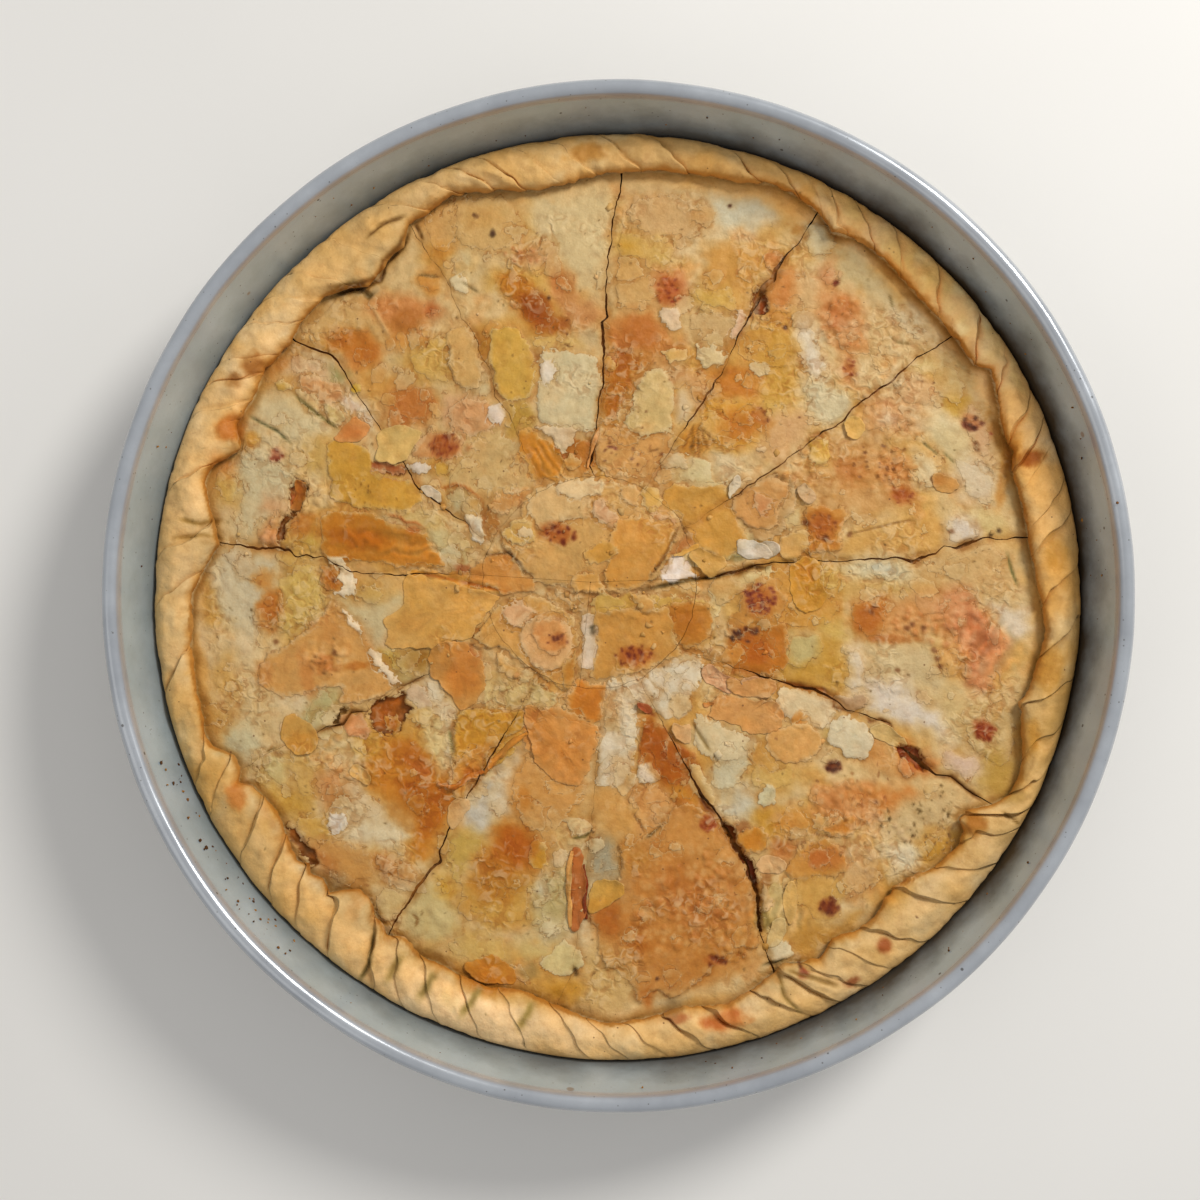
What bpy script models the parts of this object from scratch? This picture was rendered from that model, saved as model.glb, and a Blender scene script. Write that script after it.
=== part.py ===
"""Eggplant borek, cut into slices round a cut centre, in the round aluminium pan it was baked in.

Metres, +Z up. The origin is the middle of the pan's underside, and the pan stands on z = 0.
The pie is a bottom crust with a pleated rope of dough round its rim, a filling that runs through
the whole pie, and a top crust that knife cuts part into slices and into a round of pieces in the middle.
"""

import math

import bmesh
import bpy
from mathutils import Vector

# Pan
RIM_RADIUS = 0.182
PAN_HEIGHT = 0.055
SHEET = 0.0015
BEAD_RADIUS = 0.003
WALL_TOP_RADIUS = 0.176
WALL_FOOT_RADIUS = 0.1655
CORNER_RADIUS = 0.008
PAN_STEPS = 96

# Pie
GAP = 0.0003
PIE_RADIUS = 0.1695
CRUST_FOOT_RADIUS = 0.158
CRUST_FLOOR = 0.0027
SHELF_RADIUS = 0.152
SHELF_HEIGHT = 0.0278
TOP_THICKNESS = 0.005
TOP_RIM_HEIGHT = 0.0269
TOP_DOME = 0.0018
TOP_LUMPS = 0.0008

# The rope of dough round the rim: where each pleat begins, in degrees counted from +X towards +Y,
# and how far its lip reaches in from the outside of the pie, in millimetres.
PLEATS = [
    (2, 16.5), (8, 18), (11.5, 17.5), (17, 18), (20, 15.5), (24, 15), (31, 12.5), (36, 14.5),
    (44, 14.5), (51, 13.5), (56, 13.5), (60.5, 14), (64.5, 11), (68.5, 10), (74, 11), (84, 13),
    (90, 14), (96, 16.5), (101, 18.5), (106, 15), (110, 12), (114.5, 10), (119.5, 10.5), (127, 23),
    (134, 17), (138, 17), (142, 16.5), (148, 16), (151, 16.5), (155, 16.5), (158, 21), (165, 13),
    (173, 23), (180, 14), (190, 12), (202, 12), (206, 17.5), (213, 22), (219, 19), (224, 20),
    (229, 25), (236, 20.5), (240, 20), (244.5, 20.5), (250.5, 20), (256.5, 21), (264, 16), (269, 13),
    (274, 15), (279, 17.5), (285, 16), (292, 19), (296, 21.5), (299.5, 21.5), (304, 21), (309, 20.5),
    (316, 19), (322, 16.5), (327, 20.5), (330.5, 14), (336, 8), (341, 12.5), (347, 15), (355, 11),
]
PLEAT_LEAN = 3.0  # degrees: a pleat's outer end lies this far ahead of its middle, its lip this far behind
PLEAT_PEAK = 0.35  # where a pleat is highest, as a share of its width
CREASE_DEPTH = 0.0028
CREASE_SET_BACK = 0.001
ROPE_HEIGHT = 0.0345
LIP_THICKNESS = 0.0018

# The round in the middle of the top, which lies a little off the pie's centre.
ROUND_CENTRE = Vector((-0.010, 0.004))
ROUND_RADIUS = 0.039
ROUND_CUT = 0.0012

# The knife cuts from the rope to the round: the angle where each starts at the rope, the angle on
# the round where it ends, how far it bows towards its left on the way in, and its width (mm).
CUTS = [
    (7.7, 2, 0.0, 1.6), (37.6, 30, 0.0, 0.9), (62.5, 60, 0.0, 1.5), (89.6, 87, -1.3, 1.1),
    (119.4, 116, 3.0, 1.0), (142.0, 158, 5.0, 1.1), (172.9, 176, 0.0, 1.1), (205.1, 207, 0.0, 0.9),
    (236.2, 241, -1.5, 1.1), (261.7, 277, -1.5, 1.0), (292.4, 297, -4.0, 1.3), (330.5, 323, -8.5, 1.2),
]


def clear_scene():
    for obj in list(bpy.data.objects):
        bpy.data.objects.remove(obj, do_unlink=True)
    for collection in list(bpy.data.collections):
        bpy.data.collections.remove(collection)


def material(name, color, roughness, metallic=0.0):
    made = bpy.data.materials.new(name)
    made.use_nodes = True
    shader = made.node_tree.nodes["Principled BSDF"]
    shader.inputs["Base Color"].default_value = (*color, 1.0)
    shader.inputs["Roughness"].default_value = roughness
    shader.inputs["Metallic"].default_value = metallic
    return made


def add_object(name, bm, collection, finish, smooth_angle=None):
    mesh = bpy.data.meshes.new(name)
    bm.to_mesh(mesh)
    bm.free()
    mesh.materials.append(finish)
    if smooth_angle is not None:
        mesh.shade_smooth()
        mesh.set_sharp_from_angle(angle=math.radians(smooth_angle))
    obj = bpy.data.objects.new(name, mesh)
    collection.objects.link(obj)
    return obj


def polar(radius, degrees, centre=Vector((0.0, 0.0))):
    turn = math.radians(degrees)
    return centre + Vector((radius * math.cos(turn), radius * math.sin(turn)))


def arc(centre_r, centre_z, radius, start, end, count):
    """Points of an arc in the (r, z) plane, with angles in degrees."""
    for i in range(count + 1):
        turn = math.radians(start + (end - start) * i / count)
        yield centre_r + radius * math.cos(turn), centre_z + radius * math.sin(turn)


# ---------------------------------------------------------------- pan


def pan_profile():
    """The sheet's section from the middle of its inside, up the wall, round the bead and back under."""
    slope = math.atan2(WALL_TOP_RADIUS - WALL_FOOT_RADIUS, PAN_HEIGHT - SHEET)
    lean = math.degrees(slope)
    corner_r = WALL_FOOT_RADIUS - CORNER_RADIUS
    corner_z = SHEET + CORNER_RADIUS
    bead_r = RIM_RADIUS - BEAD_RADIUS
    bead_z = PAN_HEIGHT - BEAD_RADIUS
    points = [(0.0, SHEET)]
    points += arc(corner_r, corner_z, CORNER_RADIUS, -90, -lean, 3)
    points += arc(bead_r, bead_z, BEAD_RADIUS, 180, -70, 6)
    points += arc(corner_r, corner_z, CORNER_RADIUS + SHEET, -lean, -90, 3)
    points.append((0.0, 0.0))
    return points


def build_pan(collection, finish):
    bm = bmesh.new()
    points = [bm.verts.new((r, 0.0, z)) for r, z in pan_profile()]
    for first, second in zip(points, points[1:]):
        bm.edges.new((first, second))
    pan = add_object("pan", bm, collection, finish, smooth_angle=40)
    screw = pan.modifiers.new("turn", "SCREW")
    screw.axis = "Z"
    screw.steps = screw.render_steps = PAN_STEPS
    screw.use_merge_vertices = True
    screw.merge_threshold = 0.00005
    return pan


# ---------------------------------------------------------------- crust and rope


def rope_stations():
    """For each crease and each pleat's top: its angle, how far its lip reaches in, and how full it is."""
    stations = []
    for i, (angle, reach) in enumerate(PLEATS):
        after, next_reach = PLEATS[(i + 1) % len(PLEATS)]
        width = (after - angle) % 360
        stations.append((angle, reach / 1000, 0.0))
        stations.append((angle + PLEAT_PEAK * width, (reach + next_reach) / 2000, 1.0))
    return stations


def crust_section(angle, reach, fullness):
    """One section of the crust from its underside round the rope to its inner floor: (angle, r, z)."""
    outer = PIE_RADIUS - CREASE_SET_BACK * (1 - fullness)
    lip = PIE_RADIUS - reach - CREASE_SET_BACK * fullness
    crest = outer - 0.45 * (outer - lip)
    crest_z = ROPE_HEIGHT - CREASE_DEPTH * (1 - fullness)
    ahead, behind = angle + PLEAT_LEAN, angle - PLEAT_LEAN
    lip_z = SHELF_HEIGHT + LIP_THICKNESS
    return [
        (ahead, CRUST_FOOT_RADIUS, SHEET + GAP),
        (ahead, CRUST_FOOT_RADIUS + 0.0055, 0.009),
        (ahead, PIE_RADIUS - 0.0018, 0.022),
        (ahead, outer, SHELF_HEIGHT),
        (ahead - 0.3 * PLEAT_LEAN, outer - 0.0025, crest_z - 0.002),
        (angle, crest, crest_z),
        (behind + 0.5 * PLEAT_LEAN, lip + 0.3 * (crest - lip), crest_z - 0.0016),
        (behind, lip, lip_z),
        (behind, lip + 0.0004, SHELF_HEIGHT + 0.0002),
        (behind, SHELF_RADIUS, SHELF_HEIGHT),
        (behind, SHELF_RADIUS, CRUST_FLOOR + SHEET),
    ]


def build_crust(collection, finish):
    bm = bmesh.new()
    sections = []
    for station in rope_stations():
        ring = [(*polar(r, turn), z) for turn, r, z in crust_section(*station)]
        sections.append([bm.verts.new(point) for point in ring])
    under = bm.verts.new((0.0, 0.0, SHEET + GAP))
    floor = bm.verts.new((0.0, 0.0, CRUST_FLOOR + SHEET))
    for section, following in zip(sections, sections[1:] + sections[:1]):
        bm.faces.new((under, following[0], section[0]))
        bm.faces.new((floor, section[-1], following[-1]))
        for k in range(len(section) - 1):
            bm.faces.new((section[k], following[k], following[k + 1], section[k + 1]))
    return add_object("crust", bm, collection, finish, smooth_angle=50)


# ---------------------------------------------------------------- filling


def build_filling(collection, finish):
    radius = SHELF_RADIUS - 2 * GAP
    low = CRUST_FLOOR + SHEET + GAP
    high = TOP_RIM_HEIGHT - TOP_THICKNESS - GAP
    bm = bmesh.new()
    bmesh.ops.create_cone(
        bm, cap_ends=True, segments=72, radius1=radius, radius2=radius, depth=high - low
    )
    bmesh.ops.translate(bm, verts=bm.verts, vec=(0.0, 0.0, (low + high) / 2))
    return add_object("filling", bm, collection, finish, smooth_angle=40)


# ---------------------------------------------------------------- top crust


def top_height(point):
    """The top's gentle dome and lumps, which fade out under the rope."""
    inward = max(0.0, 1 - (point.length / SHELF_RADIUS) ** 2)
    waves = math.sin(74 * point.x + 1.3) * math.cos(61 * point.y - 0.6)
    waves += 0.6 * math.sin(118 * point.y + 47 * point.x)
    return TOP_RIM_HEIGHT + TOP_DOME * inward + TOP_LUMPS * waves * inward


def cut_point(cut, inward):
    """A point on a knife cut's middle line, and the unit vector to its left, looking inwards."""
    rope_angle, round_angle, bow, _ = cut
    start = polar(SHELF_RADIUS - 2 * GAP, rope_angle)
    end = polar(ROUND_RADIUS + ROUND_CUT / 2, round_angle, ROUND_CENTRE)
    along = (end - start).normalized()
    left = Vector((-along.y, along.x))
    return start.lerp(end, inward) + left * (bow / 1000 * 4 * inward * (1 - inward)), left


def slice_row(first, second, inward, count):
    """Points across a slice, from its first cut to its second, on arcs that pass from pie to round."""
    centre = ROUND_CENTRE * inward
    ends = []
    for cut, side in ((first, -1), (second, 1)):
        point, left = cut_point(cut, inward)
        ends.append(point + left * side * cut[3] / 2000 - centre)
    turn = ends[0].angle_signed(ends[1])
    start_angle = math.atan2(ends[0].y, ends[0].x)
    for i in range(count + 1):
        share = i / count
        angle = math.degrees(start_angle - turn * share)
        radius = ends[0].length * (1 - share) + ends[1].length * share
        yield polar(radius, angle, centre)


def close_slab(bm, rows, underside):
    """A closed slab under a grid of top points: the top, a flat underside and the walls between."""
    top = [[bm.verts.new((*point, top_height(point))) for point in row] for row in rows]
    for row, following in zip(top, top[1:]):
        for k in range(len(row) - 1):
            bm.faces.new((row[k], row[k + 1], following[k + 1], following[k]))
    edge = top[0] + [row[-1] for row in top[1:]] + top[-1][-2::-1]
    edge += [row[0] for row in top[-2:0:-1]]
    low = [bm.verts.new((vert.co.x, vert.co.y, underside)) for vert in edge]
    for k in range(len(edge)):
        after = (k + 1) % len(edge)
        bm.faces.new((edge[k], low[k], low[after], edge[after]))
    bm.faces.new(low)
    bmesh.ops.recalc_face_normals(bm, faces=bm.faces)


def build_slice(index, collection, finish):
    first, second = CUTS[index], CUTS[(index + 1) % len(CUTS)]
    rows = [list(slice_row(first, second, step / 5, 4)) for step in range(6)]
    bm = bmesh.new()
    close_slab(bm, rows, TOP_RIM_HEIGHT - TOP_THICKNESS)
    return add_object(f"slice_{index + 1:02d}", bm, collection, finish, smooth_angle=40)


def build_centre_piece(name, start, end, collection, finish):
    """A sector of the round between two cuts that meet at its middle."""
    half_cut = ROUND_CUT / 2
    radius = ROUND_RADIUS - half_cut
    turned = math.degrees(math.asin(half_cut / radius))
    half_angle = (end - start) / 2
    tip = polar(half_cut / math.sin(math.radians(half_angle)), start + half_angle, ROUND_CENTRE)
    count = max(4, round((end - start) / 15))
    rows = []
    for share in (1.0, 0.55):
        arc_angles = [start + turned + (end - start - 2 * turned) * i / count for i in range(count + 1)]
        rows.append([tip.lerp(polar(radius, angle, ROUND_CENTRE), share) for angle in arc_angles])
    bm = bmesh.new()
    outline = rows[0] + [tip]
    top = [bm.verts.new((*point, top_height(point))) for point in outline]
    inner = [bm.verts.new((*point, top_height(point))) for point in rows[1]]
    for k in range(count):
        bm.faces.new((top[k], top[k + 1], inner[k + 1], inner[k]))
        bm.faces.new((inner[k], inner[k + 1], top[-1]))
    low = [bm.verts.new((*point, TOP_RIM_HEIGHT - TOP_THICKNESS)) for point in outline]
    bm.faces.new(low[::-1])
    for k in range(count):
        bm.faces.new((top[k], low[k], low[k + 1], top[k + 1]))
    last = len(top) - 1
    bm.faces.new((top[count], low[count], low[last], top[last], inner[count]))
    bm.faces.new((top[last], low[last], low[0], top[0], inner[0]))
    bmesh.ops.recalc_face_normals(bm, faces=bm.faces)
    bmesh.ops.triangulate(bm, faces=bm.faces)
    return add_object(name, bm, collection, finish, smooth_angle=40)


def main():
    clear_scene()
    borek = bpy.data.collections.new("eggplant_borek")
    bpy.context.scene.collection.children.link(borek)

    build_pan(borek, material("pan", (0.55, 0.56, 0.57), 0.42, metallic=1.0))
    build_crust(borek, material("crust", (0.62, 0.41, 0.18), 0.6))
    build_filling(borek, material("filling", (0.30, 0.16, 0.05), 0.5))
    top_finish = material("top_crust", (0.66, 0.42, 0.17), 0.6)
    for index in range(len(CUTS)):
        build_slice(index, borek, top_finish)
    for name, start, end in (
        ("centre_far", 2, 176),
        ("centre_near_left", 176, 264),
        ("centre_near_right", 264, 362),
    ):
        build_centre_piece(name, start, end, borek, top_finish)


main()
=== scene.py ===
"""The looks of the eggplant borek and its round aluminium pan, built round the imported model.

Lengths are millimetres in the model's own axes, with the origin in the middle of the pan's underside, +X to
the right and +Y away from the viewer; make_piece turns them into metres. The top of the pie is painted on a
Canvas, a fine raster of relief and colour over the whole pie, and every crust mesh takes its height and its
colour from it.
"""

import math

import bmesh
import bpy
import numpy as np
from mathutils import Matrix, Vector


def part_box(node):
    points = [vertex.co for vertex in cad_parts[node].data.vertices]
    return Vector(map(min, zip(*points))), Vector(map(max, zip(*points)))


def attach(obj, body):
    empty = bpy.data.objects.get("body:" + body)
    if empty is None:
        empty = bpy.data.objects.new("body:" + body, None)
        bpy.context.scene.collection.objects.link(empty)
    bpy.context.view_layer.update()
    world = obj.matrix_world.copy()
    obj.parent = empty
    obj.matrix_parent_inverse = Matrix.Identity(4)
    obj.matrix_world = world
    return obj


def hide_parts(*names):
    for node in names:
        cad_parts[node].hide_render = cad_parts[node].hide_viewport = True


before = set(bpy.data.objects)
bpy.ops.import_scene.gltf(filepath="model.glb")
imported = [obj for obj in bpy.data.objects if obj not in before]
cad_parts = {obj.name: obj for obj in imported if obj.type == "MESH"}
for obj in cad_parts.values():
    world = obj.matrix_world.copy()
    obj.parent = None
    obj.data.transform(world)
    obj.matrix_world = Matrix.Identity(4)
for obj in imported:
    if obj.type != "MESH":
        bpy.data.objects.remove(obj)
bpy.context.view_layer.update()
BODY = "root"

# ---------------------------------------------------------------- measures shared with the model

RIM_RADIUS = 182.0
PAN_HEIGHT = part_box("pan")[1].z * 1000
SHEET = 1.5
BEAD_RADIUS = 3.0
WALL_TOP_RADIUS = 176.0
WALL_FOOT_RADIUS = 165.5
CORNER_RADIUS = 8.0

PIE_RADIUS = 169.5
CRUST_FOOT_RADIUS = 158.0
CRUST_BOTTOM = 1.8
CRUST_FLOOR = 4.2
SHELF_RADIUS = 152.0
SHELF_HEIGHT = 27.8
TOP_RADIUS = 151.4
TOP_THICKNESS = 5.0
TOP_RIM_HEIGHT = 26.9
TOP_UNDERSIDE = TOP_RIM_HEIGHT - TOP_THICKNESS
TOP_DOME = 1.8
TOP_LUMPS = 0.8
SLICES_END = 163.0  # the slices' edges run on under the rope's lip as far as this

# How finely the pieces are made.
TOP_STEP = 0.62  # between the rows of points across the top
TOP_RIM_STEP = 0.74  # between the points of a slice's outermost row
ROPE_STEP = 0.72  # between the rope's columns of points
PAN_COLUMNS = 300

CUT_LENGTH = 113  # from the rope to the cut round the middle
ROPE_DEGREE = 2.9  # how long one degree is along the rope
ROUND_DEGREE = 0.68  # and along the cut round the middle

# The rope of dough: where each pleat begins, in degrees from +X towards +Y.
PLEATS = [
    2, 8, 11.5, 17, 20, 24, 31, 36, 44, 51, 56, 60.5, 64.5, 68.5, 74, 84, 90, 96, 101, 106, 110, 114.5,
    119.5, 127, 134, 138, 142, 148, 151, 155, 158, 165, 173, 180, 190, 202, 206, 213, 219, 224, 229, 236,
    240, 244.5, 250.5, 256.5, 264, 269, 274, 279, 285, 292, 296, 299.5, 304, 309, 316, 322, 327, 330.5, 336,
    341, 347, 355,
]
# How far out the rope's lip lies: (degrees, radius).
LIP = [
    (2, 153), (8, 151.5), (11.5, 152), (17, 151.5), (19.7, 154), (23.1, 153.2), (25.9, 155.6), (30.9, 159.7),
    (32.7, 155.6), (36.6, 155.8), (41.1, 155.2), (45, 155.6), (50.4, 157), (55.3, 158), (59.3, 154.7),
    (62.3, 159), (65.8, 161), (68.5, 161.5), (74, 158.5), (84, 156.5), (90, 155.5), (96, 153), (101, 151),
    (106, 154.5), (112.7, 159), (116.6, 156.5), (119.5, 156), (121.7, 150.4), (126.2, 147.4), (129.2, 145.7),
    (132, 150.8), (134.7, 153.4), (139.2, 153.2), (143.1, 151.4), (147.6, 152.9), (152.1, 151.6),
    (156.1, 153), (159, 147.8), (160.4, 150.7), (162.5, 156), (165, 156.5), (173, 147), (180, 155.5),
    (190, 157.5), (195.4, 157.7), (198.3, 159), (200.7, 158.3), (202.9, 152), (204.9, 152), (206.6, 154.3),
    (207.8, 150.3), (211.4, 147.7), (213.7, 147.8), (218, 151), (219.7, 151.9), (221.2, 150), (222.3, 151.5),
    (224.2, 149), (226.1, 151.4), (227.2, 147), (229, 143), (231, 143), (232.3, 145.4), (235.9, 149.8),
    (238, 147.3), (241.4, 150.4), (243.8, 149.4), (251.4, 150.4), (256.5, 148.5), (264, 153.5), (269, 156.5),
    (274, 154.5), (279, 152), (284.9, 155), (286.7, 153.4), (290.1, 151), (294, 147.4), (296.2, 149.4),
    (298.8, 151.7), (301.8, 148), (304.6, 149.5), (306.9, 151.4), (312.8, 147), (317.2, 150), (319.2, 153),
    (323.9, 154.6), (325.4, 153), (326.5, 148.7), (328.3, 150.4), (330.5, 156.3), (332.8, 160.5),
    (335, 161.5), (338.5, 158.6), (341.3, 155.8), (344.8, 152), (347, 154), (355, 157.5),
]
# How boldly the pleats stand up, at a few angles round the rope.
PLEAT_RELIEF = [
    (0, 1.0), (40, 1.0), (62, 1.1), (75, 0.9), (88, 0.75), (104, 0.8), (120, 0.45), (134, 0.6), (150, 0.9),
    (170, 0.9), (185, 0.7), (200, 0.7), (212, 0.9), (232, 0.8), (238, 0.42), (262, 0.45), (270, 0.85),
    (300, 0.95), (325, 1.0), (345, 1.0), (360, 1.0),
]

# The cut round in the middle, its three pieces, and the knife cuts from the rope to it: (angle at the
# rope, angle on the round, points on the way, width).
ROUND_CENTRE = np.array([-10.0, 4.0])
ROUND_RADIUS = 39.0
ROUND_CUT = 1.2
ROUND_PIECES = [("centre_far", 2, 176), ("centre_near_left", 176, 264), ("centre_near_right", 264, 362)]
CUTS = [
    (7.7, 2, [(140, 20.2), (134.4, 20.4), (131.2, 18.8), (124.8, 16.4), (120, 17.2), (116.8, 14.8),
        (112, 13.6), (108.8, 11.6), (102.4, 12.8), (57.2, 11), (49.6, 9.6), (44.8, 8)], 1.2),
    (37.6, 30, [(116.8, 90.4), (110.4, 87.2), (106.4, 83.2), (100, 77.6), (88.8, 70.4), (86, 67.2),
        (82.4, 63.2), (78.4, 60.8), (72, 56.8), (60, 47.2), (50.4, 40.8)], 1.3),
    (62.5, 60, [(65.6, 128.8), (61.2, 124), (56.8, 116), (52.8, 112), (51.2, 108), (48, 100.8), (44, 94.4),
        (39.2, 83.2), (34.4, 76), (31.2, 70.4)], 1.6),
    (89.6, 87, [(-0.8, 143.2), (-2.4, 132.8), (-3.6, 123.2), (-4.4, 112.8), (-4, 102.4), (-6, 100.4),
        (-4.8, 96), (-5.2, 80.8), (-6.8, 72), (-7.2, 66.4), (-8.8, 56.8), (-10.4, 48)], 1.6),
    (119.4, 116, [(-66.4, 120.8), (-64, 116.8), (-60.8, 110), (-57.6, 101.6), (-52.8, 96), (-51.2, 89.6),
        (-47.2, 82.4), (-45.6, 72.8), (-42.4, 69.6)], 0.5),
    (142.0, 158, [(-115.2, 92), (-110.4, 90), (-104.8, 87.6), (-100.8, 82.4), (-97.6, 76.8), (-92, 68),
        (-85, 57), (-73.2, 39.2), (-68, 35.2), (-60.8, 28.8), (-56, 26.4), (-53.6, 23.2)], 0.9),
    (172.9, 176, [(-140.8, 18.4), (-132, 16.4), (-124.8, 16.8), (-120.8, 16), (-118.8, 14), (-108.8, 13.2),
        (-100, 8.8), (-91, 6.8), (-72, 7.2)], 1.1),
    (205.1, 207, [(-133.6, -62.4), (-130.4, -59.2), (-124.8, -57.2), (-110.4, -50.8), (-100.8, -47.6),
        (-97.6, -43.2), (-92, -43.2), (-80, -34.4), (-70.4, -30.4)], 0.4),
    (236.2, 241, [(-79.2, -116), (-74.4, -110.4), (-72, -105.6), (-68, -100.8), (-64.8, -97.6),
        (-65.2, -94.4), (-62.4, -86.8)], 1.4),
    (261.7, 277, [(-16, -137), (-15, -123), (-12, -108), (-10, -90), (-8, -66)], 0.2),
    (292.4, 297, [(52, -124), (51, -117), (51, -110), (46, -97), (42, -91), (38, -83), (31, -75)], 1.3),
    (330.5, 323, [(128, -72), (122.4, -67.2), (116.8, -66), (109, -60), (102, -55), (100, -48), (91.2, -44.8),
        (84, -42), (77.6, -37.6), (69.6, -34.8), (59.2, -32.4)], 1.2),
]
# Where a cut gapes: (cut, share of the way in, spread as a share, extra width).
GAPES = [
    (0, 0.18, 0.03, 1.3), (0, 0.345, 0.03, 1.1), (0, 0.88, 0.06, 1.0), (1, 0.25, 0.08, 0.4),
    (2, 0.227, 0.08, 1.8), (3, 0.52, 0.07, 0.8), (3, 0.92, 0.05, 1.3), (5, 0.1, 0.1, 0.6),
    (5, 0.75, 0.12, 0.5), (6, 0.22, 0.1, 0.6), (7, 0.39, 0.05, 0.8), (8, 0.2, 0.14, 0.6),
    (10, 0.24, 0.05, 0.8), (10, 0.44, 0.06, 1.4), (10, 0.6, 0.05, 0.8), (11, 0.2, 0.05, 1.5),
    (11, 0.58, 0.06, 0.8),
]

# ---------------------------------------------------------------- colours

WHITE = "d4c9b2"
PALE = "cfbe9c"
CREAM = "ccb080"
SAND = "c8a570"
GOLD = "c9994f"
TAN = "ca965c"
AMBER = "b9762c"
# The dark brown of painted shade in crevices, cracks and round the rims of holes.
CREVICE_SHADE = "5e3210"

# Sheen and stray light flatten the painted colours: the strength and contrast that make up for it.
STRENGTH = np.array([1.27, 1.185, 1.43])
CONTRAST = np.array([1.42, 1.27, 1.40])


def rgb(code):
    """The sRGB numbers of a colour written as on a swatch."""
    return np.array([int(code[k : k + 2], 16) for k in (0, 2, 4)]) / 255


def plain(code, *shape):
    """A field of that shape in one colour."""
    return np.ones((*shape, 3)) * rgb(code)


def linear(colour):
    """Linear light from sRGB numbers."""
    return np.where(colour <= 0.04045, colour / 12.92, ((colour + 0.055) / 1.055) ** 2.4)


# ---------------------------------------------------------------- noise

LATTICE = np.random.default_rng(7).random((256, 256))


def noise(x, y, size, seed):
    """Smooth noise from -1 to 1, with lumps about size across."""
    u = (0.8 * x + 0.6 * y) / size + 17.17 * seed
    v = (0.8 * y - 0.6 * x) / size + 31.31 * seed
    i, j = np.floor(u).astype(int), np.floor(v).astype(int)
    u, v = u - i, v - j
    u, v = u * u * (3 - 2 * u), v * v * (3 - 2 * v)
    i, j = i % 256, j % 256
    right, up = (i + 1) % 256, (j + 1) % 256
    low = LATTICE[i, j] * (1 - u) + LATTICE[right, j] * u
    high = LATTICE[i, up] * (1 - u) + LATTICE[right, up] * u
    return 2 * (low * (1 - v) + high * v) - 1


def rough(x, y, size, seed, octaves=3):
    """Noise with finer noise on it, from -1 to 1."""
    total, weight, whole = 0.0, 1.0, 0.0
    for octave in range(octaves):
        total = total + weight * noise(x, y, size / 2**octave, seed + 5 * octave)
        whole += weight
        weight *= 0.55
    return total / whole


def kinked(places, step, seed, length=None):
    """Noise from -1 to 1 along a line, straight between its knots, so that it has corners."""
    count = max(3, int(length / step)) if length else 256
    u = places / (length / count if length else step) + 1e-9
    i = np.floor(u).astype(int)
    knots = LATTICE[(53 * seed + 11) % 256]
    return 2 * (knots[(i % count) % 256] * (1 - u + i) + knots[((i + 1) % count) % 256] * (u - i)) - 1


def cell_middles(x, y, size, seed):
    """Where the middle of each point's cell lies, for irregular cells about size across."""
    i, j = np.floor(x / size).astype(int), np.floor(y / size).astype(int)
    nearest = np.full(np.shape(x), 1e9)
    found_x, found_y = np.zeros_like(x), np.zeros_like(y)
    for di in (-1, 0, 1):
        for dj in (-1, 0, 1):
            a, b = i + di, j + dj
            px = (a + 0.1 + 0.8 * LATTICE[(a + 57 * seed) % 256, (b + 91 * seed) % 256]) * size
            py = (b + 0.1 + 0.8 * LATTICE[(a + 131 * seed + 7) % 256, (b + 29 * seed + 3) % 256]) * size
            distance = (px - x) ** 2 + (py - y) ** 2
            closer = distance < nearest
            nearest = np.where(closer, distance, nearest)
            found_x, found_y = np.where(closer, px, found_x), np.where(closer, py, found_y)
    return found_x, found_y


def smooth_step(low, high, value):
    share = np.clip((value - low) / (high - low), 0, 1)
    return share * share * (3 - 2 * share)


def softened(field):
    """The field blurred over the nearest few cells."""
    for _ in range(4):
        for axis in (0, 1):
            field = (field + np.roll(field, 1, axis) + np.roll(field, -1, axis)) / 3
    return field


def mixed(colours, other, share):
    return colours + (other - colours) * np.asarray(share)[..., None]


# ---------------------------------------------------------------- plane geometry


def along_across(x, y, degrees):
    """How far points lie along and across a direction."""
    cosine, sine = math.cos(math.radians(degrees)), math.sin(math.radians(degrees))
    return x * cosine + y * sine, y * cosine - x * sine


def spot_within(rng, x, y, rx, ry):
    """A random place inside an ellipse."""
    turn, out = rng.uniform(0, 2 * math.pi), math.sqrt(rng.random())
    return x + rx * out * math.cos(turn), y + ry * out * math.sin(turn)


def polar(radius, degrees, centre=(0.0, 0.0)):
    turn = np.radians(degrees)
    return np.stack([centre[0] + radius * np.cos(turn), centre[1] + radius * np.sin(turn)], -1)


def rounded(outline):
    """The closed outline with its corners cut off, which leaves an organic shape."""
    points = np.array(outline, float)
    after = np.roll(points, -1, axis=0)
    return np.stack([0.78 * points + 0.22 * after, 0.22 * points + 0.78 * after], 1).reshape(-1, 2)


def outline_distance(x, y, outline):
    """Signed distance to a closed outline, negative inside."""
    nearest = np.full(np.shape(x), 1e9)
    inside = np.zeros(np.shape(x), bool)
    for (ax, ay), (bx, by) in zip(outline, np.roll(outline, -1, axis=0)):
        dx, dy = bx - ax, by - ay
        along = np.clip(((x - ax) * dx + (y - ay) * dy) / (dx * dx + dy * dy + 1e-12), 0, 1)
        nearest = np.minimum(nearest, (x - ax - along * dx) ** 2 + (y - ay - along * dy) ** 2)
        crosses = (ay > y) != (by > y)
        inside ^= crosses & (x < ax + (y - ay) * dx / (dy if abs(dy) > 1e-12 else 1e-12))
    return np.sqrt(nearest) * np.where(inside, -1, 1)


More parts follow.
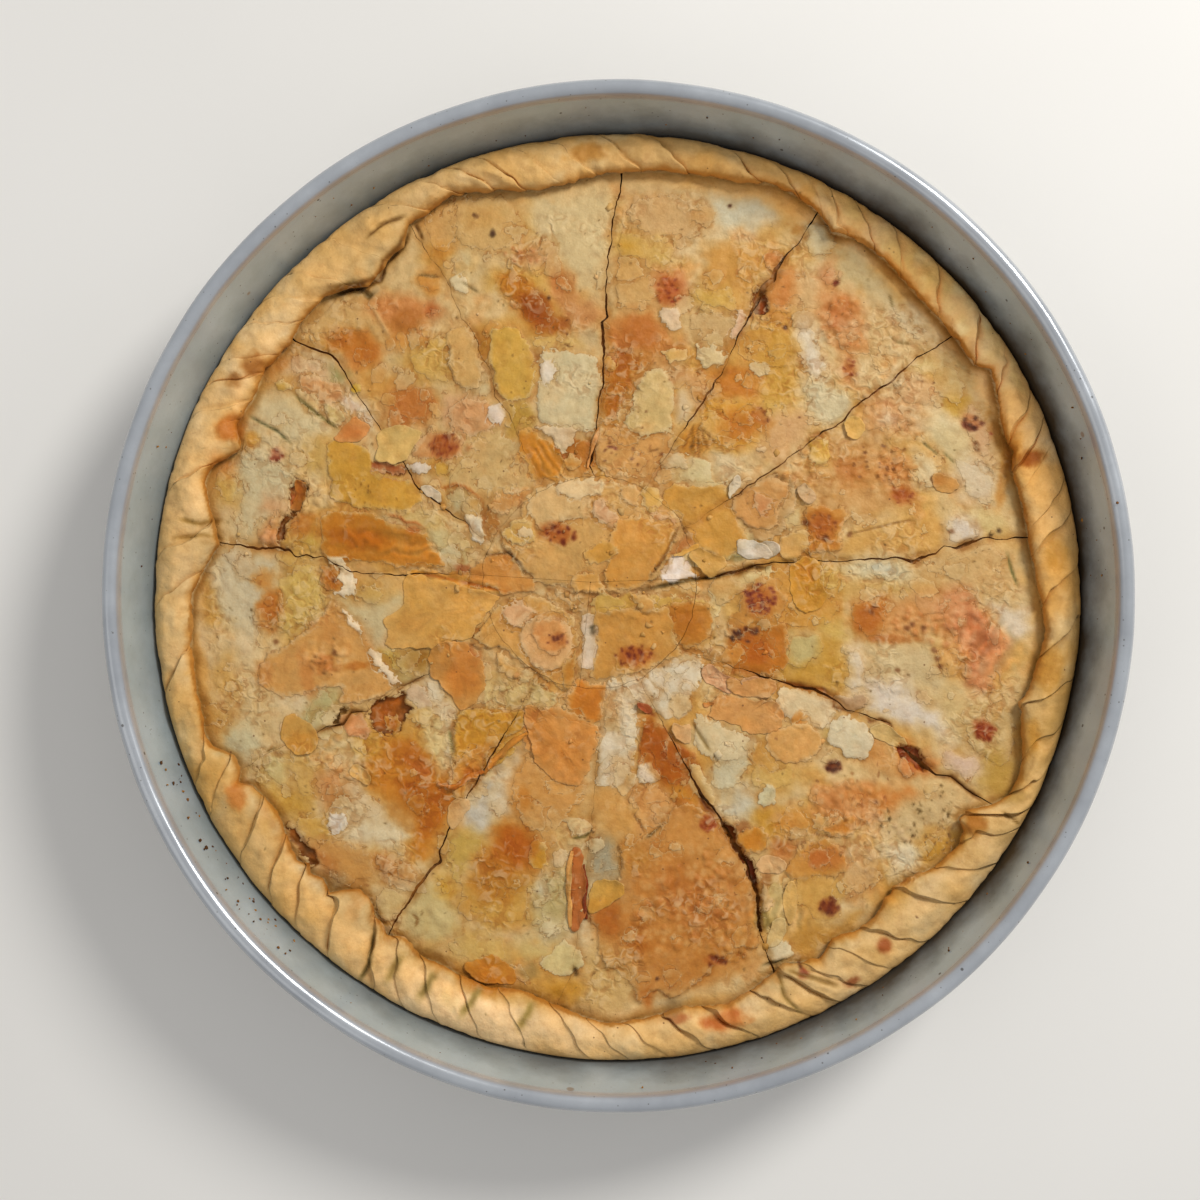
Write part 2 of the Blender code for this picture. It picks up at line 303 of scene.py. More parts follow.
def path_distance(x, y, path):
    """Distance to an open path, and how far along it, from 0 to 1, the nearest point lies."""
    path = np.array(path, float)
    lengths = np.hypot(*np.diff(path, axis=0).T)
    nearest = np.full(np.shape(x), 1e9)
    share = np.zeros(np.shape(x))
    done = 0.0
    for (ax, ay), (bx, by), length in zip(path[:-1], path[1:], lengths):
        along = np.clip(((x - ax) * (bx - ax) + (y - ay) * (by - ay)) / (length * length), 0, 1)
        distance = np.hypot(x - ax - along * (bx - ax), y - ay - along * (by - ay))
        closer = distance < nearest
        nearest = np.where(closer, distance, nearest)
        share = np.where(closer, (done + along * length) / lengths.sum(), share)
        done += length
    return nearest, share


def cut_line(cut, inward):
    """Points of a knife cut's middle line at shares of the way in, and the unit vector to its left."""
    start = polar(TOP_RADIUS, cut[0])
    end = polar(ROUND_RADIUS + ROUND_CUT / 2, cut[1], ROUND_CENTRE)
    length = np.hypot(*(end - start))
    along = (end - start) / length
    left = np.array([-along[1], along[0]])
    places = np.array(cut[2]) - start
    stray = np.interp(inward, np.concatenate([[0], places @ along / length, [1]]),
                      np.concatenate([[0], places @ left, [0]]))
    return start + (end - start) * inward[:, None] + left * stray[:, None], left


def cut_half_width(index, inward, side):
    """Half the width of a cut, which is ragged and gapes in places."""
    places = inward * CUT_LENGTH + 31.0 * side
    width = 0.16 + 0.1 * kinked(places, 2.1, 3 * index + side) + 0.1 * kinked(places, 5.3, 5 * index + side)
    width = width * CUTS[index][3] * (1 - 0.85 * smooth_step(0.7, 0.95, inward))
    for cut, share, spread, extra in GAPES:
        if cut == index:
            width = width + extra / 2 * np.exp(-(((inward - share) / spread) ** 2))
    return np.maximum(width, 0.015)


def cut_edge(index, inward, side):
    """One side of a cut, which wanders a little as cracked crust does."""
    point, left = cut_line(CUTS[index], inward)
    places = inward * CUT_LENGTH
    wander = 0.3 * kinked(places, 9, index + 40) + 0.45 * kinked(places, 3.1, index + 60)
    wander = wander + 0.2 * kinked(places, 1.3, index + 90)
    wander = wander * smooth_step(-0.1, 0.05, inward)
    return point + left * (wander + side * cut_half_width(index, inward, side))[:, None]


def round_wander(degrees):
    """How far the cut round the middle strays outwards from its circle."""
    places = (np.asarray(degrees) % 360) * ROUND_DEGREE
    length = ROUND_DEGREE * 360
    return 1.1 * kinked(places, 12, 91, length) + 0.5 * kinked(places, 2.6, 92, length)


# ---------------------------------------------------------------- the painted top

# The canvas reaches this far from the middle, in cells of this size.
CANVAS_REACH = 174.0
CANVAS_CELL = 0.4
# The sizes of the irregular cells that break up edges and swell into bubbles.
CELL_SIZES = (7.0, 2.6, 3.9, 1.7)
# Both sides' colours are kept this far from a broken edge, and whole up to this.
EDGE_BAND = 1.3
EDGE_CORE = 0.7
# The greatest distance to a broken edge that is told, and the value that says there is no edge.
EDGE_REACH = 3.0
NO_EDGE = -9.0


class Canvas:
    """Relief, colour and the distance to the nearest broken edge, over the whole pie seen from above.

    Two layers of colour, under and over, meet at each broken edge. In the end, seen is the colour that
    shows, and drape is the smoothed relief that loose leaves lie on.
    """

    def __init__(self):
        line = np.arange(-CANVAS_REACH, CANVAS_REACH + CANVAS_CELL, CANVAS_CELL)
        self.x, self.y = np.meshgrid(line, line)
        self.relief = np.zeros_like(self.x)
        self.over = plain(CREAM, *self.x.shape)
        self.under = self.over.copy()
        self.edge = np.full_like(self.x, -EDGE_REACH)
        self.cells = [cell_middles(self.x, self.y, size, k) for k, size in enumerate(CELL_SIZES)]
        self.count = 0

    def visible(self, part=np.s_[:]):
        """The colour that shows: the upper leaf's over its edge, the lower one's beyond it."""
        return np.where(self.edge[part][..., None] > 0, self.over[part], self.under[part])

    def tint(self, part, colour, share):
        for layer in (self.over, self.under):
            layer[part] = mixed(layer[part], rgb(colour), share)

    def scale(self, part, factor):
        for layer in (self.over, self.under):
            layer[part] *= factor[..., None]

    def window(self, xs, ys, margin):
        """The part of the raster round some points."""
        size = len(self.x)
        ends = [int((value + CANVAS_REACH) / CANVAS_CELL) for value in
                (min(ys) - margin, max(ys) + margin, min(xs) - margin, max(xs) + margin)]
        low_y, high_y, low_x, high_x = (min(max(end, 0), size) for end in ends)
        return slice(low_y, max(high_y, low_y + 2)), slice(low_x, max(high_x, low_x + 2))

    def outlined(self, outline, margin):
        """The rounded outline of one more shape, its part of the raster, and the places there."""
        self.count += 1
        points = rounded(outline)
        part = self.window(points[:, 0], points[:, 1], margin)
        return points, part, self.x[part], self.y[part]

    def sample(self, field, x, y):
        """The field's value at points, between its cells."""
        last = len(self.x) - 1.001
        u = np.clip((x + CANVAS_REACH) / CANVAS_CELL, 0, last)
        v = np.clip((y + CANVAS_REACH) / CANVAS_CELL, 0, last)
        i, j = u.astype(int), v.astype(int)
        u, v = u - i, v - j
        if field.ndim == 3:
            u, v = u[..., None], v[..., None]
        low = field[j, i] * (1 - u) + field[j, i + 1] * u
        high = field[j + 1, i] * (1 - u) + field[j + 1, i + 1] * u
        return low * (1 - v) + high * v

    def stain(self, x, y, rx, ry, turn, colour, strength, ragged=0.45):
        """A soft patch that is browner or paler than the crust round it."""
        self.count += 1
        part = self.window([x], [y], 1.7 * max(rx, ry))
        px, py = self.x[part], self.y[part]
        along, across = along_across(px - x, py - y, turn)
        size = 0.5 * min(rx, ry) + 0.8
        reach = np.hypot(along / rx, across / ry)
        reach = reach + ragged * rough(px, py, size, seed=self.count, octaves=4)
        self.tint(part, colour, strength * smooth_step(1.3, 0.45, reach))

    def broken_distance(self, part, outline, ragged):
        """Signed distance to an outline that has snapped off in angular bits."""
        x, y = self.x[part], self.y[part]
        sx, sy = x, y
        pair = self.cells[:2] if self.count % 2 else self.cells[2:]
        for (cx, cy), pull in zip(pair, (0.45, 0.5)):
            sx, sy = sx + pull * ragged * (cx[part] - x), sy + pull * ragged * (cy[part] - y)
        return outline_distance(sx, sy, outline) + 0.4 * ragged * rough(x, y, 6, self.count, 3)

    def lay(self, part, distance, own, sunk=False):
        """Puts a shape's colour on top of the rest or sunk in it, keeping both colours beside its edge."""
        old = self.visible(part)
        outside = smooth_step(EDGE_BAND, EDGE_CORE, distance)[..., None]
        inside = smooth_step(-EDGE_BAND, -EDGE_CORE, distance)[..., None]
        spread = np.where(distance[..., None] < 0, own, old + (own - old) * outside)
        shrunk = np.where(distance[..., None] < 0, own + (old - own) * inside, old)
        over, under = (shrunk, spread) if sunk else (spread, shrunk)
        zone = distance < EDGE_BAND
        self.over[part] = np.where(zone[..., None], over, self.over[part])
        self.under[part] = np.where(zone[..., None], under, self.under[part])
        onto = np.clip(distance if sunk else -distance, -EDGE_REACH, EDGE_REACH)
        self.edge[part] = np.where(zone, onto, self.edge[part])

    def sheet(self, colour, rise, outline, ragged=1.0, lift=0.3, cover=0.9):
        """A leaf of the crust that is whole inside the outline and broken off along it."""
        points, part, x, y = self.outlined(outline, 5)
        distance = self.broken_distance(part, points, ragged)
        whole = smooth_step(0.25, -0.25, distance)
        spread = math.sqrt(np.ptp(points[:, 0]) * np.ptp(points[:, 1])) / 9
        level = np.median(self.relief[part][distance < 0]) if (distance < 0).any() else 0.0
        under = 0.4 * level + 0.6 * self.relief[part]
        raised = under + rise + lift * np.exp(np.minimum(distance, 0) / 1.3) * noise(x, y, 9, self.count + 20)
        self.relief[part] += (raised - self.relief[part]) * whole
        shade = rough(x, y, 10, self.count + 50)
        own = mixed(plain(colour, *x.shape), rgb(TAN), 0.25 * smooth_step(0.0, 0.8, shade))
        own = mixed(own, rgb(CREAM), 0.25 * smooth_step(0.0, 0.8, -shade))
        own *= 1 + 0.06 * rough(x, y, 6, self.count + 60)[..., None]
        own *= 1 + 0.025 * noise(x, y, 1.6, self.count + 60)[..., None]
        # Paler just inside the broken edge: partly the thinner dough, partly a painted highlight on the edge.
        own = mixed(own, rgb(PALE), 0.35 * smooth_step(-1.4, -0.2, distance))
        # A patchy brown tint just outside the edge: painted shade that the leaf casts on what lies beside it.
        patchy = np.clip(0.45 + 0.8 * rough(x, y, 6, self.count + 70), 0, 1)
        outside = smooth_step(3.0 * min(1, spread), 0.0, distance) * (distance > -0.5)
        self.tint(part, "a0632a", 0.4 * min(1, spread) * patchy * outside)
        self.lay(part, distance, mixed(self.visible(part), own, np.full(x.shape, cover)))

    def wash(self, colour, rise, outline):
        """A soft-edged patch of colour, crisper the nearer it lies to the middle."""
        points, part, x, y = self.outlined(outline, 8)
        soft = np.interp(math.hypot(*(points.mean(0) - ROUND_CENTRE)), (50, 90), (1.5, 4.2))
        bent = [line + 0.8 * soft * rough(x, y, 9, self.count + k) for k, line in enumerate((x, y))]
        distance = outline_distance(*bent, points) + 0.45 * soft * rough(x, y, 3.5, self.count + 5)
        share = smooth_step(soft, -soft, distance + 0.5)
        self.relief[part] += 0.6 * rise * share
        warm = 0.5 + 0.5 * rough(x, y, 11, self.count + 8)
        own = mixed(plain(colour, *x.shape), rgb(TAN), 0.12 * warm)
        for layer in (self.over, self.under):
            layer[part] = mixed(layer[part], own, 0.92 * share)
        if self.count % 3 and len(outline) > 4:
            middle = np.mean(outline, 0)
            self.sheet(colour, 0.5 * rise, middle + 0.85 * (np.array(outline) - middle), 1.5, 0.25, 0.4)

    def hollow(self, colour, depth, outline):
        """A hole in the top leaf through which what lies below shows."""
        points, part, x, y = self.outlined(outline, 5)
        distance = self.broken_distance(part, points, 0.8)
        whole = smooth_step(0.35, -0.35, distance)
        floor = -depth + 0.9 * rough(x, y, 3.5, self.count + 9)
        self.relief[part] += (floor - self.relief[part]) * whole
        own = rgb(colour) * (1 + 0.22 * rough(x, y, 3, self.count + 3))[..., None]
        # Darker towards the hole's rim: painted shade under the broken edge of the leaf.
        own = mixed(own, rgb(CREVICE_SHADE), 0.6 * smooth_step(-1.2, 0.0, distance))
        self.lay(part, distance, own, sunk=True)

    def groove(self, path, width, depth, colour):
        """A crack or a crease along a path; a negative depth makes a ridge."""
        self.count += 1
        xs, ys = np.array(path).T
        part = self.window(xs, ys, 3 * width + 1)
        x, y = self.x[part], self.y[part]
        distance, share = path_distance(x, y, path)
        distance = distance + 0.35 * width * rough(x, y, 2.5, self.count)
        taper = smooth_step(-0.02, 0.2, share) * smooth_step(1.02, 0.8, share)
        near = np.exp(-((distance / (0.6 * width)) ** 2)) * (0.25 + 0.75 * taper)
        self.relief[part] -= depth * near
        # The colour along the path: mostly painted shade in a dark crack or crease, a painted highlight on a
        # pale ridge.
        self.tint(part, colour, 0.8 * near)

    def wrinkles(self, x, y, rx, ry, turn, step, height):
        """Parallel wrinkles inside an ellipse; they run along its first axis."""
        self.count += 1
        part = self.window([x], [y], 1.2 * max(rx, ry))
        along, across = along_across(self.x[part] - x, self.y[part] - y, turn)
        share = smooth_step(1.1, 0.6, np.hypot(along / rx, across / ry))
        phase = across / step + 1.1 * rough(self.x[part], self.y[part], 8, self.count)
        wave = np.sin(2 * math.pi * phase)
        self.relief[part] += height * share * wave
        # Crests painted lighter and troughs darker with the wave: painted light and shade.
        self.scale(part, 1 + 0.07 * share * wave)

    def blisters(self, x, y, rx, ry, count, size, colour, seed):
        """Small bubbles in the crust, browner on top."""
        rng = np.random.default_rng(seed)
        for _ in range(count):
            bx, by = spot_within(rng, x, y, rx, ry)
            radius = size * rng.uniform(0.5, 1.3)
            part = self.window([bx], [by], 1.6 * radius)
            px, py = self.x[part], self.y[part]
            reach = np.hypot(px - bx, py - by) / radius
            reach = reach + 0.25 * noise(px, py, radius, seed)
            dome = np.clip(1 - reach * reach, 0, 1)
            self.relief[part] += 0.42 * radius * dome**0.7
            self.tint(part, colour, 0.45 * dome)

    def specks(self, x, y, rx, ry, count, size, colour, seed):
        """Burnt specks, those that crowd together on a scorched patch."""
        rng = np.random.default_rng(seed)
        if 7 < count < 40 and rx < 7.5:
            self.stain(x, y, 0.9 * rx, 0.9 * ry, 0, "a5521f", 0.35, 0.7)
            count, size = int(1.6 * count), 0.75 * size
        for _ in range(count):
            sx, sy = spot_within(rng, x, y, rx, ry)
            radius = size * rng.uniform(0.5, 1.4)
            part = self.window([sx], [sy], 2.5 * radius)
            px, py = self.x[part], self.y[part]
            reach = np.hypot(px - sx, (py - sy) * rng.uniform(0.7, 1.5)) / radius
            reach = reach + 0.3 * noise(px, py, 0.9, seed)
            self.tint(part, colour, rng.uniform(0.5, 0.9) * smooth_step(1.5, 0.4, reach))


def paint_base(canvas):
    """The baked dough before its leaves broke: uneven, creamy between its browned patches."""
    x, y = canvas.x, canvas.y
    colour = canvas.under
    colour = mixed(colour, rgb(PALE), 0.7 * smooth_step(0.0, 0.7, rough(x, y, 26, 1)))
    colour = mixed(colour, rgb(GOLD), 0.75 * smooth_step(0.05, 0.6, rough(x, y, 19, 2)))
    colour = mixed(colour, rgb(TAN), 0.5 * smooth_step(0.1, 0.6, rough(x, y, 8, 4)))
    canvas.under[:] = canvas.over[:] = colour * (1 + 0.05 * rough(x, y, 2.5, 6))[..., None]
    bubbly = smooth_step(-0.2, 0.5, rough(x, y, 30, 11))
    lumps = 0.7 * rough(x, y, 17, 8) + 0.35 * rough(x, y, 6, 9)
    canvas.relief += lumps + (0.12 + 0.16 * bubbly) * noise(x, y, 2.3, 10)


# Parts of the top that browned, stayed pale or, where noted, are painted shade: (colour, rise, outline).
WASHES = [
    # far left
    ("c9a772", 0.3, [(-118, 97), (-110, 105), (-101, 109), (-94, 109), (-88, 106), (-84, 98), (-92, 96),
        (-104, 95), (-114, 93)]),
    ("c27f40", 0.1, [(-105, 97), (-98, 98), (-90, 96), (-86, 91), (-88, 84), (-94, 81), (-101, 84),
        (-106, 90)]),
    ("b86f27", 0.0, [(-99, 92), (-93, 93), (-89, 89), (-91, 84), (-96, 84)]),
    ("c38550", 0.2, [(-91, 108), (-84, 111), (-75, 110), (-68, 106), (-68, 100), (-76, 96), (-85, 97),
        (-90, 101)]),
    ("b36234", 0.1, [(-72, 107), (-68, 107), (-66, 103), (-69, 101), (-72, 103)]),
    ("c68c4c", 0.2, [(-86, 97), (-78, 99), (-68, 97), (-67, 91), (-76, 89), (-84, 91)]),
    ("c9a560", 0.4, [(-76, 92), (-66, 96), (-56, 95), (-53, 88), (-56, 79), (-66, 77), (-76, 80), (-80, 86)]),
    ("c79754", 0.3, [(-97, 82), (-88, 83), (-80, 80), (-78, 73), (-84, 68), (-92, 70), (-97, 76)]),
    ("bb783e", 0.2, [(-86, 75), (-78, 78), (-69, 75), (-65, 68), (-70, 62), (-80, 61), (-87, 65)]),
    ("c9a079", 0.4, [(-66, 74), (-58, 75), (-50, 72), (-49, 64), (-56, 61), (-64, 62)]),
    ("c6b58e", 0.4, [(-56, 92), (-51, 88), (-48, 82), (-43, 76), (-48, 71), (-54, 74), (-57, 82)]),
    ("c9a877", 0.3, [(-66, 105), (-58, 102), (-54, 97), (-52, 91), (-56, 88), (-63, 92), (-67, 98)]),
    # Painted shade: a greyed cream and its darker grey-green middle.
    ("bca988", 0.1, [(-119, 91), (-113, 90.6), (-106, 87), (-101, 81), (-98, 76), (-102, 75), (-107, 80),
        (-114, 85)]),
    ("98905f", 0.0, [(-107, 84), (-103, 83), (-100, 80), (-103, 78.6), (-106, 80)]),
    ("cdb18c", 0.3, [(-122, 90), (-114, 88), (-107, 83), (-104, 78), (-110, 77), (-119, 81), (-123, 85)]),
    ("cbbc95", 0.4, [(-134, 73), (-128, 74), (-122, 73), (-118, 71), (-112, 66), (-104, 60), (-107, 57.6),
        (-113, 58), (-118, 54), (-124, 58), (-134, 66)]),
    ("d6cab6", 0.4, [(-103, 73), (-99, 73), (-93, 68), (-88, 63.6), (-90, 61.6), (-95, 65), (-101, 68)]),
    ("c9b68d", 0.3, [(-137, 65), (-130, 62), (-124, 58), (-120, 54), (-126, 51), (-134, 52), (-138, 58)]),
    ("c58a44", 0.4, [(-75, 118), (-69, 118.4), (-65, 116), (-65, 112), (-70, 111), (-74, 114)]),
    ("ccbe96", 0.3, [(-61, 130), (-55, 130), (-53, 122), (-55, 117), (-60, 118)]),
    ("c9a068", 0.3, [(-75, 138), (-66, 144), (-58, 149), (-50, 148), (-50, 132), (-58, 130), (-70, 128)]),
    ("c0883f", 0.1, [(-70, 128), (-66, 129), (-62, 126), (-64, 122.6), (-69, 123)]),
    # farthest from the viewer
    ("c9a873", 0.3, [(-62, 148), (-40, 148), (-34, 142), (-34, 130), (-44, 124), (-56, 126), (-62, 132)]),
    ("ccb98e", 0.3, [(-34, 147), (-18, 148), (-3, 148), (-3, 132), (-5, 116), (-12, 112), (-18, 120),
        (-24, 128), (-32, 132)]),
    ("c39466", 0.4, [(-39, 127), (-34, 129), (-27, 129), (-22, 126), (-23, 121), (-30, 120), (-37, 122)]),
    ("c9a45e", 0.3, [(-48, 120), (-36, 122), (-28, 118), (-24, 110), (-32, 108), (-40, 112), (-50, 112)]),
    ("bf7d2c", 0.2, [(-46, 117), (-42, 118), (-36, 118), (-31, 113), (-26, 107), (-22, 101), (-25, 97),
        (-30, 96), (-35, 101), (-38, 107), (-43, 111)]),
    ("a85518", 0.0, [(-34, 107), (-29, 106), (-25, 101), (-27, 97), (-31, 98), (-34, 102)]),
    ("c07440", 0.2, [(-25, 119), (-20, 119), (-17, 115), (-20, 111), (-24, 113)]),
    ("c18c5c", 0.4, [(-25, 110), (-18, 112), (-10, 108), (-6, 102), (-9, 98), (-18, 96), (-22, 100)]),
    ("c9a766", 0.4, [(-33, 96), (-24, 96), (-16, 94), (-14, 90.6), (-24, 91), (-31, 89.6)]),
    ("b9a27c", 0.3, [(-13, 96), (-8, 97.4), (-6, 93), (-7, 88.6), (-12, 90.4)]),
    ("b07b32", 0.0, [(-53, 98), (-47, 98.6), (-46, 93), (-48, 87), (-51, 87), (-52, 93)]),
    ("c0a152", 0.3, [(-42, 70), (-34, 71), (-31, 66), (-32, 58), (-38, 56), (-42, 62)]),
    ("c7a576", 0.3, [(3, 148), (18, 148), (30, 147), (34, 138), (30, 130), (20, 128), (8, 132), (2, 140)]),
    ("c6bfa4", 0.2, [(33, 147), (44, 146.6), (56, 144), (58, 138), (48, 136), (37, 137)]),
    ("c9a766", 0.4, [(0, 138), (10, 134), (20, 131), (24, 122), (14, 118), (4, 122), (-2, 128)]),
    ("c39539", 0.1, [(1, 130), (6, 130), (8, 126.4), (3, 125)]),
    ("c9a36c", 0.3, [(-2, 122), (8, 124), (14, 118), (15, 108), (8, 103), (0, 106), (-3, 114)]),
    ("c79753", 0.5, [(33, 128), (38, 130), (45, 129), (52, 128), (57, 126), (58, 122), (54, 117), (51, 112),
        (49, 107), (44, 103), (38, 105), (34, 110), (32, 118)]),
    ("c9a65c", 0.3, [(26, 114), (36, 114), (44, 110), (43, 104), (34, 103), (27, 107)]),
    ("c07b50", 0.3, [(14, 120), (20, 121), (25, 118), (25, 111), (22, 106), (17, 107), (14, 112)]),
    ("c4a678", 0.4, [(25, 102), (33, 104), (42, 104), (46, 101), (44, 96), (40, 90), (34, 91), (28, 94)]),
    ("c08044", 0.4, [(-4, 100), (0, 103), (6, 104), (12, 103), (16, 101), (18, 96), (21, 94), (24, 96),
        (24, 91), (18, 88), (14, 86), (10, 86), (6, 89), (2, 88), (-2, 91), (-4, 95)]),
    ("b26c1f", 0.2, [(-4, 92), (0, 90), (8, 88), (12, 86), (11, 82), (8, 79), (5, 75), (3, 70), (3, 66),
        (-1, 62), (-6, 60), (-6.4, 66), (-5.6, 78), (-4, 85)]),
    ("9f5414", 0.0, [(-1, 91), (4, 90), (6, 86), (3, 83), (-1, 86)]),
    ("c49868", 0.4, [(18, 84), (24, 85), (28, 82), (33, 81), (35, 78), (33, 74), (30, 71), (27, 72), (24, 76),
        (20, 76)]),
    ("cdba98", 0.4, [(21, 74), (26, 74.6), (29.6, 70), (28, 66), (24, 63), (21, 62), (20, 68)]),
    ("c6934a", 0.4, [(50, 102), (58, 103), (66, 98), (66, 88), (58, 84), (48, 86), (44, 92)]),
    ("c07c30", 0.3, [(38, 85), (46, 86), (52, 81), (52, 73), (44, 71), (36, 73), (34, 78)]),
    ("c9953f", 0.4, [(32, 71), (40, 72), (52, 71), (53, 64), (52, 56), (46, 52), (38, 51.6), (34, 56),
        (30, 62), (30, 67)]),
    ("c27c2a", 0.1, [(36, 67), (44, 68), (51, 66), (51, 60), (44, 57), (37, 60)]),
    ("c9aa62", 0.4, [(52, 72), (60, 72), (64, 64), (62, 56), (56, 51), (52, 55), (54, 64)]),
    ("c58a36", 0.3, [(24, 60), (27, 63), (30, 61), (34, 57), (36, 52), (33, 51), (29, 50), (24, 52),
        (22, 55)]),
    # far right
    ("cfc4a0", 0.3, [(69, 136), (74, 138), (81, 133), (81, 127), (73, 123), (69, 128)]),
    ("c9a368", 0.3, [(62, 126), (68, 129), (73, 124), (70, 119), (64, 120)]),
    ("c4864c", 0.3, [(58, 120), (64, 121), (67, 117), (67, 108), (64, 104), (57, 104), (55, 109), (58, 114)]),
    ("c9954a", 0.4, [(53, 105.6), (60, 106), (66, 104), (65, 101), (57, 101)]),
    ("c9a87a", 0.3, [(66, 119), (74, 118), (76, 110), (74, 104), (67, 104), (66, 111)]),
    ("cbba90", 0.3, [(79, 128), (88, 128), (97, 119), (103, 110), (98, 104), (90, 112), (80, 120)]),
    ("c58c62", 0.3, [(75, 121), (80, 122), (83, 118), (79, 115), (75, 116)]),
    ("c58d5a", 0.3, [(73, 113), (82, 114), (91, 108), (93, 98), (90, 88), (82, 87), (77, 94), (73, 102)]),
    ("bd7c4e", 0.1, [(77, 108), (84, 109), (89, 103), (88, 96), (81, 96), (76, 101)]),
    ("c8ab7c", 0.3, [(92, 112), (99, 108), (102, 98), (100, 88), (94, 86), (91, 94)]),
    ("d0bf9a", 0.4, [(100, 102), (105, 99), (109, 95), (114, 93), (112, 97), (106, 104), (101, 107)]),
    ("c59a4c", 0.4, [(52, 100), (60, 100), (65, 96), (66, 84), (66, 72), (58, 68), (52, 74), (54, 86)]),
    ("d3cab2", 0.3, [(66, 104), (71, 103), (73, 96), (74, 90), (78, 84), (77, 78), (71, 77), (68, 84),
        (65, 94)]),
    ("c88e5a", 0.2, [(82, 88), (87, 88), (89, 82), (87, 76), (83, 77), (81, 82)]),
    ("cbbf9c", 0.3, [(69, 79), (77, 78), (84, 75), (88, 71), (84, 65), (78, 61.6), (72, 64), (69, 71)]),
    ("c9a377", 0.4, [(54, 66), (62, 68), (70, 67), (72, 60), (67, 54), (58, 49), (52, 50), (52, 58)]),
    ("cba87c", 0.4, [(102, 79), (108, 82), (114, 79), (120, 76), (118, 70), (112, 68), (106, 68), (102, 72)]),
    ("c8b17e", 0.3, [(108, 87), (118, 90), (121, 84), (118, 80), (110, 82)]),
    ("c9b78c", 0.3, [(119, 90), (126, 86), (131, 79), (128, 74), (120, 76)]),
    ("bd983f", 0.1, [(120, 73), (125, 73.6), (129.6, 70), (128, 66.6), (122, 67)]),
    ("c9a680", 0.3, [(128, 72), (133, 70), (137, 60), (138, 50), (132, 48), (128, 58)]),
    ("d1c49e", 0.4, [(117, 67), (122, 65), (126, 61), (131, 55), (133, 47), (126, 46), (120, 52), (115, 58)]),
    ("c99a6a", 0.3, [(88, 71), (98, 73), (108, 68), (113, 62), (108, 56), (98, 56), (90, 60)]),
    ("d2bf9f", 0.3, [(96, 64.6), (102, 65.6), (108, 63), (106, 60.6), (99, 61)]),
    # left of the middle
    ("c9a862", 0.3, [(-150, 45), (-144, 47), (-139, 44), (-138, 38), (-141, 32), (-146, 34), (-149, 38)]),
    # A pinkish brown by the rope's lip: painted shade.
    ("c98f55", 0.1, [(-148, 50), (-142, 51), (-138, 47), (-140, 43), (-146, 44)]),
    ("c4b692", 0.3, [(-142, 54), (-132, 54), (-124, 50), (-119, 47), (-118, 40), (-122, 32), (-128, 26),
        (-136, 21), (-141, 21), (-140, 28), (-139, 38), (-140, 46)]),
    ("c9a077", 0.2, [(-131, 36), (-127, 37), (-122, 35), (-121, 30), (-125, 27), (-131, 29)]),
    ("c98f5c", 0.5, [(-131.5, 24), (-128, 26), (-125, 25), (-124.5, 21), (-125, 17.5), (-130, 17),
        (-132, 20)]),
    ("c6a566", 0.5, [(-118, 52), (-114, 54), (-110, 55), (-105, 55), (-106, 48), (-107, 44), (-112, 43),
        (-117, 46)]),
    ("c0893f", 0.5, [(-119.5, 30), (-114, 30.5), (-109, 30), (-108.5, 17), (-112, 15), (-118, 14.5),
        (-123, 17.5), (-122, 22), (-120.5, 26)]),
    ("c2a55c", 0.3, [(-123, 20), (-116, 21), (-109.5, 19), (-109, 14), (-118, 14), (-124, 17)]),
    ("c6ab74", 0.4, [(-90, 31), (-82, 31), (-75, 31), (-72, 32), (-66, 29), (-62, 25), (-60, 18), (-64, 13),
        (-70, 20), (-78, 25), (-86, 28)]),
    ("c5b588", 0.3, [(-70, 23), (-64, 24), (-57, 23), (-52, 18), (-51, 12), (-55, 10), (-61, 9.5),
        (-66, 14)]),
    ("bfb48f", 0.5, [(-63, 37), (-59, 38.4), (-55, 36.5), (-53, 33), (-53.5, 29.5), (-57, 27.5), (-61, 30),
        (-63.5, 32)]),
    # A brown patch of painted shade.
    ("a5683a", 0.1, [(-50, 34), (-46, 33), (-43, 30), (-43.5, 24), (-46, 21), (-49, 23), (-50.5, 28)]),
    ("c49a48", 0.4, [(-69, 49), (-62, 50), (-56, 49), (-55, 44), (-60, 42.5), (-66, 43), (-69.5, 45)]),
    ("c7bb9c", 0.4, [(-150, 14), (-142, 15), (-134, 13), (-125, 14), (-123, 8), (-127, -2), (-126, -14),
        (-134, -15), (-144, -13), (-148, -4)]),
    ("c9ab66", 0.5, [(-123, 12.5), (-121.5, 14.2), (-112.5, 13.2), (-108.8, 12.2), (-110, 10), (-108.8, 7),
        (-107.5, 2.4), (-107.2, -2.4), (-107.6, -6.4), (-110.4, -8.8), (-115, -11.2), (-117, -14.4),
        (-119, -17), (-125, -14), (-126, -5), (-125, 5)]),
    ("ccab77", 0.3, [(-100, 10), (-92, 8.6), (-84, 8.2), (-79, 8), (-79, 2), (-83, 3), (-90, 4.5), (-96, 5)]),
    ("c2a264", 0.3, [(-99, 3), (-92, 4), (-86, 3), (-84, -1), (-88, -4), (-95, -3), (-99, -1)]),
    ("c7b78f", 0.3, [(-100, -3), (-94, -4), (-88, -4), (-82, -2), (-79, 2), (-78, -4), (-84, -8), (-85, -14),
        (-88, -20), (-91, -17), (-94, -11), (-99, -7)]),
    ("c2a353", 0.3, [(-90, -19.5), (-80, -20), (-78, -24), (-75, -28), (-80, -31), (-84, -29.5),
        (-86.5, -25)]),
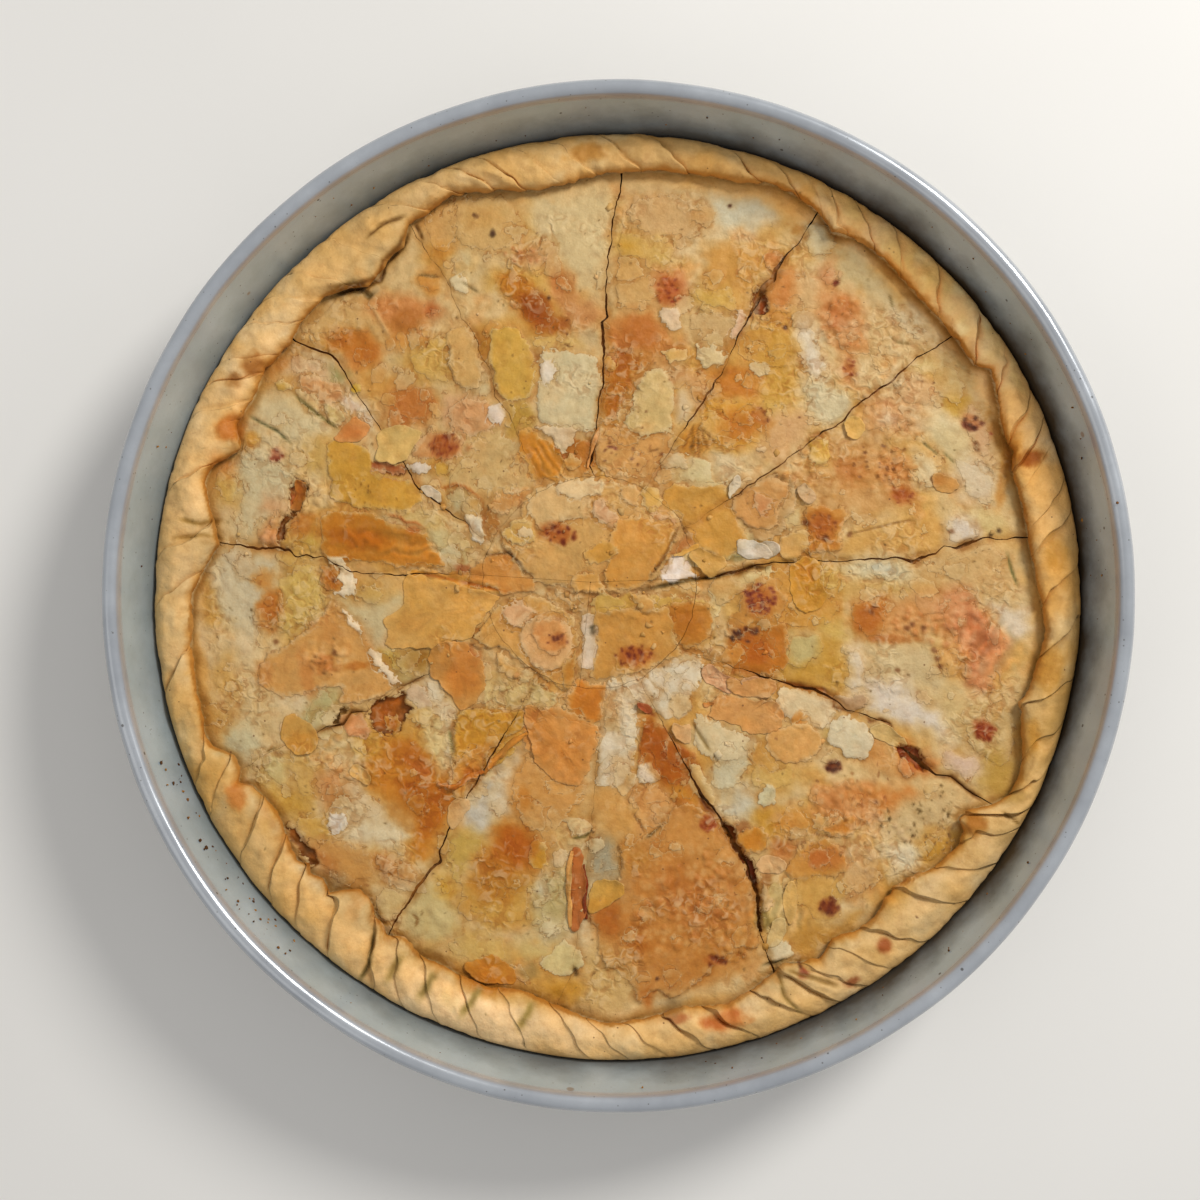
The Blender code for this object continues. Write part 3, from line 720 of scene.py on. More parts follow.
    ("b9a878", 0.3, [(-84, -27), (-79, -24.5), (-75, -28), (-72, -31.5), (-76, -33), (-80, -33), (-83, -30)]),
    # A darker olive brown of painted shade beneath the golden leaf.
    ("a87a35", 0.1, [(-80, -20), (-68, -20), (-69, -24), (-71, -30), (-75, -28), (-79, -23)]),
    ("cdb987", 0.5, [(-76, -44), (-71, -41), (-66, -40), (-64, -46), (-62, -54), (-61, -62), (-72, -62),
        (-76, -54), (-78, -49)]),
    ("d3c6a8", 0.5, [(-73, -31.5), (-70, -30.5), (-67, -33), (-64, -38), (-61, -42), (-60, -48), (-58, -56),
        (-57, -62), (-61, -62), (-63, -52), (-64.5, -45), (-67, -40), (-70, -36)]),
    ("c08a3c", 0.4, [(-91, -50), (-86, -52), (-80, -51.5), (-78, -47.5), (-75, -43), (-73, -45), (-71, -52),
        (-71, -61), (-91, -61)]),
    ("b5ad80", 0.2, [(-116, -47), (-113, -40), (-110, -36), (-107, -34.5), (-104, -36), (-104, -40),
        (-106, -45), (-108, -48.5), (-111, -50), (-114, -49)]),
    ("c3bb98", 0.3, [(-147, -49), (-141, -47), (-134, -49), (-130, -54), (-132, -60), (-142, -61),
        (-147, -56)]),
    ("c49a5a", 0.2, [(-153, -38), (-146, -40), (-140, -44), (-143, -50), (-150, -50), (-154, -46)]),
    # right of the middle
    ("c49a66", 0.4, [(64, 47), (72, 56), (84, 60), (98, 60), (108, 54), (113, 44), (110, 34), (100, 28),
        (88, 25), (84, 31), (78, 32), (72, 35), (66, 40)]),
    ("c9a468", 0.3, [(96, 60), (110, 60), (118, 54), (122, 46), (118, 38), (110, 40), (104, 48)]),
    ("c08a50", 0.2, [(80, 50), (86, 53), (92, 51), (95, 46), (93, 39), (86, 37), (81, 41)]),
    ("c8a060", 0.4, [(69, 53), (75, 55), (80, 51), (79, 45), (74, 43), (69, 46)]),
    ("c98d55", 0.3, [(95, 50), (101, 52), (107, 48), (108, 42), (101, 40), (96, 43)]),
    ("d0c09a", 0.4, [(109, 51), (114, 52), (118, 47), (118, 40), (113, 38), (110, 43)]),
    ("c9b78c", 0.3, [(116, 62), (128, 62), (132, 54), (130, 48), (124, 48), (118, 53)]),
    ("cdbd9f", 0.3, [(125, 49), (132, 51), (139, 46), (141, 38), (138, 32), (130, 32), (125, 38)]),
    ("c9b684", 0.4, [(129, 31), (137, 31), (142, 27), (143, 21.5), (134, 21.5), (130, 24)]),
    ("ccc1ae", 0.5, [(120, 26), (125, 28.5), (131, 27), (133, 22), (130, 19.6), (125, 17.6), (121, 18.6)]),
    ("c9a060", 0.5, [(81, 20), (88, 22.8), (96, 24.6), (102, 26.4), (109, 27.6), (114, 26), (118, 22.6),
        (121, 18.4), (116, 15.6), (110, 13.6), (107, 12.8), (103, 14.4), (98, 16.6), (96, 14.6), (92, 13.2),
        (86, 12.6), (82, 12), (80.4, 15)]),
    ("d0bb8c", 0.3, [(58, 34), (63, 35), (69, 32), (70, 27), (68, 22.5), (62, 22), (58, 26)]),
    ("c8bd9a", 0.3, [(80.6, 12), (90, 12.6), (100, 12.2), (108, 10.6), (109, 5), (100, 4), (92, 5.4),
        (85, 5.6), (81.4, 8)]),
    ("b9b5a0", 0.0, [(92, 9.4), (95, 12), (99, 11.4), (103, 8.6), (100, 6), (94, 6.4)]),
    ("c6a468", 0.3, [(81, 4), (92, 4.6), (106, 4.6), (118, 4), (121, 0), (110, -1.6), (98, -1), (86, -1.4)]),
    ("c7a776", 0.3, [(108, 12), (118, 15), (126, 17), (138, 19.5), (143, 14), (146, 4), (148, -3),
        (138, -1.6), (128, 2.6), (118, 4.6), (110, 5)]),
    ("d3c8b0", 0.3, [(136, -1), (144, -3), (150, -6), (152.6, -13), (150, -18), (144, -18), (139, -11)]),
    ("c4924a", 0.4, [(50, 5), (56, 9.6), (62, 9.4), (66, 12), (72, 13), (77, 11), (80, 8), (81, 2), (84, -4),
        (82, -11), (76, -14), (66, -14), (56, -15), (48, -14), (43, -8), (43, 0)]),
    ("cba868", 0.3, [(38, 3), (44, 4.6), (49, 3), (46, -3), (45, -9), (41, -11), (37, -6)]),
    ("c9aa62", 0.5, [(74, 9), (78, 10), (81.4, 7), (82, 1.6), (79, 0), (75, 2.4)]),
    ("b9742c", 0.2, [(41, -14), (48, -13.4), (56, -13.4), (61, -16), (61, -22), (59.4, -29.6), (50, -30),
        (42, -29), (39, -22)]),
    ("c2b07c", 0.5, [(60.4, -15), (68, -13.6), (74, -15.4), (76, -20), (73, -26), (66, -27), (60.6, -25)]),
    ("c29849", 0.4, [(74, -16), (80, -16.6), (84.6, -18), (85, -26), (84.4, -33), (82, -37), (77, -35.4),
        (70, -33), (63, -32), (59.4, -30.4), (61, -26.4), (67, -27), (73, -25)]),
    ("d6c9ae", 0.6, [(84, -17.6), (87, -17.8), (90, -21.6), (91, -29), (90, -35), (87, -38), (84, -36.4),
        (85, -28), (84, -22)]),
    ("c9ac64", 0.4, [(74, -8), (80, -8.6), (85, -12), (86, -17), (80, -16.6), (75, -15)]),
    ("bb7a36", 0.5, [(83.6, -2), (90, -3.4), (95, -2), (99, -1.2), (101.4, -4), (99.6, -8), (98.6, -12),
        (96, -16.4), (91, -16.4), (87, -14), (84.6, -10)]),
    ("c5905a", 0.4, [(99, -1.6), (108, -2), (116, -3), (121, -8), (120, -13), (113, -16), (104, -18),
        (95, -17.4), (98, -12), (100, -8)]),
    ("c99a6c", 0.5, [(109, 0), (116, 1), (122, -2), (124, -8), (120, -11), (113, -9), (109, -5)]),
    ("c7b48c", 0.3, [(91, -20), (100, -19), (110, -17), (116, -21), (119, -30), (118, -38), (108, -35),
        (99, -31), (92, -31)]),
    ("c4ac84", 0.3, [(91, -25), (96, -26), (98, -31), (95, -35), (91, -33)]),
    ("d2c9b6", 0.5, [(91, -32), (96, -30.4), (103, -32), (108, -36), (116, -42), (120.6, -47), (119, -52),
        (110, -50), (102, -47), (96, -44), (92, -42), (91.6, -37)]),
    ("c58a60", 0.5, [(119, 2), (126, 3), (131, 1), (135, -5), (139, -11), (143, -17), (144, -22), (140, -25),
        (137, -28), (138.6, -35), (136, -39), (131, -37), (128, -33), (127, -28), (128, -24), (125, -20),
        (121.6, -16), (120, -11), (119, -5)]),
    ("c07a52", 0.1, [(127, -6), (132, -7), (137, -13), (139, -19), (135, -22), (131, -27), (133, -33),
        (131, -35), (128.6, -30), (129, -24), (130, -18), (127, -13)]),
    ("c99c60", 0.5, [(116.6, -20), (122, -19), (126, -22), (127.4, -28), (124, -31.4), (120, -30.4),
        (117, -26)]),
    ("c9b282", 0.3, [(118, -33), (127, -35), (134, -41), (142, -42), (148, -38), (150, -30), (144, -26),
        (146, -48), (138, -56), (124, -56), (120, -48), (117, -42)]),
    # near left
    ("c9b884", 0.3, [(-137, -61), (-130, -60), (-121, -58), (-119, -66), (-124, -72), (-133, -68)]),
    ("c49c4c", 0.3, [(-131, -68), (-122, -70), (-113, -69), (-110, -76), (-114, -82), (-122, -82),
        (-128, -75)]),
    ("c9a667", 0.4, [(-121, -58), (-112, -57), (-107, -62), (-108, -72), (-113, -76), (-119, -70)]),
    ("c8b17e", 0.4, [(-110, -50), (-103, -50), (-98, -54), (-99, -60), (-106, -60), (-111, -56)]),
    ("c8935f", 0.4, [(-110, -63), (-104, -62), (-99, -66), (-98, -74), (-103, -80), (-108, -78),
        (-111, -70)]),
    ("c9a352", 0.4, [(-98, -54), (-92, -53), (-88, -57), (-89, -62), (-96, -60)]),
    ("c9a25a", 0.3, [(-120, -82), (-112, -80), (-104, -82), (-100, -88), (-106, -92), (-114, -90)]),
    ("c17f2c", 0.4, [(-91, -60), (-84, -55), (-78, -52.4), (-72, -58), (-66, -64), (-60, -69), (-60, -76),
        (-62, -82), (-66, -90), (-70, -97), (-77, -99), (-80, -92), (-74, -86), (-73, -80), (-82, -77),
        (-88, -76), (-93, -69)]),
    ("b66b1c", 0.1, [(-80, -68), (-70, -69), (-61, -71), (-61, -78), (-65, -86), (-70, -90), (-73, -84),
        (-72, -78), (-80, -76)]),
    ("b3602a", 0.1, [(-78, -59), (-72, -62), (-66, -67), (-70, -67.4), (-76, -64)]),
    ("d1b992", 0.3, [(-99, -74), (-92, -73), (-84, -76), (-86, -81), (-94, -82), (-100, -79)]),
    ("d1c4a2", 0.3, [(-104, -81), (-98, -80), (-90, -82), (-80, -81), (-73, -84), (-76, -91), (-86, -93),
        (-96, -91), (-103, -88)]),
    ("c29358", 0.3, [(-112, -91), (-104, -90), (-96, -93), (-88, -96), (-86, -104), (-92, -110), (-100, -107),
        (-108, -100)]),
    ("b5763e", 0.1, [(-115, -92), (-110, -92), (-104, -97), (-102, -103), (-107, -102), (-112, -98)]),
    ("c28a50", 0.3, [(-90, -95), (-84, -96), (-76, -100), (-73, -104), (-80, -107), (-87, -103)]),
    ("ccbb90", 0.3, [(-91, -109), (-84, -108), (-77, -110), (-79, -115), (-84, -121), (-88, -118)]),
    ("c3a662", 0.3, [(-62, -88), (-56, -86), (-48, -90), (-52, -97), (-58, -100), (-66, -101), (-65, -94)]),
    ("c4b282", 0.3, [(-72, -107), (-66, -106), (-60, -112), (-56, -119), (-62, -128), (-72, -128),
        (-80, -122), (-79, -117), (-74, -112)]),
    ("c99a34", 0.2, [(-65.4, -102.6), (-62, -104.6), (-59.6, -108.6), (-62, -111), (-65.4, -108)]),
    # nearest the viewer
    ("c2bcab", 0.2, [(-53, -72), (-50, -68), (-44, -62), (-40, -60), (-44, -68), (-47, -73), (-47, -79),
        (-45, -83), (-48, -89), (-55, -87), (-58, -82), (-55, -77)]),
    ("c2a25c", 0.3, [(-62, -86), (-52, -88), (-48, -92), (-54, -97), (-57, -103), (-62, -106)]),
    ("d0c4a8", 0.5, [(-35, -56.4), (-39, -59), (-42, -64), (-46, -71), (-46.6, -76), (-44, -80), (-42, -82.6),
        (-37, -83), (-33, -83), (-34, -74), (-36, -68), (-32, -60)]),
    ("c9985c", 0.4, [(-35, -57), (-40, -66), (-41, -74), (-39, -82), (-31, -83.4), (-28, -84), (-24, -84.6),
        (-21, -85), (-19.6, -83), (-17, -80), (-13, -78.4), (-12.4, -75), (-9.6, -72), (-11, -68), (-18, -68),
        (-30, -62), (-32, -57)]),
    ("cfae74", 0.3, [(-32, -85), (-26, -84.4), (-19, -86), (-17, -90), (-20, -94), (-26, -93), (-30, -89)]),
    ("b9a574", 0.3, [(-33, -103), (-25, -103), (-19, -100), (-17.6, -112), (-18, -124), (-22, -129),
        (-30, -126), (-33, -114)]),
    ("cbc2a6", 0.4, [(-33, -103), (-28, -101.6), (-25, -105), (-26, -110), (-31, -109)]),
    ("cdbf9a", 0.5, [(-29, -119), (-25, -118.6), (-21, -121), (-21.6, -126), (-26, -126), (-29, -123)]),
    ("c9b47c", 0.3, [(-36, -126), (-28, -127), (-20, -128), (-18, -132), (-24, -136), (-33, -134),
        (-37, -131)]),
    ("c9ab6c", 0.3, [(-60, -120), (-52, -124), (-42, -128), (-38, -132), (-44, -134), (-54, -135),
        (-61, -130)]),
    ("c29038", 0.3, [(-28, -142), (-22, -140.6), (-14, -141.4), (-11, -145), (-16, -148.6), (-24, -147)]),
    ("a89c84", -0.2, [(-11, -91), (-8, -88), (-4, -88), (0, -89), (1, -95), (0, -101), (-4, -103), (-9, -104),
        (-11, -100)]),
    ("c9a972", 0.5, [(-15, -137), (-12, -134), (-8, -130), (-5, -126), (-2, -128), (3, -132), (5, -138),
        (6, -144), (2, -150), (-2, -154), (-7, -155), (-14, -151), (-12, -146), (-10, -142)]),
    ("c58f52", 0.5, [(1, -90), (4, -90), (10, -89.4), (14, -87.6), (16, -84), (16.6, -81), (19, -80),
        (21, -78.6), (24, -77), (28, -79), (31, -80), (34, -79.6), (37, -83), (40, -87), (42, -93), (46, -99),
        (48, -103), (50, -110), (50, -117), (51, -124), (52, -131), (47, -137), (36, -143), (22, -146),
        (8, -140), (2, -130), (-3, -126), (-8, -122), (0, -114), (4, -108), (2, -102), (0, -97)]),
    ("cb9e62", 0.3, [(16, -84), (20, -79.4), (28, -79), (34, -81), (38, -86), (42, -94), (38, -97), (30, -94),
        (24, -96), (18, -92)]),
    ("c99a52", 0.3, [(1, -91), (8, -90.6), (12, -94), (10, -101), (3, -102), (0, -97)]),
    ("c28550", 0.2, [(14, -104), (24, -102), (32, -106), (36, -114), (34, -122), (24, -122), (16, -116)]),
    ("c9955e", 0.3, [(36, -102), (44, -101), (48, -106), (49.6, -116), (46, -120), (40, -114), (37, -108)]),
    ("c08a4c", 0.2, [(20, -122), (30, -123), (40, -126), (47, -132), (44, -138), (32, -142), (22, -138),
        (18, -130)]),
    ("b56820", 0.1, [(5, -121), (10, -122), (14, -126), (13, -131), (7, -130), (4, -126)]),
    ("b5692a", 0.1, [(7, -142), (12, -142), (14, -147), (12, -152), (8, -151)]),
    ("b05f1e", 0.1, [(-11, -113), (-4, -113), (1, -116), (2, -122), (-2, -126), (-8, -122), (-10, -118)]),
    ("c89a5c", 0.4, [(-12, -75), (-9.6, -72), (-8, -70), (-3, -69.6), (2, -69.6), (3, -73), (4, -78),
        (7, -82), (8.6, -86), (10, -88), (6, -89.4), (1, -88.2), (-2, -89.4), (-4, -88.6), (-7, -86),
        (-10, -83), (-12.6, -79)]),
    ("c8965e", 0.3, [(3, -70), (12, -70), (18, -70), (22, -76), (18, -81), (15, -86), (10, -88), (6, -82),
        (4, -76)]),
    ("cba669", 0.3, [(2, -56), (6, -55), (8, -60), (10, -62), (9, -66), (4, -69), (0, -68), (1, -62)]),
    ("b76c22", 0.3, [(8, -45), (13, -44), (15, -48), (18, -53), (22, -56), (26, -57), (28, -62), (28, -68),
        (30, -73), (30, -78), (26, -79), (22, -77), (20, -72), (16, -69.6), (16, -67), (13, -62), (10, -60),
        (9, -54)]),
    ("c58f3e", 0.2, [(18, -70), (24, -70), (29, -74), (29, -78), (24, -77.6), (20, -74)]),
    ("c8bfa0", 0.4, [(28, -50), (33, -54), (36, -58), (36, -62), (32, -64), (34, -70), (36, -74.6), (40, -75),
        (45, -71), (48, -66), (50, -58), (54, -53), (45, -51), (36, -47)]),
    ("c6c0a8", 0.5, [(36, -76), (40, -75), (45, -72), (51, -70), (51, -75), (49, -80), (46, -82), (40, -84),
        (37, -82), (35, -79)]),
    ("cdab68", 0.4, [(48, -62), (54, -58), (62, -60), (66, -66), (62, -72), (56, -71), (50, -69)]),
    ("c4963f", 0.3, [(50, -79), (56, -78), (62, -79), (62, -86), (56, -90), (52, -86)]),
    # near right
    ("c5a978", 0.3, [(124, -42), (134, -42), (146, -42), (147, -52), (146, -62), (140, -66), (131, -60),
        (126, -52)]),
    ("b99650", 0.2, [(136, -58), (142, -58), (147, -62), (146, -72), (138, -76), (132, -74), (131, -66)]),
    ("ccb39c", 0.4, [(119, -58), (125, -57), (131, -61), (132, -66), (126, -68), (120, -64)]),
    ("c9975e", 0.4, [(90, -52), (97, -54), (102, -57), (104, -63), (102, -70), (94, -66), (88, -60)]),
    ("cdbb7c", 0.3, [(77, -48), (86, -48), (91, -51), (88, -57), (80, -56), (75, -53)]),
    ("bd7238", 0.2, [(102, -56), (106, -55), (110, -58), (116, -59), (118, -62), (116, -65), (112, -67),
        (107, -67), (104, -64)]),
    ("c58a56", 0.3, [(70, -69), (78, -69), (88, -69), (96, -73), (97, -82), (90, -86), (80, -84), (72, -80)]),
    ("c58244", 0.2, [(92, -70), (100, -70), (109, -71), (110, -78), (103, -81), (94, -80)]),
    ("c99048", 0.4, [(59, -79), (66, -78), (71, -82), (72, -88), (64, -90), (58, -87)]),
    ("c8b084", 0.3, [(99, -80), (108, -75), (118, -72), (126, -76), (124, -84), (116, -90), (104, -92),
        (98, -88)]),
    ("c29546", 0.2, [(110, -90), (118, -87), (126, -89), (122, -95), (115, -99), (110, -98)]),
    ("cdc4a6", 0.3, [(96, -92), (102, -90), (109, -92), (110, -99), (104, -104), (98, -103)]),
    ("cba878", 0.3, [(80, -91), (88, -90), (96, -94), (97, -103), (92, -110), (84, -113), (80, -104)]),
    ("b8733a", 0.1, [(56, -89), (62, -90), (67, -92), (64, -97), (58, -98), (55, -94)]),
    ("c9a05c", 0.3, [(61, -103), (70, -102), (80, -103), (84, -110), (80, -119), (70, -120), (62, -116)]),
    ("bb8d48", 0.2, [(67, -119), (78, -120), (90, -116), (86, -122), (76, -128), (66, -132), (62, -126)]),
    ("c9b27c", 0.3, [(52, -106), (58, -104), (64, -108), (62, -118), (58, -126), (53, -124), (52, -114)]),
    # the browned leaf left of the curled one
    ("bb7a30", 0.3, [(-45.6, -83.6), (-36, -83.2), (-30, -88), (-26, -91), (-24, -97), (-28, -102),
        (-38, -106), (-52, -104), (-53.6, -97.6), (-48, -92)]),
    ("c49a52", 0.2, [(-56, -103), (-38, -105), (-30, -104), (-33, -112), (-31, -118), (-36, -122),
        (-46, -123), (-56, -118), (-61, -113)]),
]

# Broad leaves of the crust that end in a broken edge, the lowest first: (colour, rise, outline).
SHEETS = [
    ("b97c3e", 0.6, [(0.5, -90), (10, -89), (16, -85), (19.5, -78), (24.5, -76), (30, -78), (37, -83),
        (38.5, -88), (45, -97), (48, -104), (49, -113), (50.5, -123), (52, -128), (38.5, -132), (31.5, -139),
        (19, -149), (14, -144), (7, -150), (6, -144), (2, -136), (-6, -136), (-6.5, -126), (-11, -116),
        (-2, -109), (2.6, -102)], 1.1, 0.4, 0.45),
    # round the middle
    ("c6a876", 0.5, [(-62, 62), (-43, 62), (-41, 57), (-36, 53), (-33, 49), (-31.5, 46), (-32, 43.5),
        (-30.5, 41), (-31, 37), (-34.5, 34), (-37, 31), (-40, 29), (-44, 29), (-46, 31.5), (-50, 33.5),
        (-54, 35), (-58, 38.5), (-62, 40)]),
    (TAN, 0.3, [(-48, 32), (-44, 36), (-38, 38), (-32, 39), (-33, 35), (-37, 31), (-44, 29.5)]),
    ("b5742f", 0.3, [(-20, 56), (-14, 56), (-8, 58), (-6, 52), (-8, 46), (-12, 44), (-18, 45), (-20, 50)]),
    ("c89a62", 0.6, [(-8, 60), (2, 62), (20, 61), (20, 56), (21, 50), (21.5, 45), (20, 41.5), (15, 39.5),
        (11, 38.5), (7, 41), (0, 41.5), (-3, 43), (-7, 46), (-9, 50)]),
    ("cfbf92", 0.3, [(20, 51), (26, 50), (32, 51), (34, 48), (33, 44), (36, 42), (40, 40), (44, 34), (46, 24),
        (52, 16), (46, 12), (40, 14), (36, 24), (30, 40), (24, 39.5), (20, 42)]),
    ("cdbb8c", 0.3, [(34, 5), (40, 6.5), (46, 8.5), (52, 9.5), (57, 10), (56, 5), (50, 3), (44, 1), (40, -2),
        (37, -8), (35, -14), (31, -16), (33, -6)]),
    ("c08a4a", 0.5, [(44, -6), (46, 2), (52, 6), (58, 5), (62, -4), (60, -10), (52, -12), (46, -12),
        (41, -17), (38, -15)]),
    ("b9762c", 0.4, [(41, -18), (48, -13), (55, -11), (62, -12), (62, -28), (58, -30.5), (50, -30.5),
        (45, -31), (42, -27), (40, -22)]),
    ("c09058", 0.4, [(31, -20), (36, -18.5), (40, -21), (41, -26), (36, -24.5), (31, -23)]),
    ("d3c7ab", 0.4, [(-3.5, -32.5), (3, -32), (9, -30), (15, -26.5), (20, -25), (23, -23), (27, -21),
        (31, -24), (31, -29), (28, -36), (26, -41), (26, -45), (21, -45.5), (18, -46), (14, -44), (10, -40.5),
        (7, -40), (7, -44), (7, -52), (6, -60), (4, -69), (-8, -71), (-7, -62), (-6.5, -50), (-5, -40)]),
    ("b0631e", 0.2, [(8, -46), (13, -46), (18, -50), (20, -55), (26, -58), (27, -64), (22, -70), (10, -68),
        (8, -58)]),
    ("cdbb94", 0.3, [(28, -44), (35, -47), (45, -52), (52, -54), (48, -60), (36, -62), (29, -56)]),
    ("c9b27e", 0.3, [(-50, -31), (-44, -29), (-36, -31), (-30, -32), (-24, -37), (-24, -41), (-28, -42),
        (-34, -40), (-42, -41), (-48, -40), (-51, -36)]),
    ("c4933f", 0.4, [(-60, -44), (-50, -42), (-42, -41.5), (-36, -43), (-34, -47), (-34, -54), (-40, -60),
        (-48, -66), (-60, -62)]),
    # A brown patch of painted shade.
    ("b07a40", 0.1, [(-50, 33), (-46, 32), (-43, 28), (-44, 20), (-49, 21), (-50, 27)]),
]

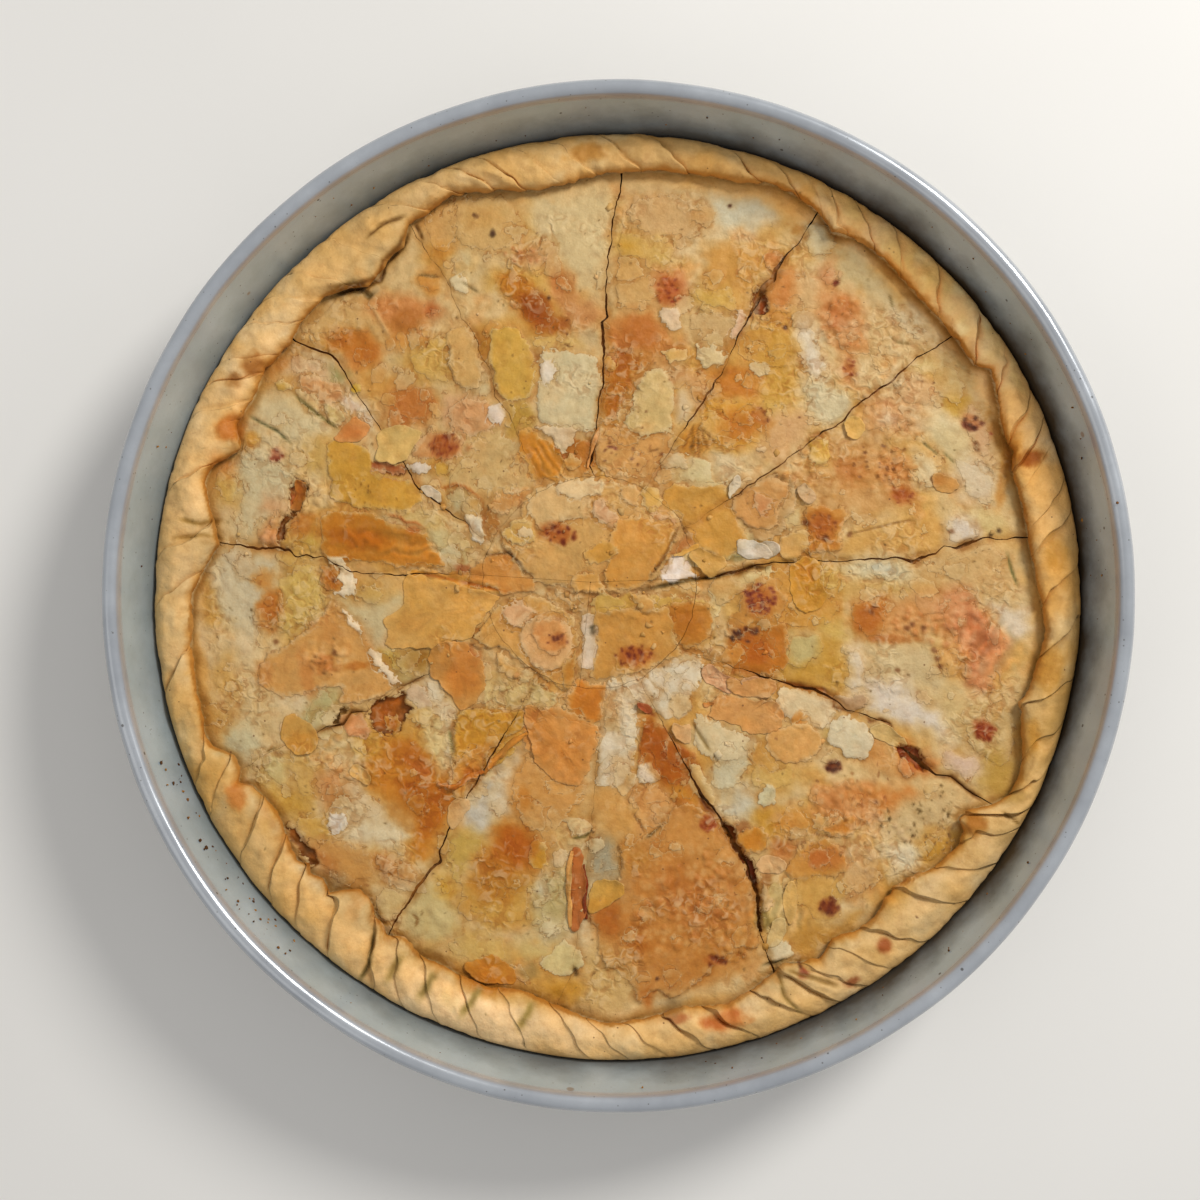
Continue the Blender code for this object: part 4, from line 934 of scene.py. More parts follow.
# Crisp leaves on top of them; those with a rise of RAISED or more stand clear as shells of their own.
LEAVES = [
    # far left
    ("cb9c6c", 0.6, [(-119, 79.6), (-113, 80), (-106, 78), (-102, 76), (-101, 74), (-103, 71), (-107, 69),
        (-110, 70), (-112, 73), (-117, 75)]),
    ("c9a65c", 0.6, [(-128, 80), (-124, 80), (-120, 77), (-118, 73), (-122, 74), (-126, 76)]),
    ("cbad7a", 0.6, [(-119, 76), (-116, 75), (-111, 71), (-109, 67), (-112, 66.6), (-117, 71)]),
    ("c9b07a", 0.7, [(-108, 70), (-104, 68), (-101, 64), (-103, 61), (-108, 64)]),
    ("c8864c", 0.8, [(-103, 59), (-100, 62), (-97, 66), (-94, 64), (-91, 62), (-92, 58), (-95, 55.6),
        (-98, 56), (-102, 55), (-105, 57)]),
    ("c9a030", 0.7, [(-99, 76.6), (-96, 77), (-94.6, 74.6), (-97, 73.6)]),
    ("d3c39c", 0.6, [(-62, 117.4), (-57, 116), (-53, 112), (-57, 111), (-61, 113)]),
    # farthest from the viewer
    ("c9a252", 0.6, [(-46, 97), (-41, 99), (-37, 98.6), (-35, 95), (-32, 90), (-30, 86), (-29, 80), (-31, 74),
        (-35, 71), (-41, 71), (-45, 76), (-46, 84), (-47, 91)]),
    ("c9ba94", 0.7, [(-31, 88.6), (-26, 89.8), (-18, 90.2), (-12, 89.4), (-6.2, 87.4), (-5.2, 80), (-6.8, 68),
        (-8.4, 60), (-13, 59), (-18, 61), (-23, 60), (-29, 62), (-31, 68), (-30.4, 78)]),
    ("d2c7b0", 0.3, [(-29, 85), (-25, 86), (-22, 82), (-24, 77), (-28, 79)]),
    ("cba56c", 0.7, [(-62, 99), (-57, 98), (-54, 95), (-52, 90), (-50, 83), (-49, 76), (-55, 74), (-62, 76)]),
    ("c99b6e", 0.5, [(-61, 70), (-54, 72), (-48, 70.6), (-43, 67), (-42, 62.6), (-48, 60), (-56, 58),
        (-62, 60)]),
    ("d6c8b2", 0.5, [(-48, 70), (-44, 69.4), (-41.4, 66), (-42, 62.6), (-46, 64), (-49, 67)]),
    ("d2bc9c", 0.6, [(15, 105), (19, 106), (23, 103), (24, 98), (21, 97), (17, 99)]),
    ("cdaa6c", 0.6, [(16.4, 90), (20, 91), (24, 91), (26, 88), (23, 85), (18, 85)]),
    ("cab07c", 0.7, [(13, 82.6), (16, 83.4), (18, 80), (20, 76), (21, 70), (20, 64), (19, 60), (10, 58),
        (4, 60), (2, 64), (4, 66), (6, 70), (5, 74), (9, 78), (11, 82)]),
    ("cdb98e", 0.6, [(29, 93), (33, 92), (36, 91), (40, 88), (37, 84), (33, 82), (30, 85), (29, 89)]),
    ("d0b092", 0.5, [(44, 104.6), (48, 104), (46, 98), (42.6, 92), (41, 95), (44, 99)]),
    ("c9b084", 0.3, [(50, 86), (55, 86), (57, 82), (53, 79.6), (49, 82)]),
    ("c99248", 0.5, [(-4.6, 88), (-1.6, 87), (-1.4, 83), (-3.4, 81), (-5, 83)]),
    # far right
    ("cfa862", 0.8, [(83, 64), (86, 66), (90, 65), (91.4, 61), (89, 57.4), (85, 57), (83, 60)]),
    ("c9a050", 0.5, [(71, 57), (77, 57.6), (79, 52), (76, 48), (71, 50)]),
    ("c58a50", 0.6, [(53, 125), (58, 127), (62, 125), (60, 121), (56, 119)]),
    # left of the middle
    ("c39644", 0.6, [(-106.5, 52), (-105.6, 55), (-102, 56), (-96, 55.3), (-93.6, 52.8), (-90.4, 46.4),
        (-88.8, 44.6), (-84, 44), (-79.2, 43.2), (-76.8, 41.6), (-72.8, 37.6), (-73.2, 33.6), (-75.2, 30.6),
        (-80, 30.2), (-89.6, 30.6), (-97.6, 30.6), (-100.8, 32.8), (-104, 36), (-105.6, 40.8), (-107, 47)]),
    ("ba7b2b", 0.6, [(-109, 29.6), (-100, 30), (-89.6, 29.8), (-87.2, 28), (-85.6, 26.2), (-81.6, 25.8),
        (-78.4, 24.8), (-76, 23), (-71.2, 22.4), (-69.6, 20), (-67.2, 15.2), (-64, 12), (-61.6, 9),
        (-72, 9.4), (-80, 10), (-88, 11.2), (-93.6, 12), (-100, 11.2), (-104.8, 12.2), (-108, 14.6),
        (-109.2, 17.6)]),
    ("b5702c", 0.9, [(-120.4, 33), (-118, 36), (-119, 39.5), (-118.4, 42), (-116, 41.6), (-114, 41.2),
        (-114.2, 37.5), (-116, 33), (-117, 30.7), (-120, 30.3)]),
    ("ccac6c", 0.8, [(-89, 60), (-88, 55), (-89.2, 50), (-87, 48.7), (-80, 47.6), (-77, 50), (-76, 53),
        (-73, 57), (-72, 60), (-80, 62)]),
    ("a85c34", 0.4, [(-90, 48.2), (-85, 47.5), (-82, 47.2), (-79, 46), (-77.4, 44.2), (-79, 43.6),
        (-86, 44.4), (-89.4, 45.6)]),
    ("d6cab6", 0.7, [(-78.6, 47.4), (-74, 47.6), (-70, 48.2), (-68.4, 46), (-70, 43.6), (-74, 44.2),
        (-77, 45.2)]),
    ("c4905e", 0.3, [(-75, 50), (-73, 55), (-70, 59), (-62, 60), (-57, 58), (-57, 54), (-60, 50.4),
        (-68, 50)]),
    ("d4cab2", 0.8, [(-73, 39), (-69, 39.6), (-66.4, 38), (-64.4, 37), (-65, 33), (-68, 35.4), (-71, 36.8)]),
    ("d3c9b0", 0.6, [(-57, 28.8), (-53, 29), (-50, 26), (-48, 20), (-50, 17), (-53, 19), (-55, 24)]),
    ("c7903f", 0.6, [(-78, 9.4), (-70, 9.2), (-63, 8.4), (-57, 7), (-50, 5.4), (-42, 2.6), (-41, -0.5),
        (-48, 0.6), (-58, 2.4), (-68, 4.4), (-78, 5.2)]),
    ("cb9d58", 0.8, [(-78.2, 6.4), (-68, 5.6), (-58, 3.4), (-50, 1.4), (-43.5, -0.6), (-43.6, -3),
        (-47.6, -7.8), (-50, -11), (-53, -15), (-57, -17.4), (-62, -18), (-66, -19.4), (-72, -20), (-80, -20),
        (-85.6, -19.8), (-85.4, -17), (-84.8, -14), (-86, -10), (-84, -8), (-80, -6), (-78.6, -2)]),
    ("b9762f", 0.5, [(-110.2, 9.8), (-105, 10.2), (-103, 9), (-102, 6), (-99.6, 3), (-102, 0.8), (-105, 0.2),
        (-107.4, 1), (-108.4, 5)]),
    ("dccfb0", 0.7, [(-109, 12.6), (-104, 12.4), (-101, 11), (-99.4, 8), (-97, 6), (-95, 3.4), (-96, 0.4),
        (-99, -1.6), (-103, -1), (-106.4, -2), (-103, 0.4), (-100, 2.8), (-102, 6.4), (-103, 9.4),
        (-106, 10.8)]),
    ("c8985c", 0.7, [(-106.4, -3), (-103, -4), (-99.2, -8), (-94, -12), (-91.2, -17.6), (-88.8, -21),
        (-86.4, -26.4), (-84, -29.8), (-80, -33), (-84, -36), (-90, -38.4), (-96, -40), (-102.6, -41),
        (-101, -38), (-100, -33.4), (-104, -34.4), (-110, -34.6), (-114, -37), (-121, -38), (-128, -36),
        (-133, -31), (-130, -24), (-122, -20), (-118, -16), (-113, -12), (-110, -9), (-107, -6)]),
    ("e0d0b2", 0.5, [(-106, -2.6), (-103, -3.6), (-99, -7.4), (-93.6, -11.8), (-90.8, -17.4), (-88.4, -20.8),
        (-86, -26.2), (-83.6, -29.6), (-79.6, -32.8), (-82, -33.6), (-85.6, -31), (-88, -27), (-90.4, -22),
        (-93, -18), (-95.4, -13), (-100, -9), (-104, -5)]),
    ("c89e64", 0.6, [(-53.4, -16), (-49, -11.4), (-45, -10.4), (-40, -14), (-40, -20), (-46, -19.8),
        (-52, -20.2)]),
    ("c48a48", 0.9, [(-69.6, -22.4), (-67.2, -19.2), (-60.8, -17.4), (-54.4, -18.8), (-52, -23.2),
        (-48.8, -26.4), (-48, -32), (-50.4, -37.6), (-54.4, -42.6), (-57.6, -42.2), (-62.4, -37.6),
        (-65.6, -32), (-68.8, -29.6)]),
    ("c9ad8c", 0.6, [(-79, -36), (-75, -33.6), (-72, -34), (-69, -37), (-68, -40), (-71, -41), (-76, -38.6),
        (-78, -38)]),
    ("b5701f", 0.4, [(-86, -45), (-81, -45), (-79.6, -48), (-81, -51), (-85, -50.4)]),
    ("c98f62", 0.7, [(-101, -44), (-97, -43.6), (-93, -46), (-91.4, -50), (-94, -53), (-98, -52), (-101, -50),
        (-103, -47)]),
    ("c6944a", 0.8, [(-124, -50), (-122, -46), (-119, -43.6), (-116, -46), (-112, -49), (-110, -51),
        (-110.5, -56), (-113, -59), (-119, -59), (-123, -55)]),
    ("dcb887", 0.4, [(-124, -50), (-122, -46), (-119, -43.6), (-117, -45.4), (-120, -47), (-122, -51)]),
    # round the middle
    ("c3842f", 0.5, [(-39, 60), (-31, 60), (-26, 56), (-22, 54), (-19, 51), (-20, 47), (-22, 43.5),
        (-27, 41.5), (-31, 43), (-32, 47), (-35, 52)]),
    ("cdb896", 0.6, [(-31, 61), (-27, 59.5), (-24, 57), (-22, 53.5), (-18.5, 51.5), (-17.5, 54), (-15, 55),
        (-16, 59), (-14, 61)]),
    ("c58f4a", 0.6, [(-18, 51), (-14, 49), (-13, 45.5), (-17, 44.5), (-20, 47)]),
    ("c5944a", 0.6, [(16.5, 38), (20, 40.5), (26, 39.5), (33, 40), (39, 39.5), (41.5, 36), (42, 31), (44, 27),
        (46.5, 23), (47, 18), (43, 14), (40, 11.5), (34, 15), (29, 17), (26.5, 20), (25, 24), (22, 28.5),
        (17, 32)]),
    ("d3c9b0", 0.9, [(40, 37), (42, 42), (44, 44), (45.5, 41), (43, 36), (41, 34)]),
    ("c4a070", 0.6, [(48, 40), (52, 41), (60, 45), (66, 42), (66, 34), (62, 27), (60, 22.5), (56, 20.5),
        (52, 20), (48, 22), (46, 26), (43, 30), (41.5, 32.5), (44, 36)]),
    ("d2cab8", 0.8, [(44, 20), (50, 18.5), (56, 20), (60, 17), (58, 13), (52, 13), (47, 13.5), (44, 16)]),
    ("b5743a", 0.5, [(22.5, 20), (25, 22.5), (27, 22), (28.5, 18), (24, 16), (20.5, 14), (19, 14)]),
    ("ded7c8", 0.3, [(14, 4.5), (17, 8.5), (20, 12.5), (22, 14), (25.5, 12.5), (27, 9.5), (31.5, 6.5),
        (30, 5.5), (24, 4.8), (18, 4.2)]),
    ("c49a58", 0.9, [(29, 17.5), (34, 15.5), (39, 13), (40, 10), (37.5, 8.5), (34.5, 6), (32, 7), (30, 10),
        (28, 12), (26, 14)]),
    ("cfb27a", 0.6, [(25, 15.5), (29, 13.5), (30, 10), (27, 9), (25, 12)]),
    ("d1a050", 0.8, [(20, 14), (24, 16), (29, 18.5), (30, 16.5), (25, 14), (21, 13)]),
    ("c58a48", 0.7, [(-50.4, 12.8), (-48, 14.4), (-44, 15.6), (-40.8, 13.6), (-36.8, 11.2), (-34, 8),
        (-30, 4.8), (-31, 1), (-36, 0), (-41, 0.4), (-47, 2.4), (-55, 4), (-55, 9)]),
    ("cba369", 0.7, [(-33.6, 36), (-30, 38.4), (-25.6, 40.4), (-18.4, 42), (-12, 42.8), (-4, 42), (0.8, 40.4),
        (6.4, 40.8), (10.4, 40), (13.6, 38), (15.6, 35.2), (16.8, 31.6), (20.8, 29.2), (23.2, 26.4),
        (22.4, 21.6), (20.4, 16.8), (16.8, 12), (13.6, 4.8), (9.6, 2), (2.4, 0.4), (-4, 0.2), (-8.8, 0.4),
        (-15.2, 0.8), (-20, 2.4), (-24.8, 2.8), (-29, 4), (-32, 6.5), (-36, 10), (-38, 12.8), (-40.8, 16.4),
        (-42.8, 19.2), (-43.2, 22.4), (-41, 24.5), (-38, 26), (-35.5, 29), (-34.4, 32)]),
    ("cfae7c", 0.5, [(-30, 38), (-22, 40), (-16, 40), (-12, 36), (-9, 30), (-12, 26.5), (-18, 26), (-24, 25),
        (-28, 22), (-31, 27), (-33, 32)]),
    ("d0a67e", 0.6, [(-9, 34), (-5, 33), (-1, 29), (2, 25.5), (-1, 24), (-6, 26), (-10, 29)]),
    ("d2b98e", 0.5, [(-22, 40), (-17, 41.5), (-10, 42), (-5, 40), (-6, 36), (-12, 34), (-19, 35)]),
    ("cda269", 0.5, [(2, 40), (7.5, 40), (9, 36), (7.5, 31), (3.5, 33), (1, 36)]),
    ("cca45e", 0.7, [(9.2, 36.8), (11.2, 39.2), (14.4, 37.2), (16, 33.6), (15.2, 30.4), (11.2, 30.4),
        (8.8, 32.8)]),
    ("cda864", 0.6, [(-42.5, 23), (-38, 26), (-33, 27), (-29.5, 23), (-31, 19), (-36, 17.5), (-41, 18.5)]),
    ("d6bd92", 0.4, [(-37, 23), (-34, 24), (-31.5, 22.5), (-33, 21), (-36, 21)]),
    ("c9954e", 0.5, [(-1, 27), (4, 28), (10, 28), (16, 26), (21, 27), (22, 21), (19, 15), (14, 8), (9.5, 2.2),
        (2, 0.8), (-4.6, 1), (-5, 6), (-4.5, 10), (-2, 14), (-3, 19)]),
    ("cb9a4e", 0.5, [(-12, 12.8), (-11, 15.5), (-8, 17.8), (-4, 18.2), (-1.8, 15.6), (-2.8, 12), (-4.8, 10.2),
        (-9, 11)]),
    ("cf9f5c", 0.7, [(-17, 4.8), (-13.6, 8), (-8, 7.2), (-5.6, 4), (-5, 0.8), (-11, 0.2), (-16.4, 1)]),
    ("c98f5c", 0.6, [(9, 29.5), (13, 28.5), (17, 25.5), (20, 25.5), (18, 28.5), (14, 31)]),
    ("b98a50", 0.6, [(20.5, 15.5), (19, 12), (16, 8), (13, 4.5), (11, 3.5), (13, 8), (16.5, 12.5)]),
    ("c9a45a", 0.5, [(-10, -2), (-2, -0.5), (6, -1), (14, -1.2), (22, -1), (28, -1.5), (33, -3), (34, -8),
        (24, -6), (16, -7), (8, -8), (-2, -8), (-9, -8), (-11, -4)]),
    ("bd8038", 0.5, [(18, -4), (23, -3), (28, -3), (33, -4.5), (35, -9), (34, -15), (31, -18), (27, -19.5),
        (24, -21), (21, -17), (19, -11)]),
    ("d3c2a8", 0.4, [(-14, -7), (-11, -6), (-8, -9), (-6.5, -20), (-8, -28), (-12, -30), (-13.5, -24),
        (-12.5, -16)]),
    ("c4924f", 0.4, [(-9, -8), (-5, -6.5), (2, -5.5), (10, -6), (15, -6), (18, -5), (20, -8), (20, -14),
        (22, -19), (23, -23), (17, -25), (13, -26), (9, -28.5), (3, -29), (-2, -30.5), (-8, -32.5),
        (-11, -30), (-8, -26), (-7, -18), (-8, -12)]),
    ("cfa060", 0.7, [(3, -1.5), (8, -1), (13, -1.5), (13, -5.5), (9, -6), (5, -4)]),
    ("c89b5c", 0.6, [(-53.5, -17), (-50, -12), (-47, -8), (-43, -4), (-40, -1.5), (-34, -1), (-27, -2),
        (-24, -4.5), (-20, -5.5), (-16, -9), (-15, -13), (-14, -17), (-15, -22), (-16, -28), (-18.5, -36.5),
        (-22, -34), (-28, -30), (-34, -26), (-40, -21), (-46, -19.5)]),
    ("cba078", 0.5, [(-42, -4), (-36, -2.5), (-31, -5), (-32, -10), (-38, -12), (-42, -9)]),
    ("cfa87a", 0.7, [(-33, -9), (-26, -8), (-20, -9.5), (-17, -14), (-17, -22), (-20, -28), (-27, -29),
        (-33, -24), (-36, -17)]),
    ("c78f58", 0.5, [(-30, -10), (-24, -9.5), (-19, -13), (-19, -20), (-23, -24), (-29, -21), (-31, -15)]),
    ("b98038", 0.5, [(-20, -27), (-17, -23), (-14.5, -20), (-15, -28), (-18.5, -36), (-20, -32)]),
    ("c99f62", 0.7, [(-46, -20), (-41, -22), (-38, -27), (-35, -32), (-41, -30), (-46, -25)]),
    ("c37c2e", 0.5, [(-14, -30.5), (-9, -33.5), (-4, -32.5), (-5, -40), (-6.5, -48), (-12, -46), (-18, -44),
        (-19.5, -39), (-16, -35)]),
    ("a04a28", 0.8, [(7, -40), (10.5, -40.5), (13, -43), (11, -44.5), (8, -42.5)]),
    ("cfa678", 0.9, [(20, -47), (23, -49), (27, -47.5), (27, -55), (24, -55.5), (20.5, -52)]),
    ("d0a07c", 0.9, [(31, -27.5), (34, -26), (38, -29), (44, -31.5), (44, -35), (40, -36.5), (35, -34),
        (31, -31)]),
    ("cfa07a", 0.8, [(44, -31), (52, -31), (58, -32), (57, -37.5), (52, -38.5), (46, -36)]),
    ("c9935a", 0.8, [(36, -38), (44, -37.5), (52, -39), (58, -38), (61, -44), (60, -50), (55, -52),
        (46, -51.5), (44, -48.5), (36, -46.5), (32, -45), (34, -42)]),
    ("c07a3c", 0.8, [(30, -40), (34, -39), (36, -40.5), (32, -42)]),
    ("c78a48", 0.6, [(-36, -41), (-28, -41), (-18, -44), (-10, -47), (-7, -50), (-9, -58), (-11, -67),
        (-16, -71), (-22, -68), (-30, -62), (-34, -54)]),
    # right of the middle
    ("ca9a62", 0.6, [(41.6, 32.6), (44.8, 36.8), (48.8, 39.2), (54.4, 41.6), (61, 41), (63, 38), (61, 34),
        (58, 30), (59, 25), (55, 23.4), (49, 24), (44, 28)]),
    ("c98f60", 0.3, [(50, 36), (54, 37), (57, 34), (56, 30), (52, 29.6), (50, 32)]),
    ("c3a27e", 0.9, [(65.4, 39), (68, 41), (71, 39), (72.6, 35.6), (71, 33), (68, 33.6), (66, 36)]),
    ("c0853f", 0.7, [(69.6, 32), (74, 32.6), (79, 31.2), (83.4, 32), (84, 28), (82, 24), (81.4, 20),
        (82.4, 17), (81, 14.6), (75, 15.2), (70, 14.2), (67, 16), (70.6, 20), (69.4, 25), (68.4, 28)]),
    ("cba468", 0.7, [(70, 24), (66, 24), (60, 21), (59, 16), (63, 13.6), (68, 14), (71, 17), (71.6, 20)]),
    ("c59254", 0.8, [(115, 43.6), (119, 44.6), (124, 43), (126, 39), (122, 36.6), (116, 38)]),
    ("d2cab8", 0.8, [(43.6, 19), (48, 20), (54, 18), (57.4, 14), (55, 12.4), (50, 12.8), (44, 13.4)]),
    ("c7923c", 0.8, [(62.4, 8.6), (65, 12), (69, 13.8), (72.4, 13), (73.8, 10), (74, 6), (76, 0), (74, -6),
        (68, -8), (64, -4), (63, 3)]),
    ("c9935c", 0.8, [(40, -31), (48, -31.4), (58, -31.8), (58.6, -35), (55, -38.6), (47, -38), (41, -36)]),
    ("d3c09a", 0.6, [(59, -34), (66, -35.4), (72, -37), (78, -40), (80, -45), (76, -50), (68, -47), (62, -46),
        (58, -42)]),
    ("cb8f48", 0.5, [(64, -44), (68, -44.4), (69.6, -48), (66, -50), (62.6, -48)]),
    ("b39272", 0.6, [(79, -37.6), (85, -37.6), (91, -37.2), (92.2, -39), (90, -41.6), (86, -44), (81, -42.4),
        (79, -41)]),
    ("cfc2a2", 0.5, [(80, -44), (86, -45.6), (92, -49), (96, -54), (93, -60), (84, -60), (78, -55),
        (76, -50)]),
    ("cc9e62", 0.6, [(56, -48), (64, -49), (71, -48), (75, -52), (74, -58), (68, -62), (58, -62), (53, -56)]),
    ("cbae76", 0.9, [(92, -48.4), (98, -47.6), (103, -51), (107, -55.6), (103, -56.6), (97, -54.6),
        (93, -52)]),
    # near left
    ("d2a866", 0.8, [(-98.4, -64), (-96, -62.4), (-92.4, -64), (-90, -67), (-90.4, -70), (-93, -70),
        (-96, -68), (-99, -66)]),
    ("cfa876", 0.8, [(-62, -77), (-59, -74.6), (-54, -75.6), (-53.6, -78), (-57, -82), (-60.4, -86.8),
        (-62, -84)]),
    ("d3cbb8", 0.5, [(-104, -81), (-100, -81), (-99, -86), (-102, -88), (-104, -85)]),
    ("c08a58", 0.6, [(-89, -96), (-85, -95), (-82, -99), (-84, -103), (-88, -100)]),
    ("c4935c", 0.6, [(-80, -100), (-76, -99.6), (-73.4, -103), (-76, -106), (-80, -104)]),
    # nearest the viewer
    ("c4913c", 0.6, [(-60, -46), (-54, -42.4), (-50, -42), (-46, -44), (-40, -43), (-34, -43.6), (-33, -49),
        (-37, -51), (-44, -54), (-49, -58), (-54, -62), (-60, -65)]),
    ("c58d46", 0.7, [(-61, -61), (-52, -57.4), (-46, -52), (-43, -53), (-46, -58), (-50, -64), (-52, -69),
        (-57, -73.6), (-61, -74)]),
    ("c98f50", 0.8, [(-35, -43), (-34, -41), (-31, -41), (-26, -43.6), (-18, -45.6), (-10, -48),
        (-6.6, -49.4), (-8.4, -52), (-8, -58), (-10, -60), (-9.6, -64), (-11, -66), (-13, -68), (-14.6, -71),
        (-17, -70.6), (-20, -69.4), (-24, -68.6), (-26, -66), (-29, -64), (-30.6, -60), (-31.4, -54),
        (-33, -50)]),
    ("c4833c", 0.3, [(-32, -46), (-26, -46), (-18, -49), (-12, -54), (-10, -60), (-14, -63), (-20, -60),
        (-27, -55), (-31, -51)]),
    ("b5602a", 1.3, [(-16.5, -93.5), (-14.4, -93.6), (-13, -97), (-12.6, -101), (-12, -105), (-12, -110),
        (-13, -114), (-12, -117), (-13.4, -120), (-15, -124), (-17, -123), (-18, -119), (-17.8, -112),
        (-18.6, -108), (-18, -102), (-17, -97)]),
    ("c99a48", 1.1, [(-11, -109), (-8, -105), (-4, -104), (0, -104), (1.6, -106), (2.6, -108.6), (0, -111),
        (-3, -113.6), (-7, -115.6), (-11, -116.4), (-10, -112)]),
    ("c4923c", 0.3, [(-31, -89), (-27, -90.6), (-24, -96), (-26, -102), (-31, -102), (-33, -96)]),
    ("cdbb88", 0.5, [(-29, -136), (-27, -133), (-22, -129), (-20, -126), (-17, -128), (-13, -131),
        (-12, -134), (-15, -138), (-20, -140), (-26, -138)]),
    ("c27f2a", 0.8, [(-56, -136), (-50, -132.4), (-45, -131.8), (-41, -133.6), (-38, -137), (-36.8, -141),
        (-40, -143), (-47, -142.4), (-53, -140)]),
    ("cdb384", 0.6, [(-20, -84), (-18, -81), (-13, -80.6), (-10, -82), (-10, -86), (-12, -88.4), (-17, -89),
        (-18, -86)]),
    ("c9b68e", 0.5, [(-11, -90.6), (-8, -89), (-4, -91), (-6, -94.6), (-9.4, -94)]),
    ("d8c9ae", 0.5, [(10, -62), (13, -63), (16, -67), (16, -68.4), (10, -69), (8, -66)]),
    ("cdae78", 0.7, [(27, -62), (30, -62.4), (32, -68), (36, -76), (35, -79), (31, -76), (28, -72),
        (26, -67)]),
    ("c4832f", 0.6, [(43, -90), (46, -87), (50, -85), (54, -86), (54, -92), (53, -95), (48, -95), (44, -93)]),
    ("d3ad7e", 0.9, [(50, -99), (53, -96), (58, -95.6), (62, -98), (61, -102), (54, -102.6), (51, -101)]),
    ("c9c29e", 0.5, [(52, -72), (57, -71), (58, -75), (54, -79), (51, -77)]),
    ("c9a97a", 0.7, [(52, -106), (55, -107), (57, -112), (55, -117), (52, -116), (51.6, -110)]),
    # near right
    ("c98a42", 0.7, [(73, -87), (77, -84), (82, -82), (87, -81), (87, -86), (84, -89), (79, -89)]),
    ("c48d48", 0.7, [(60.8, -102.4), (64, -97.6), (67.2, -92), (72, -89.6), (76.8, -88.8), (80, -91.2),
        (84, -96), (82, -102), (74, -104), (66, -103)]),
    ("b86a2e", 0.0, [(68, -95), (73, -92), (78, -95), (77, -99), (71, -100)]),
    ("d2ac6c", 0.8, [(61, -106), (64, -104), (66, -108), (65, -116), (63, -122), (61, -118), (60, -112)]),
    ("ccb482", 0.8, [(56, -120), (60, -118), (62, -122), (60, -127), (55, -130), (53.6, -128)]),
    ("d3c6a2", 0.6, [(54, -130), (58, -127), (64, -128), (66, -131), (60, -134), (55, -133)]),
    ("c98e58", 0.6, [(103, -60), (106, -61), (108, -65), (106, -68), (103, -66)]),
]
RAISED = 0.8

